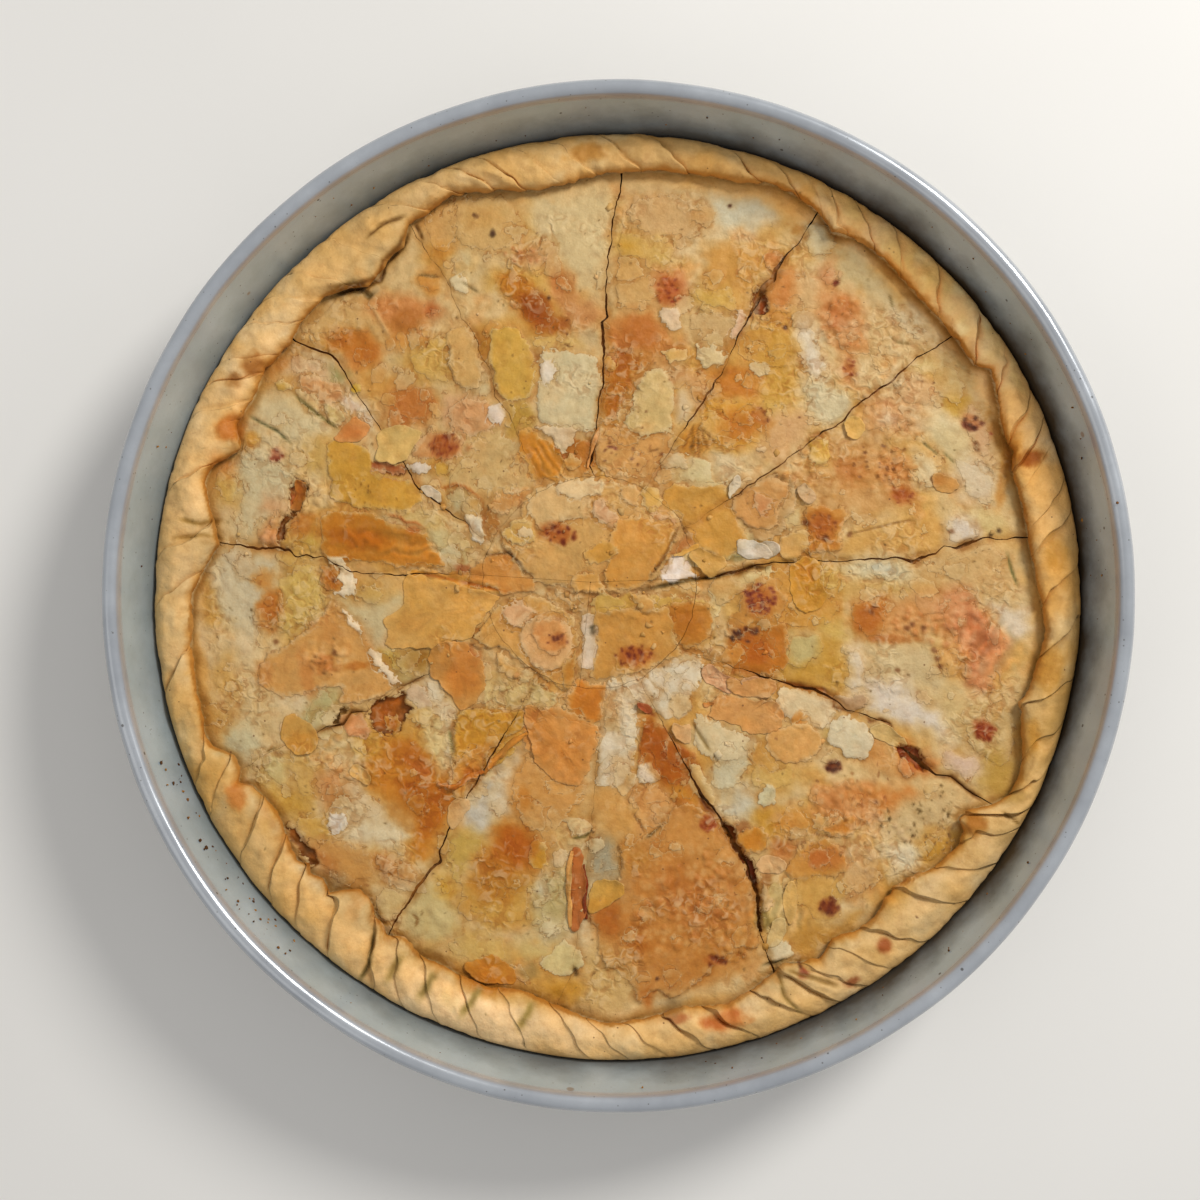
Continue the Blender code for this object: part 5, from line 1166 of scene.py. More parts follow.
# Soft marks on the leaves; those noted below are painted shade: (x, y, half sizes, turn, colour, strength).
BLOTCHES = [
    # left of the middle
    (-128, -5, 5, 9, 0, "b9702a", 0.8), (-130, 5, 5, 4, 0, "c08038", 0.6),
    (-130, -29, 4, 5, 0, "c38a52", 0.6), (-114, -30, 3.5, 10, 10, "c08048", 0.5),
    (-105, -15, 5, 5, 0, "c08a50", 0.6), (-95, -26.5, 6, 1.6, 5, "b8722c", 0.7),
    (-75, -11, 6, 5, 0, "c98f58", 0.6), (-58, -1, 6, 3, 0, "bf7f38", 0.6),
    (-57, -31, 7, 7, 0, "b55c1c", 0.75), (-55, -23, 5, 4, 0, "b8602a", 0.6),
    (-95, 20, 12, 4, -8, "b26a18", 0.75), (-116, 26, 5, 5, 0, "b9773a", 0.6),
    (-117, -54, 5, 4, 0, "b5752c", 0.6), (-76, -58, 7, 4, -20, "b56c28", 0.6),
    (-126, 51, 3, 3, 0, "b5604a", 0.5), (-64, 54, 6, 5, 0, "b06a38", 0.6), (-57, 9, 3, 2, 0, "9a4a24", 0.6),
    (-75, 23.3, 3, 2, 0, "b0602c", 0.6),
    # right of the middle
    (104, 36.5, 5, 4.5, 0, "c07a3c", 0.7), (104, 36.5, 2.6, 2.3, 0, "a2501f", 0.7),
    (118, 42, 2.6, 2.4, 0, "b5632c", 0.7), (74, 27, 6, 5, 0, "b5702c", 0.75),
    (85, 46, 6, 5, 0, "b5743c", 0.6), (69, 8, 4, 4, 0, "b9681f", 0.7), (92, -9, 6, 6, 0, "b36a28", 0.7),
    (101, -16.8, 12, 1.8, 0, "b06a32", 0.7), (137, -18, 4, 4, 0, "b5663f", 0.2),
    (51, -21, 6, 5, 0, "b5651f", 0.7), (143, 45, 2.6, 15, -12, "b9772c", 0.5),
    # Both marks here are painted shade: olive brown under a leaf's edge and grey-olive beside a flake.
    (66, 12, 6, 1.6, 0, "a07a3a", 0.6), (44, 13, 4.5, 1.6, 0, "7f7a58", 0.5),
    (52, -3, 6, 5, 0, "b0602c", 0.5),
    # near side
    (-34, -75, 4, 5, 0, "c08038", 0.7), (-38, -91, 8, 8, 0, "b5661c", 0.8),
    # Both marks here are painted shade, grey and brownish grey.
    (20, -150, 4, 3, 0, "9a8468", 0.6), (-32, -138, 4, 3, 0, "a08458", 0.6),
    (45, -85.5, 3, 2.5, 0, "8a3c14", 0.4), (54, -104, 2.5, 3, 0, "8a4418", 0.4),
    (33, -84, 3, 3, 0, "9a4020", 0.5), (-53, -66, 3.5, 3.5, 0, "b5651c", 0.7),
    (18, -60, 8, 9, 20, "ab5e16", 0.75), (22, -108, 10, 10, 0, "b9783a", 0.5),
    (-46, -105, 10, 9, 0, "b4762a", 0.6), (-20, -50, 9, 4, -35, "c0a276", 0.5),
    # far side
    (19, 111, 4, 5, 0, "b8622e", 0.65), (8, 97, 9, 6, 0, "b97338", 0.65),
    (-31, 106, 8, 6, -30, "9f5314", 0.8), (-24, 99, 6, 4, 0, "a55a1c", 0.7),
    (46, 62, 10, 5, 0, "ba782a", 0.6), (60, 112, 5, 6, 0, "c38245", 0.5), (-98, 59.6, 4, 3, 0, "b55a24", 0.6),
    (-97, 93, 10, 6, 0, "b9762f", 0.7), (-78, 100, 7, 5, 0, "ae6e32", 0.7),
    (-135, 57, 3, 3, 0, "c9923c", 0.6), (-125, 84, 5, 3, 40, "b97c3c", 0.6),
    (-50, 139, 8, 5, 0, "c69a5c", 0.5), (85, 98, 5, 6, 0, "d0b08a", 0.4), (84, 105, 7, 5, 0, "b9743a", 0.5),
    (130, 63, 4, 3, 0, "b5663a", 0.5),
    # lower left and lower right
    # The grey-brown mark at (-104, -105) is painted shade.
    (-104, -105, 5, 4, 0, "9a8060", 0.5), (-68, -132, 7, 2.5, -20, "8a6030", 0.5),
    (-75, -80, 10, 7, 0, "b7752b", 0.6), (79, -63.6, 3.4, 2.4, 0, "5c1e16", 0.75),
    (77, -115, 3.8, 2.9, 0, "6a2016", 0.75), (134, -50, 4, 4, 0, "9a3a1c", 0.7),
    # The olive mark at (53, -120) is painted shade between folds.
    (53, -120, 4, 4, 0, "8a7038", 0.5), (78, -97, 6, 5, 0, "b9703a", 0.5), (90, -73, 8, 4, 0, "c48444", 0.5),
    # the round
    (-22, 22, 6, 4, -15, "b0602c", 0.6), (6, -23, 6, 4, 0, "b0602c", 0.6), (25, -10, 5, 6, 0, "b9762c", 0.6),
]

# Holes through the top leaf: (colour, depth, outline).
HOLLOWS = [
    ("a8621f", 1.6, [(-90.4, -40.8), (-88, -39.2), (-81.6, -38.4), (-78.4, -35.2), (-77.6, -40),
        (-75.2, -41.6), (-76.8, -44), (-79.2, -46.4), (-80.8, -51.2), (-84.8, -52), (-88.8, -50.4),
        (-89.6, -47.2), (-91.2, -44.8)]),
    ("8a6a38", 1.4, [(-106, -47), (-104, -44), (-101, -41), (-99, -43), (-102, -46), (-104, -48)]),
    ("a8602a", 1.0, [(-119, 42), (-114, 42), (-115, 35), (-117, 30), (-122, 26), (-124, 18), (-126, 19),
        (-123, 27), (-120, 31), (-121, 35)]),
    ("a35a28", 1.0, [(-90, 48), (-84, 47), (-77, 44), (-80, 43), (-86, 44)]),
    ("8f4a1c", 2.0, [(50, 110), (52, 113), (56, 109.6), (56, 104), (54, 102.4), (50, 104)]),
    ("9a3f14", 2.0, [(100, -54), (106, -56), (111, -59), (114, -63), (111, -64), (106, -61), (101, -58)]),
    ("7a3214", 2.4, [(38, -83), (42, -84.5), (44, -92), (48, -97), (51, -103), (52.5, -110), (52.4, -117),
        (53, -124), (51, -124), (50, -117), (50, -110), (47.5, -103), (45, -97), (41, -92), (41, -87),
        (38, -85)]),
    ("9a6030", 1.2, [(-122, -84), (-119, -85), (-114, -91), (-109, -98), (-111, -100), (-117, -94),
        (-121, -88)]),
]

# Cracks and creases: (path, width, depth, colour); dark ones mostly painted shade, pale ridges painted
# highlights.
GROOVES = [
    ([(-136, 65.6), (-131.2, 62.8), (-125.6, 60), (-120.8, 55.6)], 0.8, 1.0, "5a5236"),
    ([(-119, 73), (-110, 65.5), (-103, 60.6)], 0.8, 0.8, "7a6a3a"),
    # A pale fold ridge, painted as a highlight.
    ([(-91, 107), (-84, 94.5)], 1.0, -0.5, "cfae7c"),
    ([(-105, 110), (-101, 112), (-97, 114), (-95, 113), (-92, 110), (-89, 112)], 1.6, 1.4, "6a5030"),
    ([(-75, 137), (-72, 131)], 0.9, 1.2, CREVICE_SHADE), ([(-57.6, 115.2), (-51.2, 111.2)], 0.7, 0.6, "7a6040"),
    ([(-74.4, 118), (-65.6, 117.2)], 0.7, 0.6, "7a6040"),
    ([(-117.6, 36), (-120, 28), (-123.2, 26.4), (-124, 22.4), (-124.8, 17.6)], 1.1, 0.9, "8a5a2c"),
    ([(-72, 7.2), (-59, 4.8)], 0.8, 0.5, "b5641c"), ([(-60, 4.8), (-40, 0.4)], 0.8, 0.5, "b5641c"),
    ([(-85, 29), (-80, 28), (-78, 26), (-74, 26), (-71, 24)], 0.9, -0.5, "b0602c"),
    ([(-65.6, 38), (-60, 40), (-56, 39), (-52, 36), (-49.6, 33.6)], 0.9, -0.5, "b0642c"),
    ([(-80, -34.4), (-70.4, -30.4)], 0.8, 0.7, "7a4a28"), ([(-129, -58), (-125, -56.5)], 0.8, 0.6, "7a5a30"),
    ([(-110.4, -50.8), (-100.8, -47.6), (-97.6, -43.2), (-92, -43.2)], 0.9, 0.9, "7a4a28"),
    ([(-62, -50), (-60, -59)], 1.0, 0.6, "8f8458"),
    ([(-49, 14), (-40, 15), (-36, 11), (-34, 7)], 0.8, 0.7, CREVICE_SHADE),
    ([(9, 1), (18, 3), (27, 5), (36, 6), (40, 7.2), (44.8, 8), (49.6, 10), (54.4, 9.2), (57.2, 11.6)], 1.1,
        1.6, "4a3018"),
    ([(22, 24), (18, 15), (12, 6)], 0.8, 0.7, "7a4a20"),
    ([(84.8, 21.6), (89.6, 22.8), (96, 24.4), (102.4, 26), (109.6, 27.2)], 0.6, 0.5, "8a5a30"),
    ([(112, 56), (118, 51)], 0.7, 0.6, "7a6a44"), ([(120, 52), (124, 48)], 0.6, 0.5, "7a6a44"),
    ([(143.2, 15.2), (144.8, 8.8), (147.2, 2.4)], 0.7, 0.7, "6a6238"),
    ([(59.2, -32.4), (63, -33), (69.6, -34.8), (75.2, -35.2), (77.6, -37.6)], 1.2, 1.0, "9a4a1c"),
    ([(79.2, -38), (79.2, -42), (84, -42.8)], 0.8, 0.7, "8a5028"),
    ([(91.2, -44.8), (92.8, -47.2), (96, -46), (99.2, -47.6), (100.8, -49.6)], 0.8, 0.8, "8a5028"),
    ([(116.8, -67.2), (122.4, -67.2), (128, -72), (133.6, -76)], 1.0, 1.2, "5a2a10"),
    ([(70, -87.5), (80, -89.5)], 0.6, 0.5, "9a6434"),
    ([(-26, -53), (-20, -60), (-14, -68)], 1.0, 0.4, "a8682a"),
    # A bright curled ridge, painted lighter as a highlight.
    ([(-34, -50.5), (-40, -54), (-46, -61), (-49, -66)], 1.2, -0.7, "d0a050"),
    ([(7, -40), (10, -43), (14, -45)], 0.9, 0.6, "8a3a18"),
    ([(27, -47), (30, -52), (34, -58)], 0.9, 0.7, "8a6a40"), ([(-20, 92), (-17.6, 91.2)], 0.6, 0.5, "7a4a28"),
    ([(11, 52), (15, 53)], 0.6, 0.5, "7a4a28"), ([(-4, 54), (-2, 54), (0, 53)], 0.7, 0.5, "7a3038"),
    ([(100.4, 110.4), (101.6, 105.6)], 0.7, 0.5, "8a7048"),
    ([(99.2, 96), (103.2, 92.8), (108.8, 92)], 0.7, 0.5, "8a6a40"),
    ([(28, 62), (24, 53)], 0.6, 0.4, "8a5a28"), ([(28, 62), (27, 51)], 0.6, 0.4, "8a5a28"),
    ([(29, 62), (30, 51)], 0.6, 0.4, "8a5a28"), ([(30, 62), (33, 53)], 0.6, 0.4, "8a5a28"),
    ([(30, 62), (36, 55)], 0.6, 0.4, "8a5a28"), ([(-75, -117), (-73, -119), (-74, -122)], 0.7, 0.5, "8a5a30"),
    ([(-17, -89.6), (-12, -89), (-10, -87)], 0.7, 0.7, "6a5a30"),
    ([(10, -89.4), (13, -87.4), (16, -84.6)], 0.8, 0.8, "6a4a28"),
    ([(5, -79.5), (8, -84), (10, -88)], 0.5, 0.4, "8a5a30"),
    ([(33, -132), (35, -133), (38, -135)], 1.2, 0.6, "7a3018"),
    ([(-16, -136.6), (-15, -140)], 1.2, 1.0, "4a2a14"),
    ([(30.4, -74), (32, -78), (36, -81)], 1.6, 1.2, "6a2a14"),
    ([(53, -136), (57, -135), (61, -133.6)], 0.9, 1.0, "3a2a14"),
    ([(-31, -52), (-22, -59), (-13, -64)], 0.9, 0.5, "b0702c"),
    # slits and pinches in the rope
    ([(-94, -141), (-90, -134), (-88, -122)], 1.2, 2.6, "5a4422"),
    ([(139, -79), (146, -84)], 0.8, 1.2, "7a5020"), ([(-57, -153), (-49, -142)], 2.2, 1.2, "9a8048"),
    ([(-72, -147), (-66, -137)], 2.4, 1.2, "8f7442"), ([(-84, -141), (-78, -131)], 2.4, 1.0, "9a7c46"),
    ([(-36, -158), (-30, -147)], 2.2, 0.9, "a08448"),
    ([(58, -137), (60, -146), (66, -152)], 1.2, 1.4, "8a6a38"),
    ([(60, -136), (70, -139), (80, -142)], 1.2, 1.2, "8a6434"),
    ([(-92, 130), (-86, 135), (-78, 138)], 1.2, 1.4, CREVICE_SHADE),
    ([(-106, 112), (-96, 113), (-88, 116), (-86, 122), (-80, 128), (-77, 135)], 1.2, 1.6, CREVICE_SHADE),
    ([(-162, 20), (-150, 21), (-146, 20)], 1.2, 1.2, "a07840"),
    ([(-160, 27), (-152, 25), (-146, 27)], 1.2, 1.0, "a07840"),
]

# Wrinkled places: (x, y, half sizes, turn, step, height).
WRINKLES = [
    (-25, 50, 9, 8, -50, 2.8, 0.2), (30, 56, 7, 6, 80, 2.4, 0.25), (-62, 4, 24, 5, -12, 3.1, 0.2),
    (-20, -58, 12, 10, -48, 5.5, 0.25), (-82, 18, 22, 6, -10, 5.5, 0.15), (58, -118, 7, 14, 82, 4.0, 0.3),
    (135, -18, 12, 16, 60, 6.0, 0.2),
]

# Bubbled places: (x, y, half sizes, count, size, colour).
BLISTERS = [
    (-107, -24, 8, 6, 26, 1.1, "d0a06a"), (-128, 22, 4, 5, 9, 1.5, "cb9a72"),
    (84, 100, 9, 11, 40, 1.2, "c98d58"), (83, -77, 15, 9, 70, 1.2, "cb955e"),
    (98, 60, 14, 10, 24, 1.3, "c4945e"), (19, 112, 5, 6, 14, 1.2, "b8683a"),
    (112, -12, 12, 6, 30, 1.2, "c3824e"), (25, -112, 20, 18, 50, 1.5, "be7e42"),
    (-34, 125, 8, 4, 14, 1.2, "bf7d50"), (128, -16, 9, 12, 20, 1.6, "c0805a"),
    (-100, -60, 12, 8, 18, 1.4, TAN), (100, 45, 14, 9, 30, 1.3, "bb8048"), (-63, 54, 9, 6, 20, 1.0, "b06c3c"),
    (66, 46, 10, 6, 16, 1.4, TAN), (96, -92, 12, 12, 40, 1.0, "cdb08a"), (72, 40, 12, 8, 16, 1.5, "c69656"),
    (42, -128, 9, 6, 14, 1.2, "c08848"), (-115, 33, 10, 8, 12, 1.4, SAND),
]

# Scorched specks: (x, y, half sizes, count, size, colour).
SPECKS = [
    (-22, 22, 7, 4, 16, 0.8, "7a2c18"), (6, -23, 7, 4, 20, 0.8, "7a2c1c"), (52, -2, 6, 6, 30, 0.9, "7c2a26"),
    (46, -15, 6, 3, 14, 0.9, "54201a"), (-22, -17, 4, 3, 8, 0.8, "6a2a20"),
    (79, -63, 3, 2, 12, 0.9, "5c1e16"), (77, -114, 4, 3, 14, 0.8, "6a2016"),
    (135, -51, 4, 3, 12, 0.9, "8a3016"), (131, 62, 4, 2, 6, 0.9, "6e2a20"), (86, 83, 3, 4, 8, 0.7, "8a3c20"),
    (-63, 55, 6, 4, 14, 0.7, "7a3420"), (19, 112, 5, 6, 10, 0.7, "8a3c20"), (81, 115, 1, 1, 3, 0.9, "7c3a28"),
    (-46, 133, 1, 1, 3, 0.9, "6a4a34"), (-53, 140, 1, 1, 2, 0.9, "6a3c24"),
    (-126, 51, 2, 2, 6, 0.7, "8c4030"), (106, -84, 10, 8, 24, 0.45, "5c3c20"),
    (116, -78, 8, 8, 18, 0.45, "5c3c20"), (52, 65, 4, 4, 8, 0.6, "8a4a24"), (-9, -13, 1, 1, 3, 0.8, "4a3426"),
    (76, 24, 6, 6, 12, 0.6, "8a4a20"), (36, -134, 5, 2, 8, 0.8, "7a3418"),
    (0, 0, 140, 140, 300, 0.32, "6a4626"), (0, 0, 165, 165, 260, 0.28, "7a5a38"),
    (98, 48, 12, 8, 24, 0.5, "7a4420"), (5, 51, 12, 6, 16, 0.5, "7c4428"), (105, 36, 5, 4, 8, 0.7, "8a3a18"),
    (138, 22, 3, 2, 2, 0.8, "5a3a28"), (-88, 36, 12, 5, 10, 0.35, "8a5a20"),
    (92, -70, 12, 8, 14, 0.5, "8a4a28"), (-64, 54, 5, 4, 16, 0.6, "8a3a24"),
    (-107, -26, 6, 4, 10, 0.5, "8a5a30"), (115, -90, 8, 6, 12, 0.45, "6a4028"),
    (33, -84, 3, 3, 10, 0.7, "9a4020"),
]

# Single dots: (colour, radius, places).
DOTS = [
    ("7a4228", 0.8, [(-104, -22), (-125.6, -18), (-104, 4.8), (-50.8, -1), (-48.4, -1.4), (69, 25.6),
        (68.5, 26), (75.5, 20), (76.5, 20), (85, 21.5), (132, 55), (132.4, 53), (122.6, 22.6), (94, -5),
        (93, -7), (108, -11.5), (106, -13), (112, -13), (116, -21), (117, -24), (118, -27), (102.6, -28.4)]),
    ("6e3a26", 0.8, [(58, -53), (96.5, 48), (-53.4, 140), (-29.7, 133.6), (-18.6, 101), (-18.6, 96), (9, 61),
        (9.6, 57), (10.6, 67), (116.6, 77.8), (112.6, 78.4), (67, 65), (73, -68.6), (83.5, -140.5),
        (86, -143), (107.8, -117)]),
    ("5a2a20", 1.1, [(-46, 133), (-25.4, 109), (41.5, 143.4), (62, 98), (66, -135.4), (14.4, -140.8),
        (128, 64), (130, 62), (132, 64.4), (131.4, 60.8)]),
    ("983424", 0.9, [(19, 109), (21.6, 112), (17, 116), (20, 107.5), (80.6, 114.6), (137.6, 58.8)]),
    ("8a5a38", 0.5, [(6, -133), (4, -131), (8, -134.6), (9, -131.6), (5, -136), (2, -133.4)]),
]


def paint_rope(canvas):
    """Cream dough on the shaded side of the rope, golden on the side that browned."""
    x, y = canvas.x, canvas.y
    radius, angle = np.hypot(x, y), np.degrees(np.arctan2(y, x)) % 360
    rope = smooth_step(150, 156, radius)
    side = np.interp(angle, [0, 30, 60, 75, 110, 150, 180, 205, 230, 250, 270, 285, 320, 345, 360],
                     [0.6, 0.3, 0.5, 0.5, 0.4, 0.25, 0.2, 0.5, 0.25, 0.0, 0.2, 0.3, 0.2, 0.5, 0.6])
    tone = mixed(plain("d3b98d", *x.shape), rgb("d8a558"), np.clip(side + 0.35 * rough(x, y, 14, 21), 0, 1))
    tone = mixed(tone, rgb("dac69c"), 0.5 * smooth_step(0.1, 0.7, rough(x, y, 11, 22)))
    # lit scales the rope's tone by angle: painted light and shade that even out how the rope is lit.
    lit = np.interp(
        angle, [0, 15, 30, 58, 72, 95, 115, 135, 150, 175, 200, 230, 250, 272, 300, 330, 345, 360],
        [1.0, 1.05, 1.1, 1.1, 1.0, 0.99, 0.96, 0.98, 1.04, 1.0, 0.94, 1.02, 1.09, 1.0, 0.98, 0.95, 0.9, 1.0])
    tone = tone * (1.03 * lit + 0.05 * rough(x, y, 6, 23))[..., None]
    canvas.under[:] = canvas.over[:] = mixed(canvas.under, tone, rope)


# Toasted spots on the rope: (angle, radius, half sizes along and across, colour, strength).
ROPE_STAINS = [
    (284, 159, 9, 4, "b8622a", 0.8), (208, 157, 6, 4, "c07838", 0.7), (157, 154, 6, 5, "c07430", 0.8),
    (94, 162, 9, 4, "bd8038", 0.6), (148, 157, 5, 4, "a8652c", 0.7), (151, 160, 3, 3, "9a5a28", 0.6),
    (327, 154, 5, 4, "b0702c", 0.8), (307, 160, 3, 3, "9a4420", 0.7), (301, 164, 3, 2, "8a3a20", 0.6),
    (296, 153, 2, 2, "8a2a18", 0.7), (60, 150, 14, 3, "b5742c", 0.5), (18, 158, 3, 6, "a8581c", 0.8),
    (278, 155, 4, 2, "a04a28", 0.6), (145, 150, 12, 4, "c08a50", 0.4), (250, 150, 9, 4, "b07028", 0.6),
    (340, 157, 8, 5, "c28a38", 0.6), (350, 160, 10, 5, "c08a3c", 0.6), (5, 160, 8, 4, "c08a3c", 0.5),
    (200, 154, 10, 3, "c49048", 0.5), (190, 156, 14, 3, "cc9a50", 0.5), (22, 152, 12, 3, "b87a30", 0.6),
]


def paint_canvas():
    """The whole canvas, painted from the dough up to the specks."""
    canvas = Canvas()
    paint_base(canvas)
    paint_rope(canvas)
    for angle, radius, along, across, colour, strength in ROPE_STAINS:
        x, y = polar(radius, angle)
        canvas.stain(x, y, along, across, angle + 90, colour, strength)
    for wash in WASHES:
        canvas.wash(*wash)
    for sheet in SHEETS:
        canvas.sheet(*sheet)
    scatter_small_sheets(canvas)
    for hollow in HOLLOWS:
        canvas.hollow(*hollow)
    for colour, rise, outline in LEAVES:
        if rise < RAISED:
            canvas.sheet(colour, rise, outline, ragged=0.8, lift=0.35, cover=0.92)
    for blotch in BLOTCHES:
        canvas.stain(*blotch)
    for patch in WRINKLES:
        canvas.wrinkles(*patch)
    raise_bubbles(canvas)
    for k, patch in enumerate(BLISTERS):
        canvas.blisters(*patch, seed=100 + k)
    for path, width, depth, colour in GROOVES:
        canvas.groove(path, width, depth, colour)
    for k, patch in enumerate(SPECKS):
        canvas.specks(*patch, seed=300 + k)
    for k, (colour, size, places) in enumerate(DOTS):
        for x, y in places:
            canvas.specks(x, y, 0.2, 0.2, 1, size, colour, seed=400 + k)
    paint_cuts(canvas)
    paint_under_rope(canvas)
    canvas.seen = canvas.visible()
    canvas.drape = softened(canvas.relief)
    return canvas


def raise_bubbles(canvas):
    """Fine bubbles, boldest where the dough blistered, with painted shade in the creases between them."""
    mask = 0.1 + 0.3 * smooth_step(-0.1, 0.6, rough(canvas.x, canvas.y, 22, 12))
    for x, y, rx, ry, *_ in BLISTERS:
        part = canvas.window([x], [y], 2 * max(rx, ry))
        px, py = canvas.x[part], canvas.y[part]
        reach = np.hypot((px - x) / rx, (py - y) / ry) + 0.4 * rough(px, py, 8, 13)
        mask[part] = np.maximum(mask[part], smooth_step(1.7, 0.7, reach))
    mask = mask * smooth_step(157, 150, np.hypot(canvas.x, canvas.y))
    dome = 0.0
    bent = [line + 0.5 * rough(canvas.x, canvas.y, 3, 14 + j)
            for j, line in enumerate((canvas.x, canvas.y))]
    for k, weight in ((1, 0.35), (2, 0.5), (0, 0.35)):
        middles = canvas.cells[k]
        reach = np.hypot(middles[0] - bent[0], middles[1] - bent[1]) / (0.62 * CELL_SIZES[k])
        dome = dome + weight * np.clip(1 - reach**2, -0.6, 1)
    canvas.relief += 0.38 * mask * dome
    # Painted shade in the creases and painted highlights on the bubbles' tops.
    canvas.tint(np.s_[:], "96561f", 0.26 * mask * smooth_step(0.45, -0.3, dome))
    canvas.tint(np.s_[:], "e2cca4", 0.28 * mask * smooth_step(0.5, 1.05, dome))


def scatter_small_sheets(canvas):
    """Small scraps of leaf all over, thickest round the middle."""
    rng = np.random.default_rng(5)
    tones = [WHITE, PALE, CREAM, GOLD, TAN, AMBER]
    for k in range(760):
        angle = rng.uniform(0, 360)
        if k % 3:
            x, y = polar(abs(rng.normal(0, 52)) + 4, angle, ROUND_CENTRE)
        else:
            x, y = polar(147 * rng.random() ** 0.5, angle)
        if math.hypot(x, y) > 148:
            continue
        size = rng.uniform(0.9, 4.0) if k % 5 else rng.uniform(4, 7)
        count = 7
        lean, slim = rng.uniform(0, math.pi), rng.uniform(0.45, 1.0)
        outline = []
        for corner in range(count):
            reach = size * rng.uniform(0.6, 1.3)
            turn = math.radians(360 * corner / count + rng.uniform(-18, 18))
            along, across = reach * math.cos(turn), slim * reach * math.sin(turn)
            outline.append((x + along * math.cos(lean) - across * math.sin(lean),
                            y + along * math.sin(lean) + across * math.cos(lean)))
        here = canvas.sample(canvas.under, np.array(x), np.array(y))
        other = rgb(tones[rng.integers(len(tones))])
        blend = np.clip(here + (other - here) * rng.uniform(0.1, 0.5), 0, 1)
        code = "".join(f"{int(255 * value):02x}" for value in blend)
        canvas.sheet(code, rng.uniform(-0.1, 0.3), outline, ragged=0.8, lift=0.1, cover=0.55)


def paint_cuts(canvas):
    """Each cut's lips turn down a little and are tinted brown: browned dough and painted shade."""
    for index, cut in enumerate(CUTS):
        inward = np.linspace(0, 1, 60)
        path, _ = cut_line(cut, inward)
        part = canvas.window(path[:, 0], path[:, 1], 4)
        x, y = canvas.x[part], canvas.y[part]
        distance, share = path_distance(x, y, path)
        lip = np.interp(share, inward, cut_half_width(index, inward, 0))
        near = smooth_step(2.6, 0.0, distance - lip + 0.6 * rough(x, y, 3, 80 + index))
        patchy = 0.35 + 0.6 * rough(x, y, 7, 70 + index) + 0.5 * smooth_step(0.2, 0.7, lip)
        canvas.relief[part] -= 0.6 * near**1.5 * np.clip(patchy, 0, 1)
        # The brown along the cut is partly browned dough and partly painted shade.
        canvas.tint(part, "965c26", np.clip(0.6 * near * patchy, 0, 1))


def paint_under_rope(canvas):
    """The top just inside the rope's lip is tinted brown: partly oil, partly painted shade under the lip."""
    radius = np.hypot(canvas.x, canvas.y)
    angle = np.degrees(np.arctan2(canvas.y, canvas.x)) % 360
    lip = PIE_RADIUS - lip_reach(angle)
    depth = np.interp(angle, [0, 10, 31, 35, 60, 75, 100, 150, 180, 186, 270, 285, 330, 345, 360],
                      [0.6, 0.9, 0.9, 0.95, 0.9, 0.3, 0.35, 0.6, 0.9, 0.7, 0.8, 0.5, 0.6, 0.4, 0.6])
    ragged = 1.6 * rough(canvas.x, canvas.y, 8, 90)
    near = smooth_step(-3.6, 0.5, radius - lip + ragged)
    inside = radius < SLICES_END + 1
    # Brown just inside the lip: partly oil, partly painted shade.
    canvas.tint(np.s_[:], "9a6024", np.where(inside & (radius < lip + 0.5), 0.7 * near * depth, 0))


# ---------------------------------------------------------------- meshes


def make_piece(name, points, faces, finish, paint=None, edge=None, over=None, rim=None):
    """A mesh object from points in millimetres and lists of equal-sided faces, with its painted values."""
    mesh = bpy.data.meshes.new(name)
    points = np.asarray(points, np.float32) / 1000
    loops = np.concatenate([np.asarray(group, np.int32).ravel() for group in faces])
    sizes = np.concatenate([np.full(len(group), np.shape(group)[1], np.int32) for group in faces])
    mesh.vertices.add(len(points))
    mesh.vertices.foreach_set("co", points.ravel())
    mesh.loops.add(len(loops))
    mesh.loops.foreach_set("vertex_index", loops)
    mesh.polygons.add(len(sizes))
    mesh.polygons.foreach_set("loop_start", np.concatenate([[0], np.cumsum(sizes)[:-1]]).astype(np.int32))
    mesh.polygons.foreach_set("use_smooth", np.full(len(sizes), True))
    for attribute, values in (("paint", paint), ("leaf", paint if over is None else over)):
        if paint is not None:
            colours = np.ones((len(points), 4), np.float32)
            colours[:, :3] = np.clip(STRENGTH * linear(np.clip(values, 0, 1)) ** CONTRAST, 0.002, 1)
            mesh.attributes.new(attribute, "FLOAT_COLOR", "POINT").data.foreach_set("color", colours.ravel())
    if edge is not None:
        mesh.attributes.new("edge", "FLOAT", "POINT").data.foreach_set("value", np.asarray(edge, np.float32))
    if rim is not None:
        on_rim = np.zeros(len(points), bool)
        on_rim[rim] = True
        mesh.update(calc_edges=True)
        ends = np.empty(2 * len(mesh.edges), np.int32)
        mesh.edges.foreach_get("vertices", ends)
        sharp = on_rim[ends.reshape(-1, 2)].all(1)
        mesh.attributes.new("sharp_edge", "BOOLEAN", "EDGE").data.foreach_set("value", sharp)
    mesh.materials.append(finish)
    mesh.validate()
    mesh.update()
    piece = bpy.data.objects.new(name, mesh)
    bpy.context.scene.collection.objects.link(piece)
    return piece


def grid_faces(rows, columns, start=0, wrap=False):
    """Quads of a grid of points, facing up when rows run away from the viewer and columns to the right."""
    i = np.arange(rows - 1)[:, None]
    j = np.arange(columns if wrap else columns - 1)[None, :]
    after = (j + 1) % columns
    corners = [i * columns + j, i * columns + after, (i + 1) * columns + after, (i + 1) * columns + j]
    corners = [np.broadcast_to(corner, (rows - 1, j.shape[1])) for corner in corners]
    return start + np.stack(corners, -1).reshape(-1, 4)


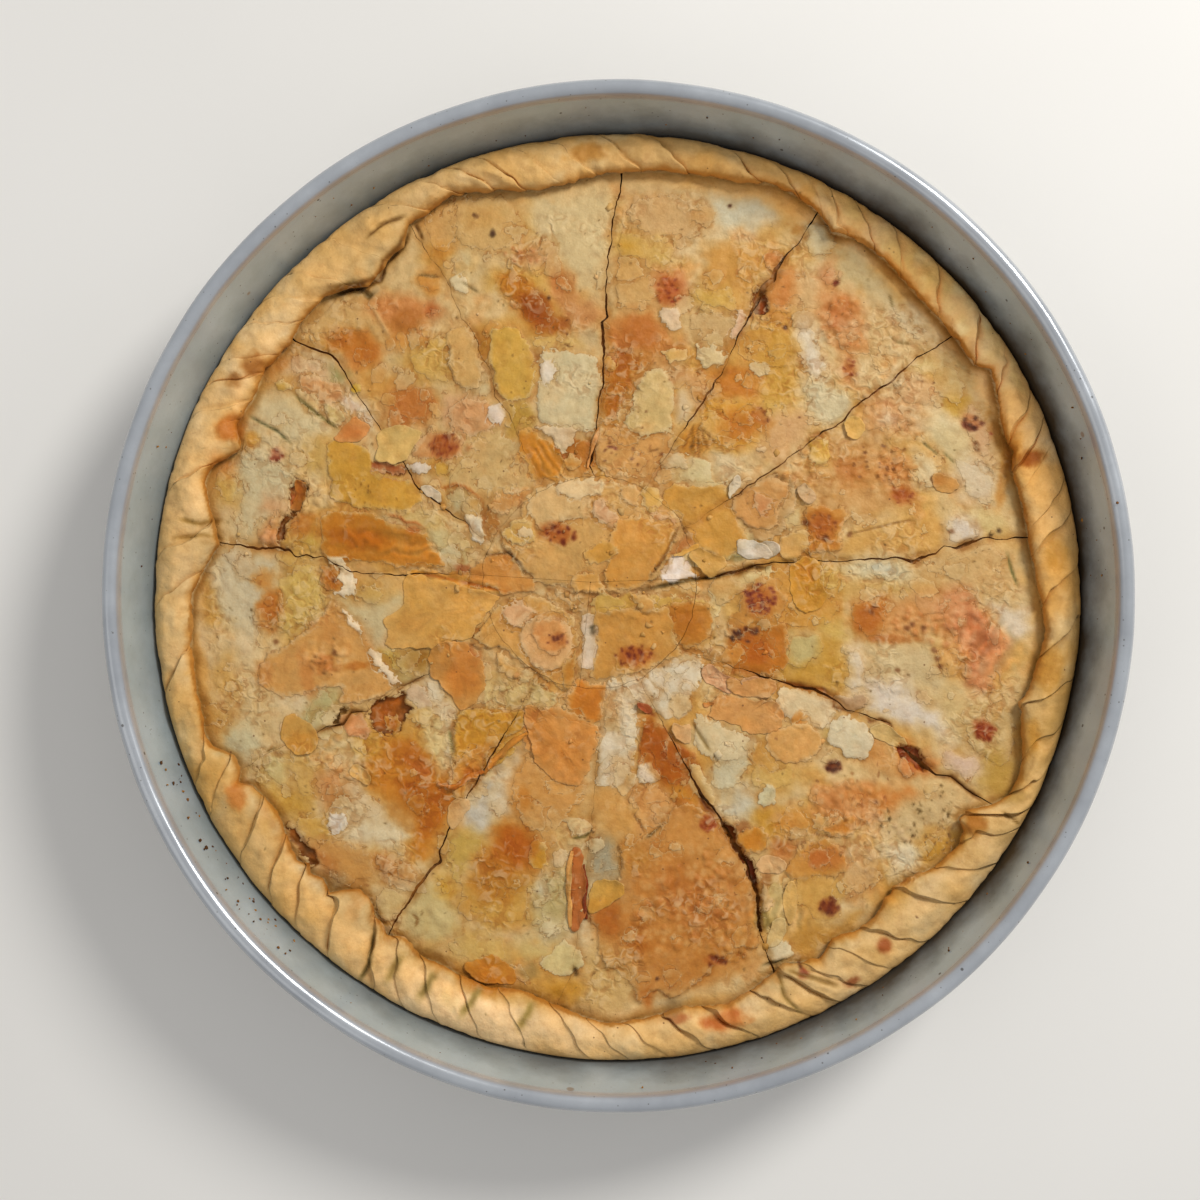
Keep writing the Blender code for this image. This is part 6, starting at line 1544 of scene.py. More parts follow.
def sheet_faces(rows, columns):
    """Faces of a thin sheet: a grid of points on one side, the same grid on the other, and its rim."""
    count = rows * columns
    index = np.arange(count).reshape(rows, columns)
    rim = np.concatenate([index[0], index[1:, -1], index[-1, -2::-1], index[-2:0:-1, 0]])
    after = np.roll(rim, -1)
    return grid_faces(rows, columns), np.stack([rim, after, after + count, rim + count], -1)


def skirt_faces(upper, start, rings):
    """Quads from a rim down through rings of points, stored from start on, and the lowest ring."""
    quads = []
    for k in range(rings):
        lower = start + k * len(upper) + np.arange(len(upper))
        quads.append(np.stack([upper, lower, np.roll(lower, -1), np.roll(upper, -1)], -1))
        upper = lower
    return quads, upper


def fan_faces(ring, hub):
    """Triangles between a ring of points and one point in its middle."""
    return np.stack([ring, np.roll(ring, -1), np.full(len(ring), hub)], -1)


def lathe_caps(rows, columns, hub):
    """Triangles that close a turned grid at its first and last row, to the points hub and hub + 1."""
    first, last = np.arange(columns), (rows - 1) * columns + np.arange(columns)
    return fan_faces(first, hub), fan_faces(last, hub + 1)


def base_height(x, y):
    """The top's gentle dome and lumps, as in the model."""
    inward = np.maximum(0.0, 1 - (x * x + y * y) / SHELF_RADIUS**2)
    waves = np.sin(0.074 * x + 1.3) * np.cos(0.061 * y - 0.6) + 0.6 * np.sin(0.118 * y + 0.047 * x)
    return TOP_RIM_HEIGHT + TOP_DOME * inward + TOP_LUMPS * waves * inward


def joined_grids(outer, inner):
    """Points, faces and rim of two grids that follow each other, the second with half as many columns."""
    (rows_a, wide), (rows_b, narrow) = outer.shape[:2], inner.shape[:2]
    first = np.arange(rows_a * wide).reshape(rows_a, wide)
    second = rows_a * wide + np.arange(rows_b * narrow).reshape(rows_b, narrow)
    ends, starts = first[-1], second[0]
    joint = np.concatenate([np.stack([ends[:-1:2], ends[1::2], starts[:-1]], -1),
                            np.stack([ends[1::2], starts[1:], starts[:-1]], -1),
                            np.stack([ends[1::2], ends[2::2], starts[1:]], -1)])
    quads = [grid_faces(rows_a, wide), grid_faces(rows_b, narrow, rows_a * wide)]
    rim = np.concatenate([first[0], first[1:, -1], second[:, -1], second[-1, -2::-1], second[-2::-1, 0],
                          first[-1:0:-1, 0]])
    return np.concatenate([outer.reshape(-1, 2), inner.reshape(-1, 2)]), [np.concatenate(quads), joint], rim


def slab(name, outer, inner, canvas, finish):
    """A closed piece of the top under two joined grids: painted top, layered sides, flat underside."""
    spots, faces, rim = joined_grids(outer, inner)
    x, y = spots.T
    flat = np.stack([x, y, base_height(x, y) + canvas.sample(canvas.relief, x, y)], -1)
    paint, over, edge = (canvas.sample(field, x, y) for field in (canvas.under, canvas.over, canvas.edge))
    # The sides are painted darker the deeper they go.
    layers = [(0.7, "a87a3e"), (2.0, "8a5628"), (TOP_THICKNESS, "5a3414")]
    middle = spots.mean(0)
    points, colours = [flat], [paint]
    for k, (depth, code) in enumerate(layers):
        ring = flat[rim].copy()
        inward = middle - ring[:, :2]
        inward /= np.hypot(*inward.T)[:, None] + 1e-9
        ring[:, :2] += inward * (0.1 + 0.2 * (1 + noise(ring[:, 0], ring[:, 1], 2.0, 30 + k)))[:, None]
        ring[:, 2] = ring[:, 2] + (TOP_UNDERSIDE - ring[:, 2]) * depth / TOP_THICKNESS
        creamy = 0.25 * (1 + noise(ring[:, 0], ring[:, 1], 3.0, 40 + k)) / 2
        points.append(ring)
        colours.append(mixed(plain(code, len(rim)), rgb(CREAM), creamy))
    quads, lowest = skirt_faces(rim, len(flat), len(layers))
    faces += [*quads, lowest[None, ::-1]]
    sides = np.concatenate(colours[1:])
    edges = np.concatenate([edge, np.full(len(sides), -EDGE_REACH)])
    return make_piece(name, np.concatenate(points), faces, finish, np.concatenate([paint, sides]), edges,
                      np.concatenate([over, sides]), rim)


def turn_outwards(piece):
    """Turns the faces to point out of the closed piece."""
    bm = bmesh.new()
    bm.from_mesh(piece.data)
    bmesh.ops.recalc_face_normals(bm, faces=bm.faces)
    bm.to_mesh(piece.data)
    bm.free()


def slice_grids(index):
    """Points across a slice on rows that run round the pie and lie from under the rope in to the round.

    Its end comes 0.54 nearer the round than the model's does, so that the cut between them stays narrow.
    """
    start = -(SLICES_END - TOP_RADIUS) / (TOP_RADIUS - ROUND_RADIUS)
    inward = np.linspace(start, 1, int((1 - start) * CUT_LENGTH / TOP_STEP))
    centre = ROUND_CENTRE * np.clip(inward, 0, 1)[:, None]
    ends = [cut_edge(index, inward, -1) - centre, cut_edge((index + 1) % len(CUTS), inward, 1) - centre]
    first, second = (np.arctan2(end[:, 1], end[:, 0]) for end in ends)
    turn = (second - first) % (2 * math.pi)
    radii = [np.hypot(*end.T)[:, None] for end in ends]
    columns = 2 * int(turn[0] * SLICES_END / (2 * TOP_RIM_STEP))
    near_round = smooth_step(0.8, 1, inward)[:, None]
    grids = []
    # nearer the round than this, a row needs only half as many points
    split = int(len(inward) * 0.62)
    for rows, count in ((slice(0, split), columns + 1), (slice(split, None), columns // 2 + 1)):
        share = np.linspace(0, 1, count)
        angle = first[rows, None] + turn[rows, None] * share
        radius = radii[0][rows] * (1 - share) + radii[1][rows] * share
        radius = radius + near_round[rows] * (round_wander(np.degrees(angle)) - 0.54)
        x, y = centre[rows, :1] + radius * np.cos(angle), centre[rows, 1:] + radius * np.sin(angle)
        grids.append(np.stack([x, y], -1))
    return grids


def centre_grids(start, end):
    """Points across a sector of the round, on rows from its rim in to its tip."""
    half_cut = 0.05
    half_angle = (end - start) / 2
    tip = polar(half_cut / math.sin(math.radians(half_angle)), start + half_angle, ROUND_CENTRE)
    turned = math.degrees(math.asin(half_cut / ROUND_RADIUS))
    columns = 2 * int(math.radians(end - start) * ROUND_RADIUS / (2 * TOP_STEP))
    rows = int(ROUND_RADIUS / TOP_STEP)
    inward = np.linspace(0, 0.996, rows)  # the last row stops short of the tip
    grids = []
    for shares, count in ((inward[: rows // 2], columns + 1), (inward[rows // 2 :], columns // 2 + 1)):
        angles = np.linspace(start + turned, end - turned, count)
        rim = polar(ROUND_RADIUS - half_cut + round_wander(angles), angles, ROUND_CENTRE)
        grids.append(rim + (tip - rim) * shares[:, None, None])
    return grids


def build_top(canvas, finish):
    """The twelve slices and the three pieces of the round."""
    for index in range(len(CUTS)):
        name = f"slice_{index + 1:02d}"
        place(slab("top_" + name, *slice_grids(index), canvas, finish), "top_crust", name)
    for name, start, end in ROUND_PIECES:
        place(slab("top_" + name, *centre_grids(start, end), canvas, finish), "top_crust", name)


def place(piece, slot, *nodes):
    """The piece rides on the body and stands for the nodes, which are hidden; the slot is not used."""
    turn_outwards(piece)
    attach(piece, BODY)
    if nodes:
        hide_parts(*nodes)


# ---------------------------------------------------------------- rope


def lip_reach(angle):
    """How far the rope's lip reaches inwards from the crust's rim."""
    angles, radii = np.array(LIP, float).T
    angles, radii = np.append(angles, angles[0] + 360), np.append(radii, radii[0])
    return PIE_RADIUS - np.interp(angle, angles, radii, period=360)


def rope_columns():
    """The rope's columns, pleat by pleat.

    Each holds its angle before the lean, the share of the pleat, the share of its height, how far the fold
    shifts it sideways, how bold the pleat is, and the pleat's number.
    """
    rng = np.random.default_rng(12)
    columns = []
    for k, angle in enumerate(PLEATS):
        width = (PLEATS[(k + 1) % len(PLEATS)] - angle) % 360
        bold = np.interp(angle, *zip(*PLEAT_RELIEF)) * rng.choice([0.15, 0.5, 0.85, 1.2])
        bold *= 0.7 + 0.3 * min(1.0, width / 5)
        fold = ((0.70, 0.05), (0.40, 0.16), (0.00, 0.42), (-0.35, 0.70), (-0.40, 0.90), (-0.10, 0.98))
        for shift, height in fold:
            shift = shift * min(bold, 1.1) * (0.9 if k % 3 == 0 else -0.6)
            columns.append((angle, 0.0, height, shift, bold, k))
        count = max(7, int(width * ROPE_DEGREE / ROPE_STEP))
        peak = rng.uniform(0.08, 0.2)
        for share in np.linspace(0, 1, count + 1)[1:-1]:
            fall = max(0.0, share - peak) / (1 - peak)
            height = (1 - fall**1.7) ** 0.8
            columns.append((angle + width * share, share, height, 0.0, bold, k))
    return np.array(columns)


def rope_surface(canvas):
    """Points of the crust's ring as (columns, profile), with its paint."""
    angle, share, height, shift, bold, pleat = rope_columns().T[..., None]
    phi = np.linspace(0, math.pi, 35)[None, :]
    lean = 3.2 * np.cos(phi) - 0.5 * np.sin(2 * phi) + 0.5 * noise(3.1 * pleat, 2.0 * phi, 1, 35)
    start = 0.45 + 0.45 * np.sin(5.3 * pleat)
    shown = smooth_step(start, start + 1.0, phi) * (1 - 0.35 * smooth_step(2.6, math.pi, phi))
    turn = angle + lean + shift * (0.25 + 0.75 * shown)
    along = turn * ROPE_DEGREE
    zero = 0 * turn
    lobe = (height - 0.55) * bold
    reach = lip_reach(turn) + 0.8 * rough(along, zero, 5, 33) + 0.5 * lobe
    outer = PIE_RADIUS + 0.2 + 0.3 * rough(along, zero, 20, 34) + 0.3 * lobe
    outer = outer - 0.9 * np.clip(rough(along, zero, 7, 43), 0, 1)
    lip = PIE_RADIUS - reach
    relief = 2.5 * (height - 0.5) * bold * shown
    middle, half = (outer + lip) / 2, (outer - lip) / 2
    radius = middle + half * np.cos(phi)
    ruffled = smooth_step(1.5, 2.7, phi) * (0.6 + 0.4 * noise(along, zero, 30, 40))
    radius = radius + 0.8 * ruffled * noise(along, 2.6 * phi + zero, 2.6, 38)
    arch = np.abs(np.sin(phi))
    low = SHELF_HEIGHT + 0.3 + 1.3 * smooth_step(0.6, 2.8, phi)
    z = low + 5.2 * arch**0.85 + relief * (0.25 + 0.75 * arch**0.4)
    z = z + bold * shown * 0.35 * np.sin(8.0 * share + 2.3 * pleat + 2.5 * phi) * (1 - share)
    x, y = radius * np.cos(np.radians(turn)), radius * np.sin(np.radians(turn))
    lumps = 0.7 * canvas.sample(canvas.relief, x, y) + 0.9 * rough(x, y, 8, 36) + 0.3 * noise(x, y, 2.6, 37)
    z = z + lumps * arch
    z = z + 0.9 * ruffled * arch * noise(along, 3 * phi + zero, 3.1, 39)
    z = np.maximum(z, low)
    paint = canvas.sample(canvas.seen, x, y)
    # Painted shade down in each crease between pleats.
    crease = smooth_step(0.55, 0.05, height) * np.clip(bold, 0, 1)
    paint = mixed(paint, rgb("9a6630"), np.clip(0.25 * crease * (0.25 + 0.75 * shown), 0, 1))
    # A painted highlight on each pleat's crown.
    crown_highlight = smooth_step(0.75, 1.0, height) * shown * smooth_step(0.4, 0.0, share)
    paint = mixed(paint, rgb("dcbb84"), 0.3 * crown_highlight * np.clip(bold, 0, 1))
    browned = smooth_step(2.3, 3.0, phi + 0.35 * rough(along, 3 * phi + zero, 6, 41))
    patchy = np.clip(0.75 + 0.5 * rough(along, zero, 16, 42), 0, 1)
    paint = mixed(paint, rgb("c08038"), 0.55 * browned * patchy)
    lip_radius, lip_height = np.hypot(x[:, -1], y[:, -1]), z[:, -1]
    # up the outside before the rope, and after it back under the lip to the inner wall and the floor
    outside = [(CRUST_FOOT_RADIUS, CRUST_BOTTOM, "a5793f"), (CRUST_FOOT_RADIUS + 5.5, 9.0, "a5793f"),
               (PIE_RADIUS - 3.2, 20.0, "a5793f")]
    # Under the lip and against the pan's wall the dough is painted dark brown: painted shade.
    inside = [(lip_radius + 0.3, lip_height - 0.9, "8a5a26"), (lip_radius + 0.9, lip_height - 1.6, "8a5a26"),
              (164.8, 28.6, "4a2c10"), (164.0, 24.0, "4a2c10"), (156.0, 8.0, "6a4520"),
              (SHELF_RADIUS, CRUST_FLOOR, "8a6030")]
    before, after = (np.stack([ring_points(turn[:, end], r, h) for r, h, _ in rings], 1)
                     for end, rings in ((0, outside), (-1, inside)))
    before_paint, after_paint = (np.stack([plain(code, len(turn)) for _, _, code in rings], 1)
                                 for rings in (outside, inside))
    points = np.concatenate([before, np.stack([x, y, z], -1), after], 1)
    return points, np.concatenate([before_paint, paint, after_paint], 1)


def ring_points(angles, radius, height):
    """Points at a radius and a height, which may be one number or one for each angle."""
    radius = radius + 0.0 * angles
    return np.concatenate([polar(radius, angles), (height + 0.0 * angles)[:, None]], -1)


def build_crust(canvas, finish):
    """The dish of dough with its pleated rope, in one closed piece."""
    points, paint = rope_surface(canvas)
    columns, profile = points.shape[:2]
    index = np.arange(columns * profile).reshape(columns, profile)
    after = np.roll(index, -1, axis=0)
    quads = np.stack([index[:, :-1], after[:, :-1], after[:, 1:], index[:, 1:]], -1).reshape(-1, 4)
    flat = np.concatenate([points.reshape(-1, 3), [(0, 0, CRUST_BOTTOM), (0, 0, CRUST_FLOOR)]])
    hub = np.full(columns, len(flat) - 2)
    bottom = np.stack([hub, after[:, 0], index[:, 0]], -1)
    top = np.stack([hub + 1, index[:, -1], after[:, -1]], -1)
    tones = np.concatenate([paint.reshape(-1, 3), plain("8a6030", 2)])
    edge = np.full(len(flat), NO_EDGE)
    piece = make_piece("crust_rope", flat, [quads, np.concatenate([bottom, top])], finish, tones, edge)
    place(piece, "crust", "crust")


# ---------------------------------------------------------------- loose flakes


class Heap:
    """Many small shapes gathered into one mesh."""

    def __init__(self):
        self.points, self.faces, self.caps, self.paint, self.edge = [], [], [], [], []
        self.count = 0

    def add(self, points, faces, paint, edge=NO_EDGE):
        """Adds a shape whose faces count its own points from 0."""
        points = np.asarray(points, float)
        self.points.append(points)
        self.faces.append(np.asarray(faces) + self.count)
        self.paint.append(np.broadcast_to(paint, points.shape))
        self.edge.append(np.broadcast_to(edge, len(points)))
        self.count += len(points)

    def piece(self, name, finish):
        by_sides = [np.concatenate([group for group in self.faces if group.shape[1] == sides])
                    for sides in sorted({group.shape[1] for group in self.faces})]
        by_sides += [cap[None] for cap in self.caps]
        return make_piece(name, np.concatenate(self.points), by_sides, finish,
                          np.concatenate(self.paint), np.concatenate(self.edge))


def resampled(outline, step):
    """Evenly spaced points round a closed outline."""
    closed = np.concatenate([outline, outline[:1]])
    along = np.concatenate([[0], np.cumsum(np.hypot(*np.diff(closed, axis=0).T))])
    count = max(10, int(along[-1] / step))
    places = np.linspace(0, along[-1], count, endpoint=False)
    return np.stack([np.interp(places, along, closed[:, k]) for k in (0, 1)], -1)


# How far in from its rim a loose leaf's rings of points lie.
INSETS = np.array([0, 0.45, 1.1, 2.0, 3.2, 4.8, 6.8, 9.2, 12, 15, 18.5])


def add_leaf(heap, canvas, colour, outline, seed, lift):
    """A thin leaf draped over what lies there, snapped off raggedly, its edge curling up in places."""
    step, thickness, gap, borrowed = 0.5, 0.2, 0.22, 0.25
    rim = resampled(rounded(outline), step)
    if np.cross(rim, np.roll(rim, -1, axis=0)).sum() < 0:
        rim = rim[::-1]
    length = len(rim) * step
    places = np.arange(len(rim)) * step
    middle = rim.mean(0)
    size = np.hypot(*(rim - middle).T).mean()
    ahead = np.roll(rim, -2, axis=0) - np.roll(rim, 2, axis=0)
    outwards = np.stack([ahead[:, 1], -ahead[:, 0]], -1) / (np.hypot(*ahead.T)[:, None] + 1e-9)
    snapped = 0.75 * kinked(places, 4.6, seed, length) + 0.5 * kinked(places, 1.9, seed + 1, length)
    snapped = snapped + 0.28 * kinked(places, 0.9, seed + 2, length)
    rim = rim + outwards * (min(1.0, max(0.65, size / 8)) * snapped)[:, None]
    insets = INSETS[INSETS < 0.85 * size]
    shares = 1 - insets / size
    spots = np.concatenate([(middle + (rim - middle) * shares[:, None, None]).reshape(-1, 2), [middle]])
    inset = np.append(np.repeat(insets, len(rim)), size)
    x, y = spots.T
    ground = canvas.sample(canvas.drape, x, y)
    ground = np.maximum(ground, canvas.sample(canvas.relief, x, y) - 0.1)
    wave = np.sin(2 * math.pi * (places / length * (1 + seed % 3) + 0.37 * seed))
    wave = wave + kinked(places, 7, seed + 3, length)
    flutter = np.append(np.tile(np.clip(wave, 0, 1.6), len(insets)), 0)
    z = base_height(x, y) + ground + gap + lift * flutter * np.exp(-inset / (0.8 + 0.22 * size))
    count, ring = len(spots), len(rim)
    loop = np.arange(ring)
    sunk = [(min(1.0, 0.3 * size), 0.35), (min(2.4, 0.6 * size), 1.5)]
    lower = [np.concatenate([rim, (z[:ring] - thickness)[:, None]], -1)]
    for inward, depth in sunk:
        spot = middle + (rim - middle) * (1 - inward / size)
        level = base_height(*spot.T) + canvas.sample(canvas.drape, *spot.T)
        lower.append(np.concatenate([spot, (level - depth)[:, None]], -1))
    quads, lowest = skirt_faces(loop, count, len(lower))
    quads.insert(0, grid_faces(len(insets), ring, wrap=True))
    tone = rgb(colour) * (1 + 0.06 * rough(x, y, 6, seed) + 0.05 * noise(x, y, 1.8, seed))[:, None]
    tone = tone + (canvas.sample(canvas.seen, x, y) - tone) * borrowed
    # Paler near the rim: partly thinner dough, partly a painted highlight.
    tone = mixed(tone, rgb(PALE), 0.25 * np.exp(-inset / 0.8) * (1 + noise(x, y, 4, seed)) / 2)
    points = np.concatenate([np.stack([x, y, z], -1)] + lower)
    # The rim and underside are painted darker than the top: painted shade.
    paint = np.concatenate([tone] + [tone[:ring] * 0.86] * 3)
    edge = np.append(np.minimum(inset + 0.4, EDGE_REACH), np.full(3 * ring, 0.3))
    heap.add(points, np.concatenate(quads), paint, edge)
    first = heap.count - len(points)
    heap.faces.append(fan_faces((len(insets) - 1) * ring + loop, count - 1) + first)
    heap.caps.append(lowest[::-1] + first)
    part = canvas.window(rim[:, 0], rim[:, 1], 1)
    covered = outline_distance(canvas.x[part], canvas.y[part], rim[::3])
    canvas.drape[part] += (gap + thickness) * smooth_step(0.2, -0.6, covered)


# Narrow leaves curled over into hollow ridges: (colour, width, path).
CURLS = [
    ("d0a062", 1.9, [(-16.8, -94), (-17.6, -101), (-18, -108), (-17.4, -115), (-17.4, -122)]),
    ("8c3c14", 1.4, [(-12.6, -99), (-11.4, -106), (-12.2, -113), (-11.6, -119)]),
    ("c68a42", 2.4, [(-49, -66), (-44, -60), (-38, -54), (-33, -51)]),
    ("c9925a", 1.5, [(-7, 61), (-9.5, 53), (-11, 46)]),
    ("c07a34", 2.0, [(-66, -70), (-60, -71), (-54, -67), (-49, -65)]),
]


def add_curl(heap, canvas, colour, width, path, seed):
    """A strip of leaf curled over into a hollow ridge along a path, with a painted highlight on one side."""
    path = np.array(path, float)
    places = np.linspace(0, len(path) - 1, 26)
    line = np.stack([np.interp(places, np.arange(len(path)), path[:, k]) for k in (0, 1)], -1)
    line = np.concatenate([line[:1], (line[:-2] + line[1:-1] + line[2:]) / 3, line[-1:]])
    along = np.gradient(line, axis=0)
    along /= np.hypot(*along.T)[:, None]
    side = np.stack([-along[:, 1], along[:, 0]], -1)
    taper = np.sin(np.pi * (0.08 + 0.86 * np.linspace(0, 1, len(line)))) ** 0.5
    ground = base_height(*line.T) + canvas.sample(canvas.drape, *line.T)
    shells = []
    for thick in (0.0, 0.35):
        arc = np.radians(np.linspace(8, 188, 13))
        radius = width / 2 - thick
        across = radius * np.cos(arc) * taper[:, None]
        up = radius * (0.25 + 0.75 * np.sin(arc)) * taper[:, None]
        ragged = 0.9 * rough(line[:, :1] * 3, line[:, 1:] + arc * 3, 5, seed)
        spot = line[:, None] + side[:, None] * (across + ragged)[..., None]
        shells.append(np.concatenate([spot, (ground[:, None] + up + 0.2)[..., None]], -1))
    rows, columns = shells[0].shape[:2]
    count = rows * columns
    sheet, wall = sheet_faces(rows, columns)
    steps = np.arange(count) % columns, np.arange(count) // columns
    tones = rgb(colour) * (1 + 0.2 * rough(steps[0] * 1.0, steps[1] * 1.0, 5, seed))[:, None]
    # One side painted lighter: a painted highlight.
    tones = mixed(tones, rgb("dcb070"), 0.7 * smooth_step(0.55 * columns, columns, steps[0]))
    points = np.concatenate([shell.reshape(-1, 3) for shell in shells])
    faces = np.concatenate([sheet[:, ::-1], sheet + count, wall])
    # The inner shell is painted darker: painted shade.
    heap.add(points, faces, np.concatenate([tones, tones * 0.8]))


def build_flakes(canvas, finish):
    """The leaves that stand clear of the crust, and the curled ones."""
    leaves = Heap()
    for k, (colour, rise, outline) in enumerate(LEAVES):
        if rise >= RAISED:
            add_leaf(leaves, canvas, colour, outline, 3 * k, rise)
    place(leaves.piece("loose_leaves", finish), "top_crust")
    curls = Heap()
    for k, (colour, width, path) in enumerate(CURLS):
        add_curl(curls, canvas, colour, width, path, 500 + k)
    place(curls.piece("rolled_leaves", finish), "top_crust")


def build_scraps(canvas, finish):
    """Chips of leaf, most of them round the middle and along the cuts."""
    rng = np.random.default_rng(31)
    heap = Heap()
    for k in range(70):
        if k % 2:
            x, y = polar(abs(rng.normal(28, 26)), rng.uniform(0, 360))
        else:
            path, _ = cut_line(CUTS[rng.integers(len(CUTS))], np.array([rng.uniform(0.05, 1)]))
            x, y = path[0] + rng.normal(0, 3.5, 2)
        if math.hypot(x, y) < 146:
            add_chip(heap, canvas, np.array([x, y]), 0.5 + 1.2 * rng.random() ** 2, rng)
    place(heap.piece("leaf_scraps", finish), "top_crust")


def add_chip(heap, canvas, middle, size, rng):
    """A small flat chip with straight broken sides."""
    count = rng.integers(5, 8)
    turns = 360 * (np.arange(count) + rng.uniform(-0.3, 0.3, count)) / count
    rim = np.concatenate([polar(size * rng.uniform(0.5, 1.35), turn, middle)[None] for turn in turns])
    spots = np.concatenate([rim, [middle]])
    tilt = rng.normal(0, 0.08, 2)
    z = base_height(*middle) + canvas.sample(canvas.drape, *middle[:, None]) + 0.12 + (spots - middle) @ tilt
    top = np.concatenate([spots, (z + 0.12 + np.append(0.15 * rng.random(count), 0))[:, None]], -1)
    below = np.concatenate([rim, (z[:-1] - 0.15)[:, None]], -1)
    loop = np.arange(count)
    after = np.roll(loop, -1)
    here = canvas.sample(canvas.seen, *middle[:, None])[0]
    tone = here + (rgb([PALE, GOLD, TAN, CREAM][rng.integers(4)]) - here) * rng.uniform(0.1, 0.5)
    wall = np.stack([loop, count + 1 + loop, count + 1 + after, after], -1)
    heap.add(np.concatenate([top, below]), wall, tone * rng.uniform(0.94, 1.08), 1.0)
    first = heap.count - 2 * count - 1
    heap.faces.append(fan_faces(loop, count) + first)
    heap.caps.append((count + 1 + loop)[::-1] + first)


# ---------------------------------------------------------------- filling


def build_filling(finish):
    """Soft eggplant filling, seen only down the cuts."""
    radius = np.linspace(0, SHELF_RADIUS - 0.6, 90)
    angle = np.linspace(0, 360, 361)[:-1]
    x = radius[:, None] * np.cos(np.radians(angle))
    y = radius[:, None] * np.sin(np.radians(angle))
    lumps = rough(x, y, 9, 60) + 0.5 * noise(x, y, 3.5, 61)
    z = TOP_UNDERSIDE - 1.0 + 0.55 * np.clip(lumps, -1, 1.2)
    points = np.stack([x, y, z], -1)
    wall = np.stack([x[-1], y[-1], np.full(len(angle), CRUST_FLOOR + 0.3)], -1)
    rows, columns = x.shape
    flat = np.concatenate([points[1:].reshape(-1, 3), wall, [points[0, 0]], [(0, 0, CRUST_FLOOR + 0.3)]])
    faces = grid_faces(rows, columns, wrap=True)
    inner, outer = lathe_caps(rows, columns, len(flat) - 2)
    caps = np.concatenate([inner, outer[:, [1, 0, 2]]])
    x, y = flat[:, 0], flat[:, 1]
    tone = mixed(plain("8a5222", len(flat)), rgb("a87434"), 0.5 + 0.5 * rough(x, y, 6, 62))
    tone = mixed(tone, rgb("4e2a12"), 0.7 * smooth_step(0.2, 0.6, rough(x, y, 4, 63)))
    edge = np.full(len(flat), NO_EDGE)
    place(make_piece("filling_body", flat, [faces, caps], finish, tone, edge), "filling", "filling")


def build_seams(canvas, finish):
    """Crumbled inner layers that show brown just below the top wherever a cut gapes."""
    heap = Heap()
    lines = [cut_line(cut, np.linspace(0.0, 1.0, 170))[0] for cut in CUTS]
    lines.append(polar(ROUND_RADIUS, np.linspace(0, 360, 340), ROUND_CENTRE))
    lines += [np.linspace(ROUND_CENTRE, polar(ROUND_RADIUS, start, ROUND_CENTRE), 60)
              for _, start, _ in ROUND_PIECES]
    for k, line in enumerate(lines):
        along = np.gradient(line, axis=0)
        side = np.stack([-along[:, 1], along[:, 0]], -1) / np.hypot(*along.T)[:, None]
        across = np.array([-2.4, -1.4, -0.5, 0.5, 1.4, 2.4])
        spots = line[:, None] + side[:, None] * across[:, None]
        x, y = spots[..., 0], spots[..., 1]
        level = base_height(x, y) + canvas.sample(canvas.relief, x, y) - 1.5
        level = level + 0.6 * rough(x, y, 4, k) + 0.4 * noise(x, y, 1.4, k)
        level[:, [0, -1]] -= 1.2
        over = np.stack([x, y, level], -1).reshape(-1, 3)
        under = over - (0, 0, 1.2)
        sheet, wall = sheet_faces(*x.shape)
        golden = 0.5 + 0.5 * rough(x, y, 5, 70 + k).ravel()
        tone = mixed(plain("8c5424", len(over)), rgb("b98040"), golden)
        tone = mixed(tone, rgb("4a2810"), 0.6 * smooth_step(0.0, 0.6, rough(x, y, 7, 90 + k).ravel()))
        heap.add(np.concatenate([over, under]), np.concatenate([sheet, sheet[:, ::-1] + len(over), wall]),
                 np.concatenate([tone, tone]))
    place(heap.piece("inner_layers", finish), "filling")


# ---------------------------------------------------------------- pan


def arc_points(centre_r, centre_z, radius, start, end, count):
    """Points of a section along an arc, its angles counted from outwards to up."""
    turn = np.radians(np.linspace(start, end, count + 1))
    return np.stack([centre_r + radius * np.cos(turn), centre_z + radius * np.sin(turn)], -1)


def pan_profile():
    """The sheet's section from the middle of its inside up the wall, round the bead and back under."""
    lean = math.degrees(math.atan2(WALL_TOP_RADIUS - WALL_FOOT_RADIUS, PAN_HEIGHT - SHEET))
    corner_r, corner_z = WALL_FOOT_RADIUS - CORNER_RADIUS, SHEET + CORNER_RADIUS
    bead_r, bead_z = RIM_RADIUS - BEAD_RADIUS, PAN_HEIGHT - BEAD_RADIUS
    floor = np.stack([np.linspace(4, corner_r - 1, 10), np.full(10, SHEET)], -1)
    corner = arc_points(corner_r, corner_z, CORNER_RADIUS, -90, -lean, 8)
    bead = arc_points(bead_r, bead_z, BEAD_RADIUS, 180, -110, 26)
    start, end = corner[-1], bead[0]
    wall = start + (end - start) * np.linspace(0, 1, 18)[1:-1, None]
    back = arc_points(corner_r, corner_z, CORNER_RADIUS + SHEET, -lean, -90, 8)
    tuck = np.array([(WALL_TOP_RADIUS + 1.7, PAN_HEIGHT - 2 * BEAD_RADIUS - 0.2)])
    outer = tuck + (back[0] - tuck) * np.linspace(0, 1, 14)[:-1, None]
    under = np.stack([np.linspace(corner_r - 1, 4, 8), np.full(8, 0.0)], -1)
    return np.concatenate([floor, corner, wall, bead, outer, back, under])


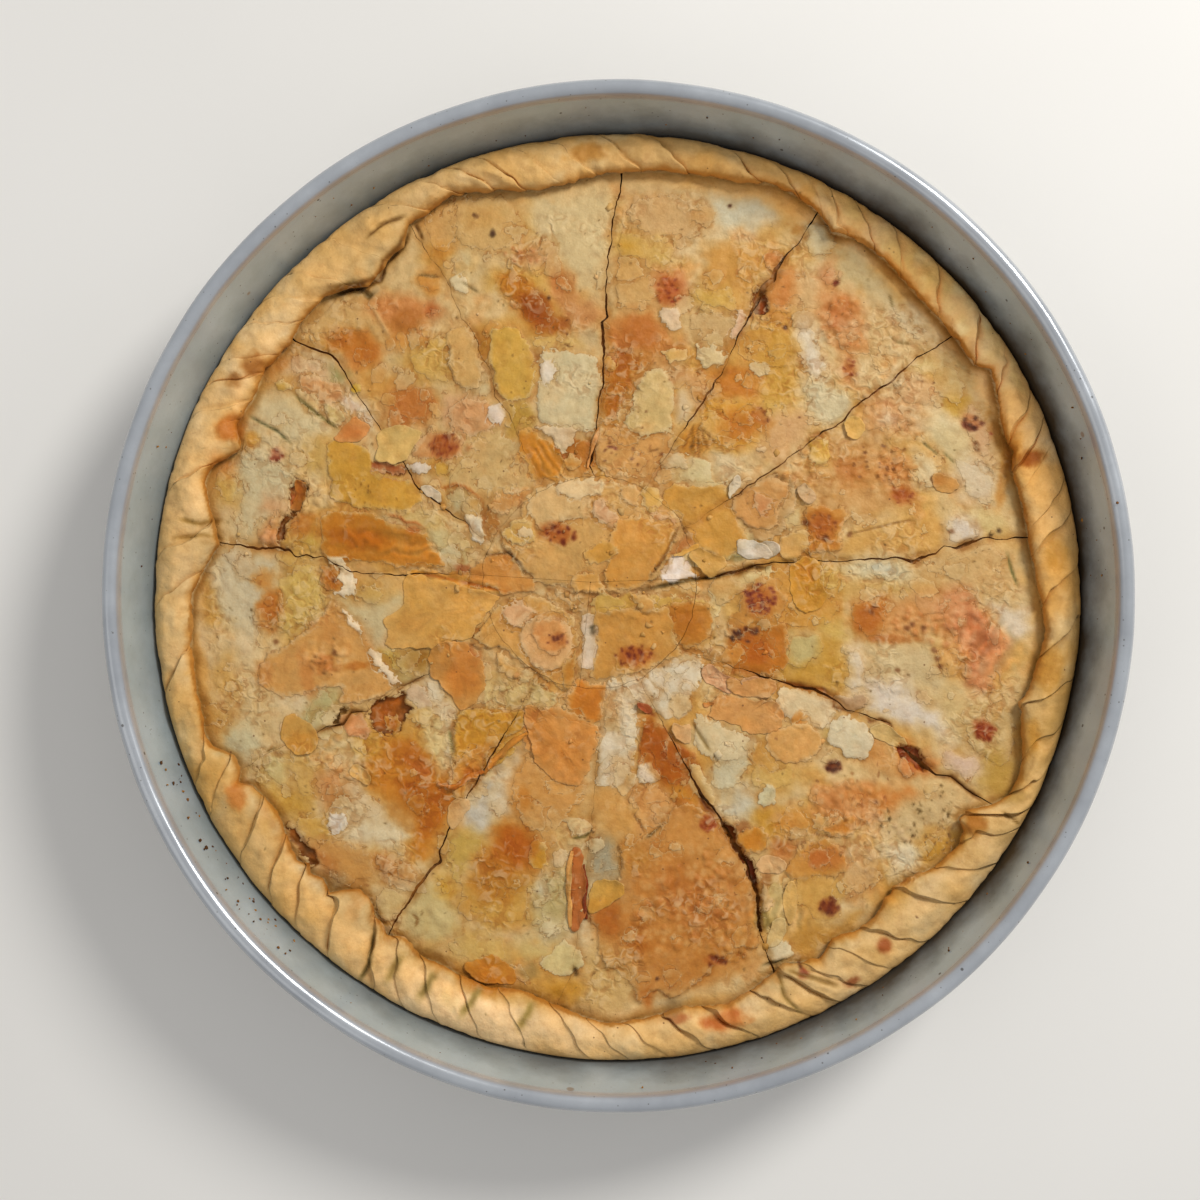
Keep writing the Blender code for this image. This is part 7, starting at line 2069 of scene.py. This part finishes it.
def build_pan(finish):
    """The pan, turned from its section and dented a little."""
    profile = pan_profile()
    angle = np.linspace(0, 360, PAN_COLUMNS, endpoint=False)
    radius, height = profile[:, :1], profile[:, 1:]
    far = smooth_step(40, 170, radius)
    spot_x, spot_y = 90 * np.cos(np.radians(angle)), 90 * np.sin(np.radians(angle))
    dents = rough(spot_x, spot_y, 22, 80) + 0.4 * noise(spot_x + 2 * height, spot_y, 7, 81)
    radius = radius + 0.22 * far * smooth_step(8, 40, height) * dents
    height = np.maximum(height + 0.16 * far * smooth_step(30, 52, height) * noise(spot_x, spot_y, 16, 82), 0)
    x, y = radius * np.cos(np.radians(angle)), radius * np.sin(np.radians(angle))
    points = np.stack([x, y, height + 0 * x], -1)
    rows = len(profile)
    flat = np.concatenate([points.reshape(-1, 3), [(0, 0, SHEET)], [(0, 0, 0)]])
    inside, underside = lathe_caps(rows, PAN_COLUMNS, len(flat) - 2)
    caps = np.concatenate([inside[:, [1, 0, 2]], underside])
    piece = make_piece("pan_turned", flat, [grid_faces(rows, PAN_COLUMNS, wrap=True), caps], finish)
    place(piece, "pan", "pan")


def build_crumbs(finish):
    """Crumbs caught on the pan's wall and rim."""
    rng = np.random.default_rng(44)
    heap = Heap()
    spots = [(9, 172.5, 33, 1.6), (10, 178.0, 55.2, 0.7)]
    for count, start, end, outermost, least, most in ((40, 200, 228, 174.5, 0.3, 0.9),
                                                      (60, 0, 360, 174.8, 0.2, 0.6)):
        for _ in range(count):
            angle, radius = rng.uniform(start, end), rng.uniform(171.5, outermost)
            up = (radius - WALL_FOOT_RADIUS) / (WALL_TOP_RADIUS - WALL_FOOT_RADIUS)
            spots.append((angle, radius, SHEET + up * (PAN_HEIGHT - SHEET), rng.uniform(least, most)))
    for angle, radius, height, size in spots:
        add_crumb(heap, np.array([*polar(radius - 0.2, angle), height]), size, rng)
    place(heap.piece("crumbs", finish), "crust")


def add_crumb(heap, middle, size, rng):
    """A small angular lump."""
    turn = np.radians(np.arange(6) * 60 + rng.uniform(0, 60))
    rings = []
    for level, share in ((-0.5, 0.6), (0.0, 1.0), (0.5, 0.6)):
        ring = np.stack([np.cos(turn), np.sin(turn), np.full(6, level)], -1)
        rings.append(ring * share * rng.uniform(0.7, 1.2, (6, 1)))
    points = np.concatenate(rings + [[(0, 0, -0.6)], [(0, 0, 0.6)]])
    points = points * size * rng.uniform(0.6, 1.1, 3) + middle
    loop = np.arange(6)
    after = np.roll(loop, -1)
    quads = np.concatenate([np.stack([loop + k, after + k, after + k + 6, loop + k + 6], -1) for k in (0, 6)])
    tone = rgb(["8a5a28", "a87a40", "6a4020"][rng.integers(3)])
    heap.add(points, quads, tone)
    caps = np.concatenate([fan_faces(loop, 18)[:, [1, 0, 2]], fan_faces(loop + 12, 19)])
    heap.faces.append(caps + heap.count - len(points))


# ---------------------------------------------------------------- finishes


def node(tree, kind, inputs=None, **settings):
    """A new shader node with its inputs set or linked."""
    made = tree.nodes.new("ShaderNode" + kind)
    for key, value in settings.items():
        setattr(made, key, value)
    for key, value in (inputs or {}).items():
        connect(tree, value, made.inputs[key])
    return made


def connect(tree, value, socket):
    """Links a socket, or sets it to a constant."""
    if isinstance(value, bpy.types.NodeSocket):
        tree.links.new(value, socket)
    else:
        socket.default_value = value


def new_material(name, **constants):
    made = bpy.data.materials.new(name)
    made.use_nodes = True
    tree = made.node_tree
    shader = tree.nodes["Principled BSDF"]
    for key, value in constants.items():
        shader.inputs[key.replace("_", " ")].default_value = value
    return made, tree, shader


def object_place(tree):
    """Where each point lies in the model's own axes, in metres."""
    return node(tree, "TexCoord").outputs["Object"]


def painted(tree, name):
    """The outputs of a value stored in the mesh's points."""
    return node(tree, "Attribute", attribute_name=name).outputs


def texture(tree, kind, place_at, scale, **inputs):
    """The outputs of a Noise or Voronoi texture, its other inputs named as Blender names them."""
    return node(tree, "Tex" + kind, {"Vector": place_at, "Scale": scale, **inputs}).outputs


def tinted(tree, colour, share, other, blend="MIX"):
    """The colour mixed with another by a share."""
    made = node(tree, "Mix", data_type="RGBA", blend_type=blend)
    for index, value in ((0, share), (6, colour), (7, other)):
        connect(tree, value, made.inputs[index])
    return made.outputs[2]


def ranged(tree, value, low, high, to_low, to_high):
    """The value's range from low to high stretched over another range, and cut off at its ends."""
    made = node(tree, "MapRange", {"Value": value, "From Min": low, "From Max": high,
                                   "To Min": to_low, "To Max": to_high})
    return made.outputs["Result"]


def ranged_colour(tree, value, low, high):
    """A colour between two swatches."""
    made = node(tree, "ValToRGB", {"Fac": value})
    made.color_ramp.elements[0].position, made.color_ramp.elements[1].position = 0.3, 0.7
    made.color_ramp.elements[0].color, made.color_ramp.elements[1].color = swatch(low), swatch(high)
    return made.outputs["Color"]


def math_node(tree, operation, first, second):
    return node(tree, "Math", {0: first, 1: second}, operation=operation).outputs[0]


def product(tree, first, second):
    return math_node(tree, "MULTIPLY", first, second)


def swatch(code):
    return (*linear(rgb(code)), 1.0)


def dotted(tree, place_at, scale, least, widest, strength):
    """How strongly round spots cover each point; cells whose random number exceeds least have one."""
    cells = texture(tree, "Voronoi", place_at, scale)
    chosen = node(tree, "SeparateColor", {"Color": cells["Color"]}).outputs[0]
    inside = math_node(tree, "SUBTRACT", ranged(tree, chosen, least, 1.0, 0.0, widest), cells["Distance"])
    return ranged(tree, inside, 0.0, 0.03, 0.0, strength)


def add_bump(tree, shader, height, strength, distance):
    bump = node(tree, "Bump", {"Height": height, "Strength": strength, "Distance": distance})
    tree.links.new(bump.outputs["Normal"], shader.inputs["Normal"])


def crust_finish():
    """Baked dough: painted, grainy, crinkled, specked; at broken edges a painted shadow line and highlight.
    """
    made, tree, shader = new_material("baked_dough", Specular_IOR_Level=0.3,
                                      Specular_Tint=(1.0, 0.85, 0.6, 1.0))
    under, over = painted(tree, "paint")["Color"], painted(tree, "leaf")["Color"]
    edge = painted(tree, "edge")["Fac"]
    place_at = object_place(tree)
    grain = texture(tree, "Noise", place_at, 1100, Detail=3, Roughness=0.65)["Fac"]
    chips = texture(tree, "Voronoi", place_at, 620)["Distance"]
    ragged = math_node(tree, "ADD", edge, ranged(tree, chips, 0.1, 0.8, -0.35, 0.35))
    ragged = math_node(tree, "ADD", ragged, ranged(tree, grain, 0.3, 0.7, -0.15, 0.15))
    paint = tinted(tree, under, ranged(tree, ragged, -0.06, 0.06, 0.0, 1.0), over)
    colour = tinted(tree, paint, ranged(tree, grain, 0.3, 0.7, 0.0, 0.25), swatch("d9bd96"), "MULTIPLY")
    darker = tinted(tree, colour, 1.0, swatch("a87a4a"), "MULTIPLY")
    patches = texture(tree, "Noise", place_at, 260, Detail=3)["Fac"]
    colour = tinted(tree, colour, ranged(tree, patches, 0.5, 0.72, 0.0, 0.2), darker)

    # fine crinkles in zones of the top, fading out towards the rope
    crinkle = texture(tree, "Noise", place_at, 300, Detail=1, Distortion=0.8)["Fac"]
    zones = texture(tree, "Noise", place_at, 48, Detail=1)["Fac"]
    reach = node(tree, "VectorMath", {0: place_at}, operation="LENGTH").outputs["Value"]
    blistered = product(tree, ranged(tree, zones, 0.5, 0.62, 0.08, 0.8),
                        ranged(tree, reach, 0.150, 0.157, 1.0, 0.1))
    ridge = product(tree, blistered, ranged(tree, crinkle, 0.53, 0.66, 0.0, 0.32))
    valley_shade = product(tree, blistered, ranged(tree, crinkle, 0.47, 0.36, 0.0, 0.5))
    # The crinkles' ridges get a painted highlight and their valleys painted shade.
    colour = tinted(tree, colour, ridge, swatch("e8cb9a"))
    colour = tinted(tree, colour, valley_shade, swatch("c8965c"), "MULTIPLY")
    colour = tinted(tree, colour, dotted(tree, place_at, 240, 0.5, 0.11, 0.75), swatch("6a4020"))

    # a painted brown shadow line under each broken edge, and a painted highlight on its rim, both in patches
    line = node(tree, "ValToRGB", {"Fac": ranged(tree, ragged, -1.0, 1.0, 0.0, 1.0)})
    ramp = line.color_ramp
    ramp.elements[0].position, ramp.elements[0].color = 0.22, (0, 0, 0, 1)
    ramp.elements[1].position, ramp.elements[1].color = 0.56, (0, 0, 0, 1)
    for position, value in ((0.34, 0.3), (0.49, 0.5), (0.51, 0.0)):
        ramp.elements.new(position).color = (value, value, value, 1)
    broken = texture(tree, "Noise", place_at, 180, Detail=2)["Fac"]
    shaded = tinted(tree, colour, 1.0, swatch("c08646"), "MULTIPLY")
    lined = product(tree, line.outputs["Color"], ranged(tree, broken, 0.48, 0.62, 0.1, 1.0))
    colour = tinted(tree, colour, lined, shaded)
    on_leaf = math_node(tree, "GREATER_THAN", ragged, 0.0)
    rim_light = product(tree, ranged(tree, ragged, 0.0, 0.7, 0.42, 0.0), on_leaf)
    rim_light = product(tree, rim_light, ranged(tree, broken, 0.58, 0.4, 0.15, 1.0))
    colour = tinted(tree, colour, rim_light, swatch("e6c48c"))
    tree.links.new(colour, shader.inputs["Base Color"])
    tree.links.new(ranged(tree, grain, 0.3, 0.7, 0.44, 0.62), shader.inputs["Roughness"])

    height = math_node(tree, "ADD", grain, ranged(tree, ragged, -0.1, 0.25, 0.0, 1.4))
    lumps = texture(tree, "Noise", place_at, 330, Detail=2)["Fac"]
    height = math_node(tree, "ADD", height, product(tree, lumps, 1.7))
    swollen = product(tree, blistered, ranged(tree, crinkle, 0.36, 0.66, 0.0, 2.4))
    add_bump(tree, shader, math_node(tree, "ADD", height, swollen), 0.65, 0.0003)
    return made


def filling_finish():
    """Moist cooked eggplant, darker in bits."""
    made, tree, shader = new_material("filling_finish", Roughness=0.32, Specular_IOR_Level=0.5)
    bits = texture(tree, "Voronoi", object_place(tree), 420)["Distance"]
    share = ranged(tree, bits, 0.1, 0.6, 0.0, 0.6)
    colour = tinted(tree, painted(tree, "paint")["Color"], share, swatch("5a2e12"))
    tree.links.new(colour, shader.inputs["Base Color"])
    add_bump(tree, shader, bits, 0.7, 0.0006)
    return made


def pan_finish():
    """Satin aluminium with spun lines and pits, greyer on its bead and outside, brown low on its wall."""
    made, tree, shader = new_material("aluminium", Metallic=0.4)
    place_at = object_place(tree)
    x, y, z = node(tree, "SeparateXYZ", {"Vector": place_at}).outputs
    squares = math_node(tree, "ADD", product(tree, x, x), product(tree, y, y))
    radius = math_node(tree, "SQRT", squares, 0.0)
    spun = node(tree, "CombineXYZ", {0: product(tree, radius, 60.0), 1: product(tree, z, 60.0)}).outputs[0]
    lines = texture(tree, "Noise", spun, 40, Detail=4)["Fac"]
    haze = texture(tree, "Noise", place_at, 38, Detail=5, Roughness=0.6)["Fac"]
    grain = texture(tree, "Noise", place_at, 1500, Detail=3)["Fac"]
    normal = node(tree, "NewGeometry").outputs["Normal"]
    outwards = node(tree, "VectorMath", {0: normal, 1: place_at}, operation="DOT_PRODUCT").outputs["Value"]
    bead = math_node(tree, "MAXIMUM", ranged(tree, z, 0.050, 0.0515, 0.0, 1.0),
                     ranged(tree, outwards, -0.08, -0.04, 0.0, 1.0))
    # Inside the wall painted bluer than the bead and outside: a painted reflection of the cool light.
    colour = tinted(tree, ranged_colour(tree, haze, "a8b9be", "bccbd1"), bead,
                    ranged_colour(tree, haze, "a2a5a8", "b9bcbe"))
    colour = tinted(tree, colour, ranged(tree, grain, 0.55, 0.75, 0.0, 0.3), swatch("a8aaa8"))
    hazy_height = math_node(tree, "ADD", z, ranged(tree, haze, 0.3, 0.7, -0.004, 0.004))
    # Brown low inside the wall, most on the right: baked-on grease plus painted shade and pie reflection.
    low = ranged(tree, hazy_height, 0.030, 0.046, 0.85, 0.0)
    low = product(tree, low, ranged(tree, x, -0.15, 0.12, 0.4, 1.15))
    low = product(tree, low, ranged(tree, outwards, -0.08, -0.04, 1.0, 0.0))
    colour = tinted(tree, colour, low, swatch("4a3a22"))
    for *pits, tone in ((150, 0.45, 0.11, 0.8, "4e4a44"), (480, 0.45, 0.17, 0.7, "5e5a54"),
                        (60, 0.72, 0.10, 0.6, "8a6a44")):
        colour = tinted(tree, colour, dotted(tree, place_at, *pits), swatch(tone))
    tree.links.new(colour, shader.inputs["Base Color"])
    satin = math_node(tree, "ADD", ranged(tree, haze, 0.3, 0.7, 0.30, 0.40), product(tree, low, 0.25))
    satin = math_node(tree, "SUBTRACT", satin, product(tree, bead, 0.13))
    tree.links.new(satin, shader.inputs["Roughness"])
    add_bump(tree, shader, lines, 0.3, 0.0001)
    return made


# ---------------------------------------------------------------- stage


def build_stage():
    """A plain pale floor."""
    bpy.ops.mesh.primitive_plane_add(size=4.0, location=(0, 0, 0))
    floor = bpy.context.object
    floor.name = "floor"
    made, tree, shader = new_material("floor_finish", Roughness=0.8)
    haze = texture(tree, "Noise", object_place(tree), 3, Detail=3)["Fac"]
    tree.links.new(ranged_colour(tree, haze, "dedad2", "e6e2da"), shader.inputs["Base Color"])
    floor.data.materials.append(made)


def add_light(name, spot, size, power, colour):
    """A round light that shines from a spot at the origin."""
    data = bpy.data.lights.new(name, "AREA")
    data.shape, data.size, data.energy, data.color = "DISK", size, power, colour
    light = bpy.data.objects.new(name, data)
    bpy.context.scene.collection.objects.link(light)
    light.location = spot
    aim = -np.array(spot)
    light.rotation_euler = (math.atan2(math.hypot(aim[0], aim[1]), -aim[2]), 0, math.atan2(-aim[0], aim[1]))


def build_lights():
    """A bright room with a window beyond the pie to the right, and a weak light from the left."""
    world = bpy.data.worlds.new("studio")
    world.use_nodes = True
    background = world.node_tree.nodes["Background"]
    background.inputs["Color"].default_value = (0.93, 0.95, 1.0, 1.0)
    background.inputs["Strength"].default_value = 0.52
    bpy.context.scene.world = world
    add_light("window", (0.80, 0.80, 1.00), 0.45, 17, (1.0, 1.0, 1.0))
    add_light("fill", (-0.9, -0.5, 1.1), 1.2, 2, (1.0, 0.97, 0.93))


def build_camera():
    """Almost straight down, from about 60 cm above the pie, tipped a little to its far side."""
    height, tilt = 0.62, math.radians(1.7)
    data = bpy.data.cameras.new("camera")
    data.sensor_width = 36
    data.lens = 48.4
    camera = bpy.data.objects.new("camera", data)
    bpy.context.scene.collection.objects.link(camera)
    camera.location = (-0.0065, -0.0200, height)
    camera.rotation_euler = (tilt, 0, 0)
    bpy.context.scene.camera = camera


def main():
    bpy.context.scene.view_settings.view_transform = "Standard"
    build_stage()
    build_lights()
    build_camera()
    canvas = paint_canvas()
    dough = crust_finish()
    build_top(canvas, dough)
    build_crust(canvas, dough)
    build_flakes(canvas, dough)
    build_scraps(canvas, dough)
    build_filling(filling_finish())
    build_seams(canvas, dough)
    build_pan(pan_finish())
    build_crumbs(dough)


main()
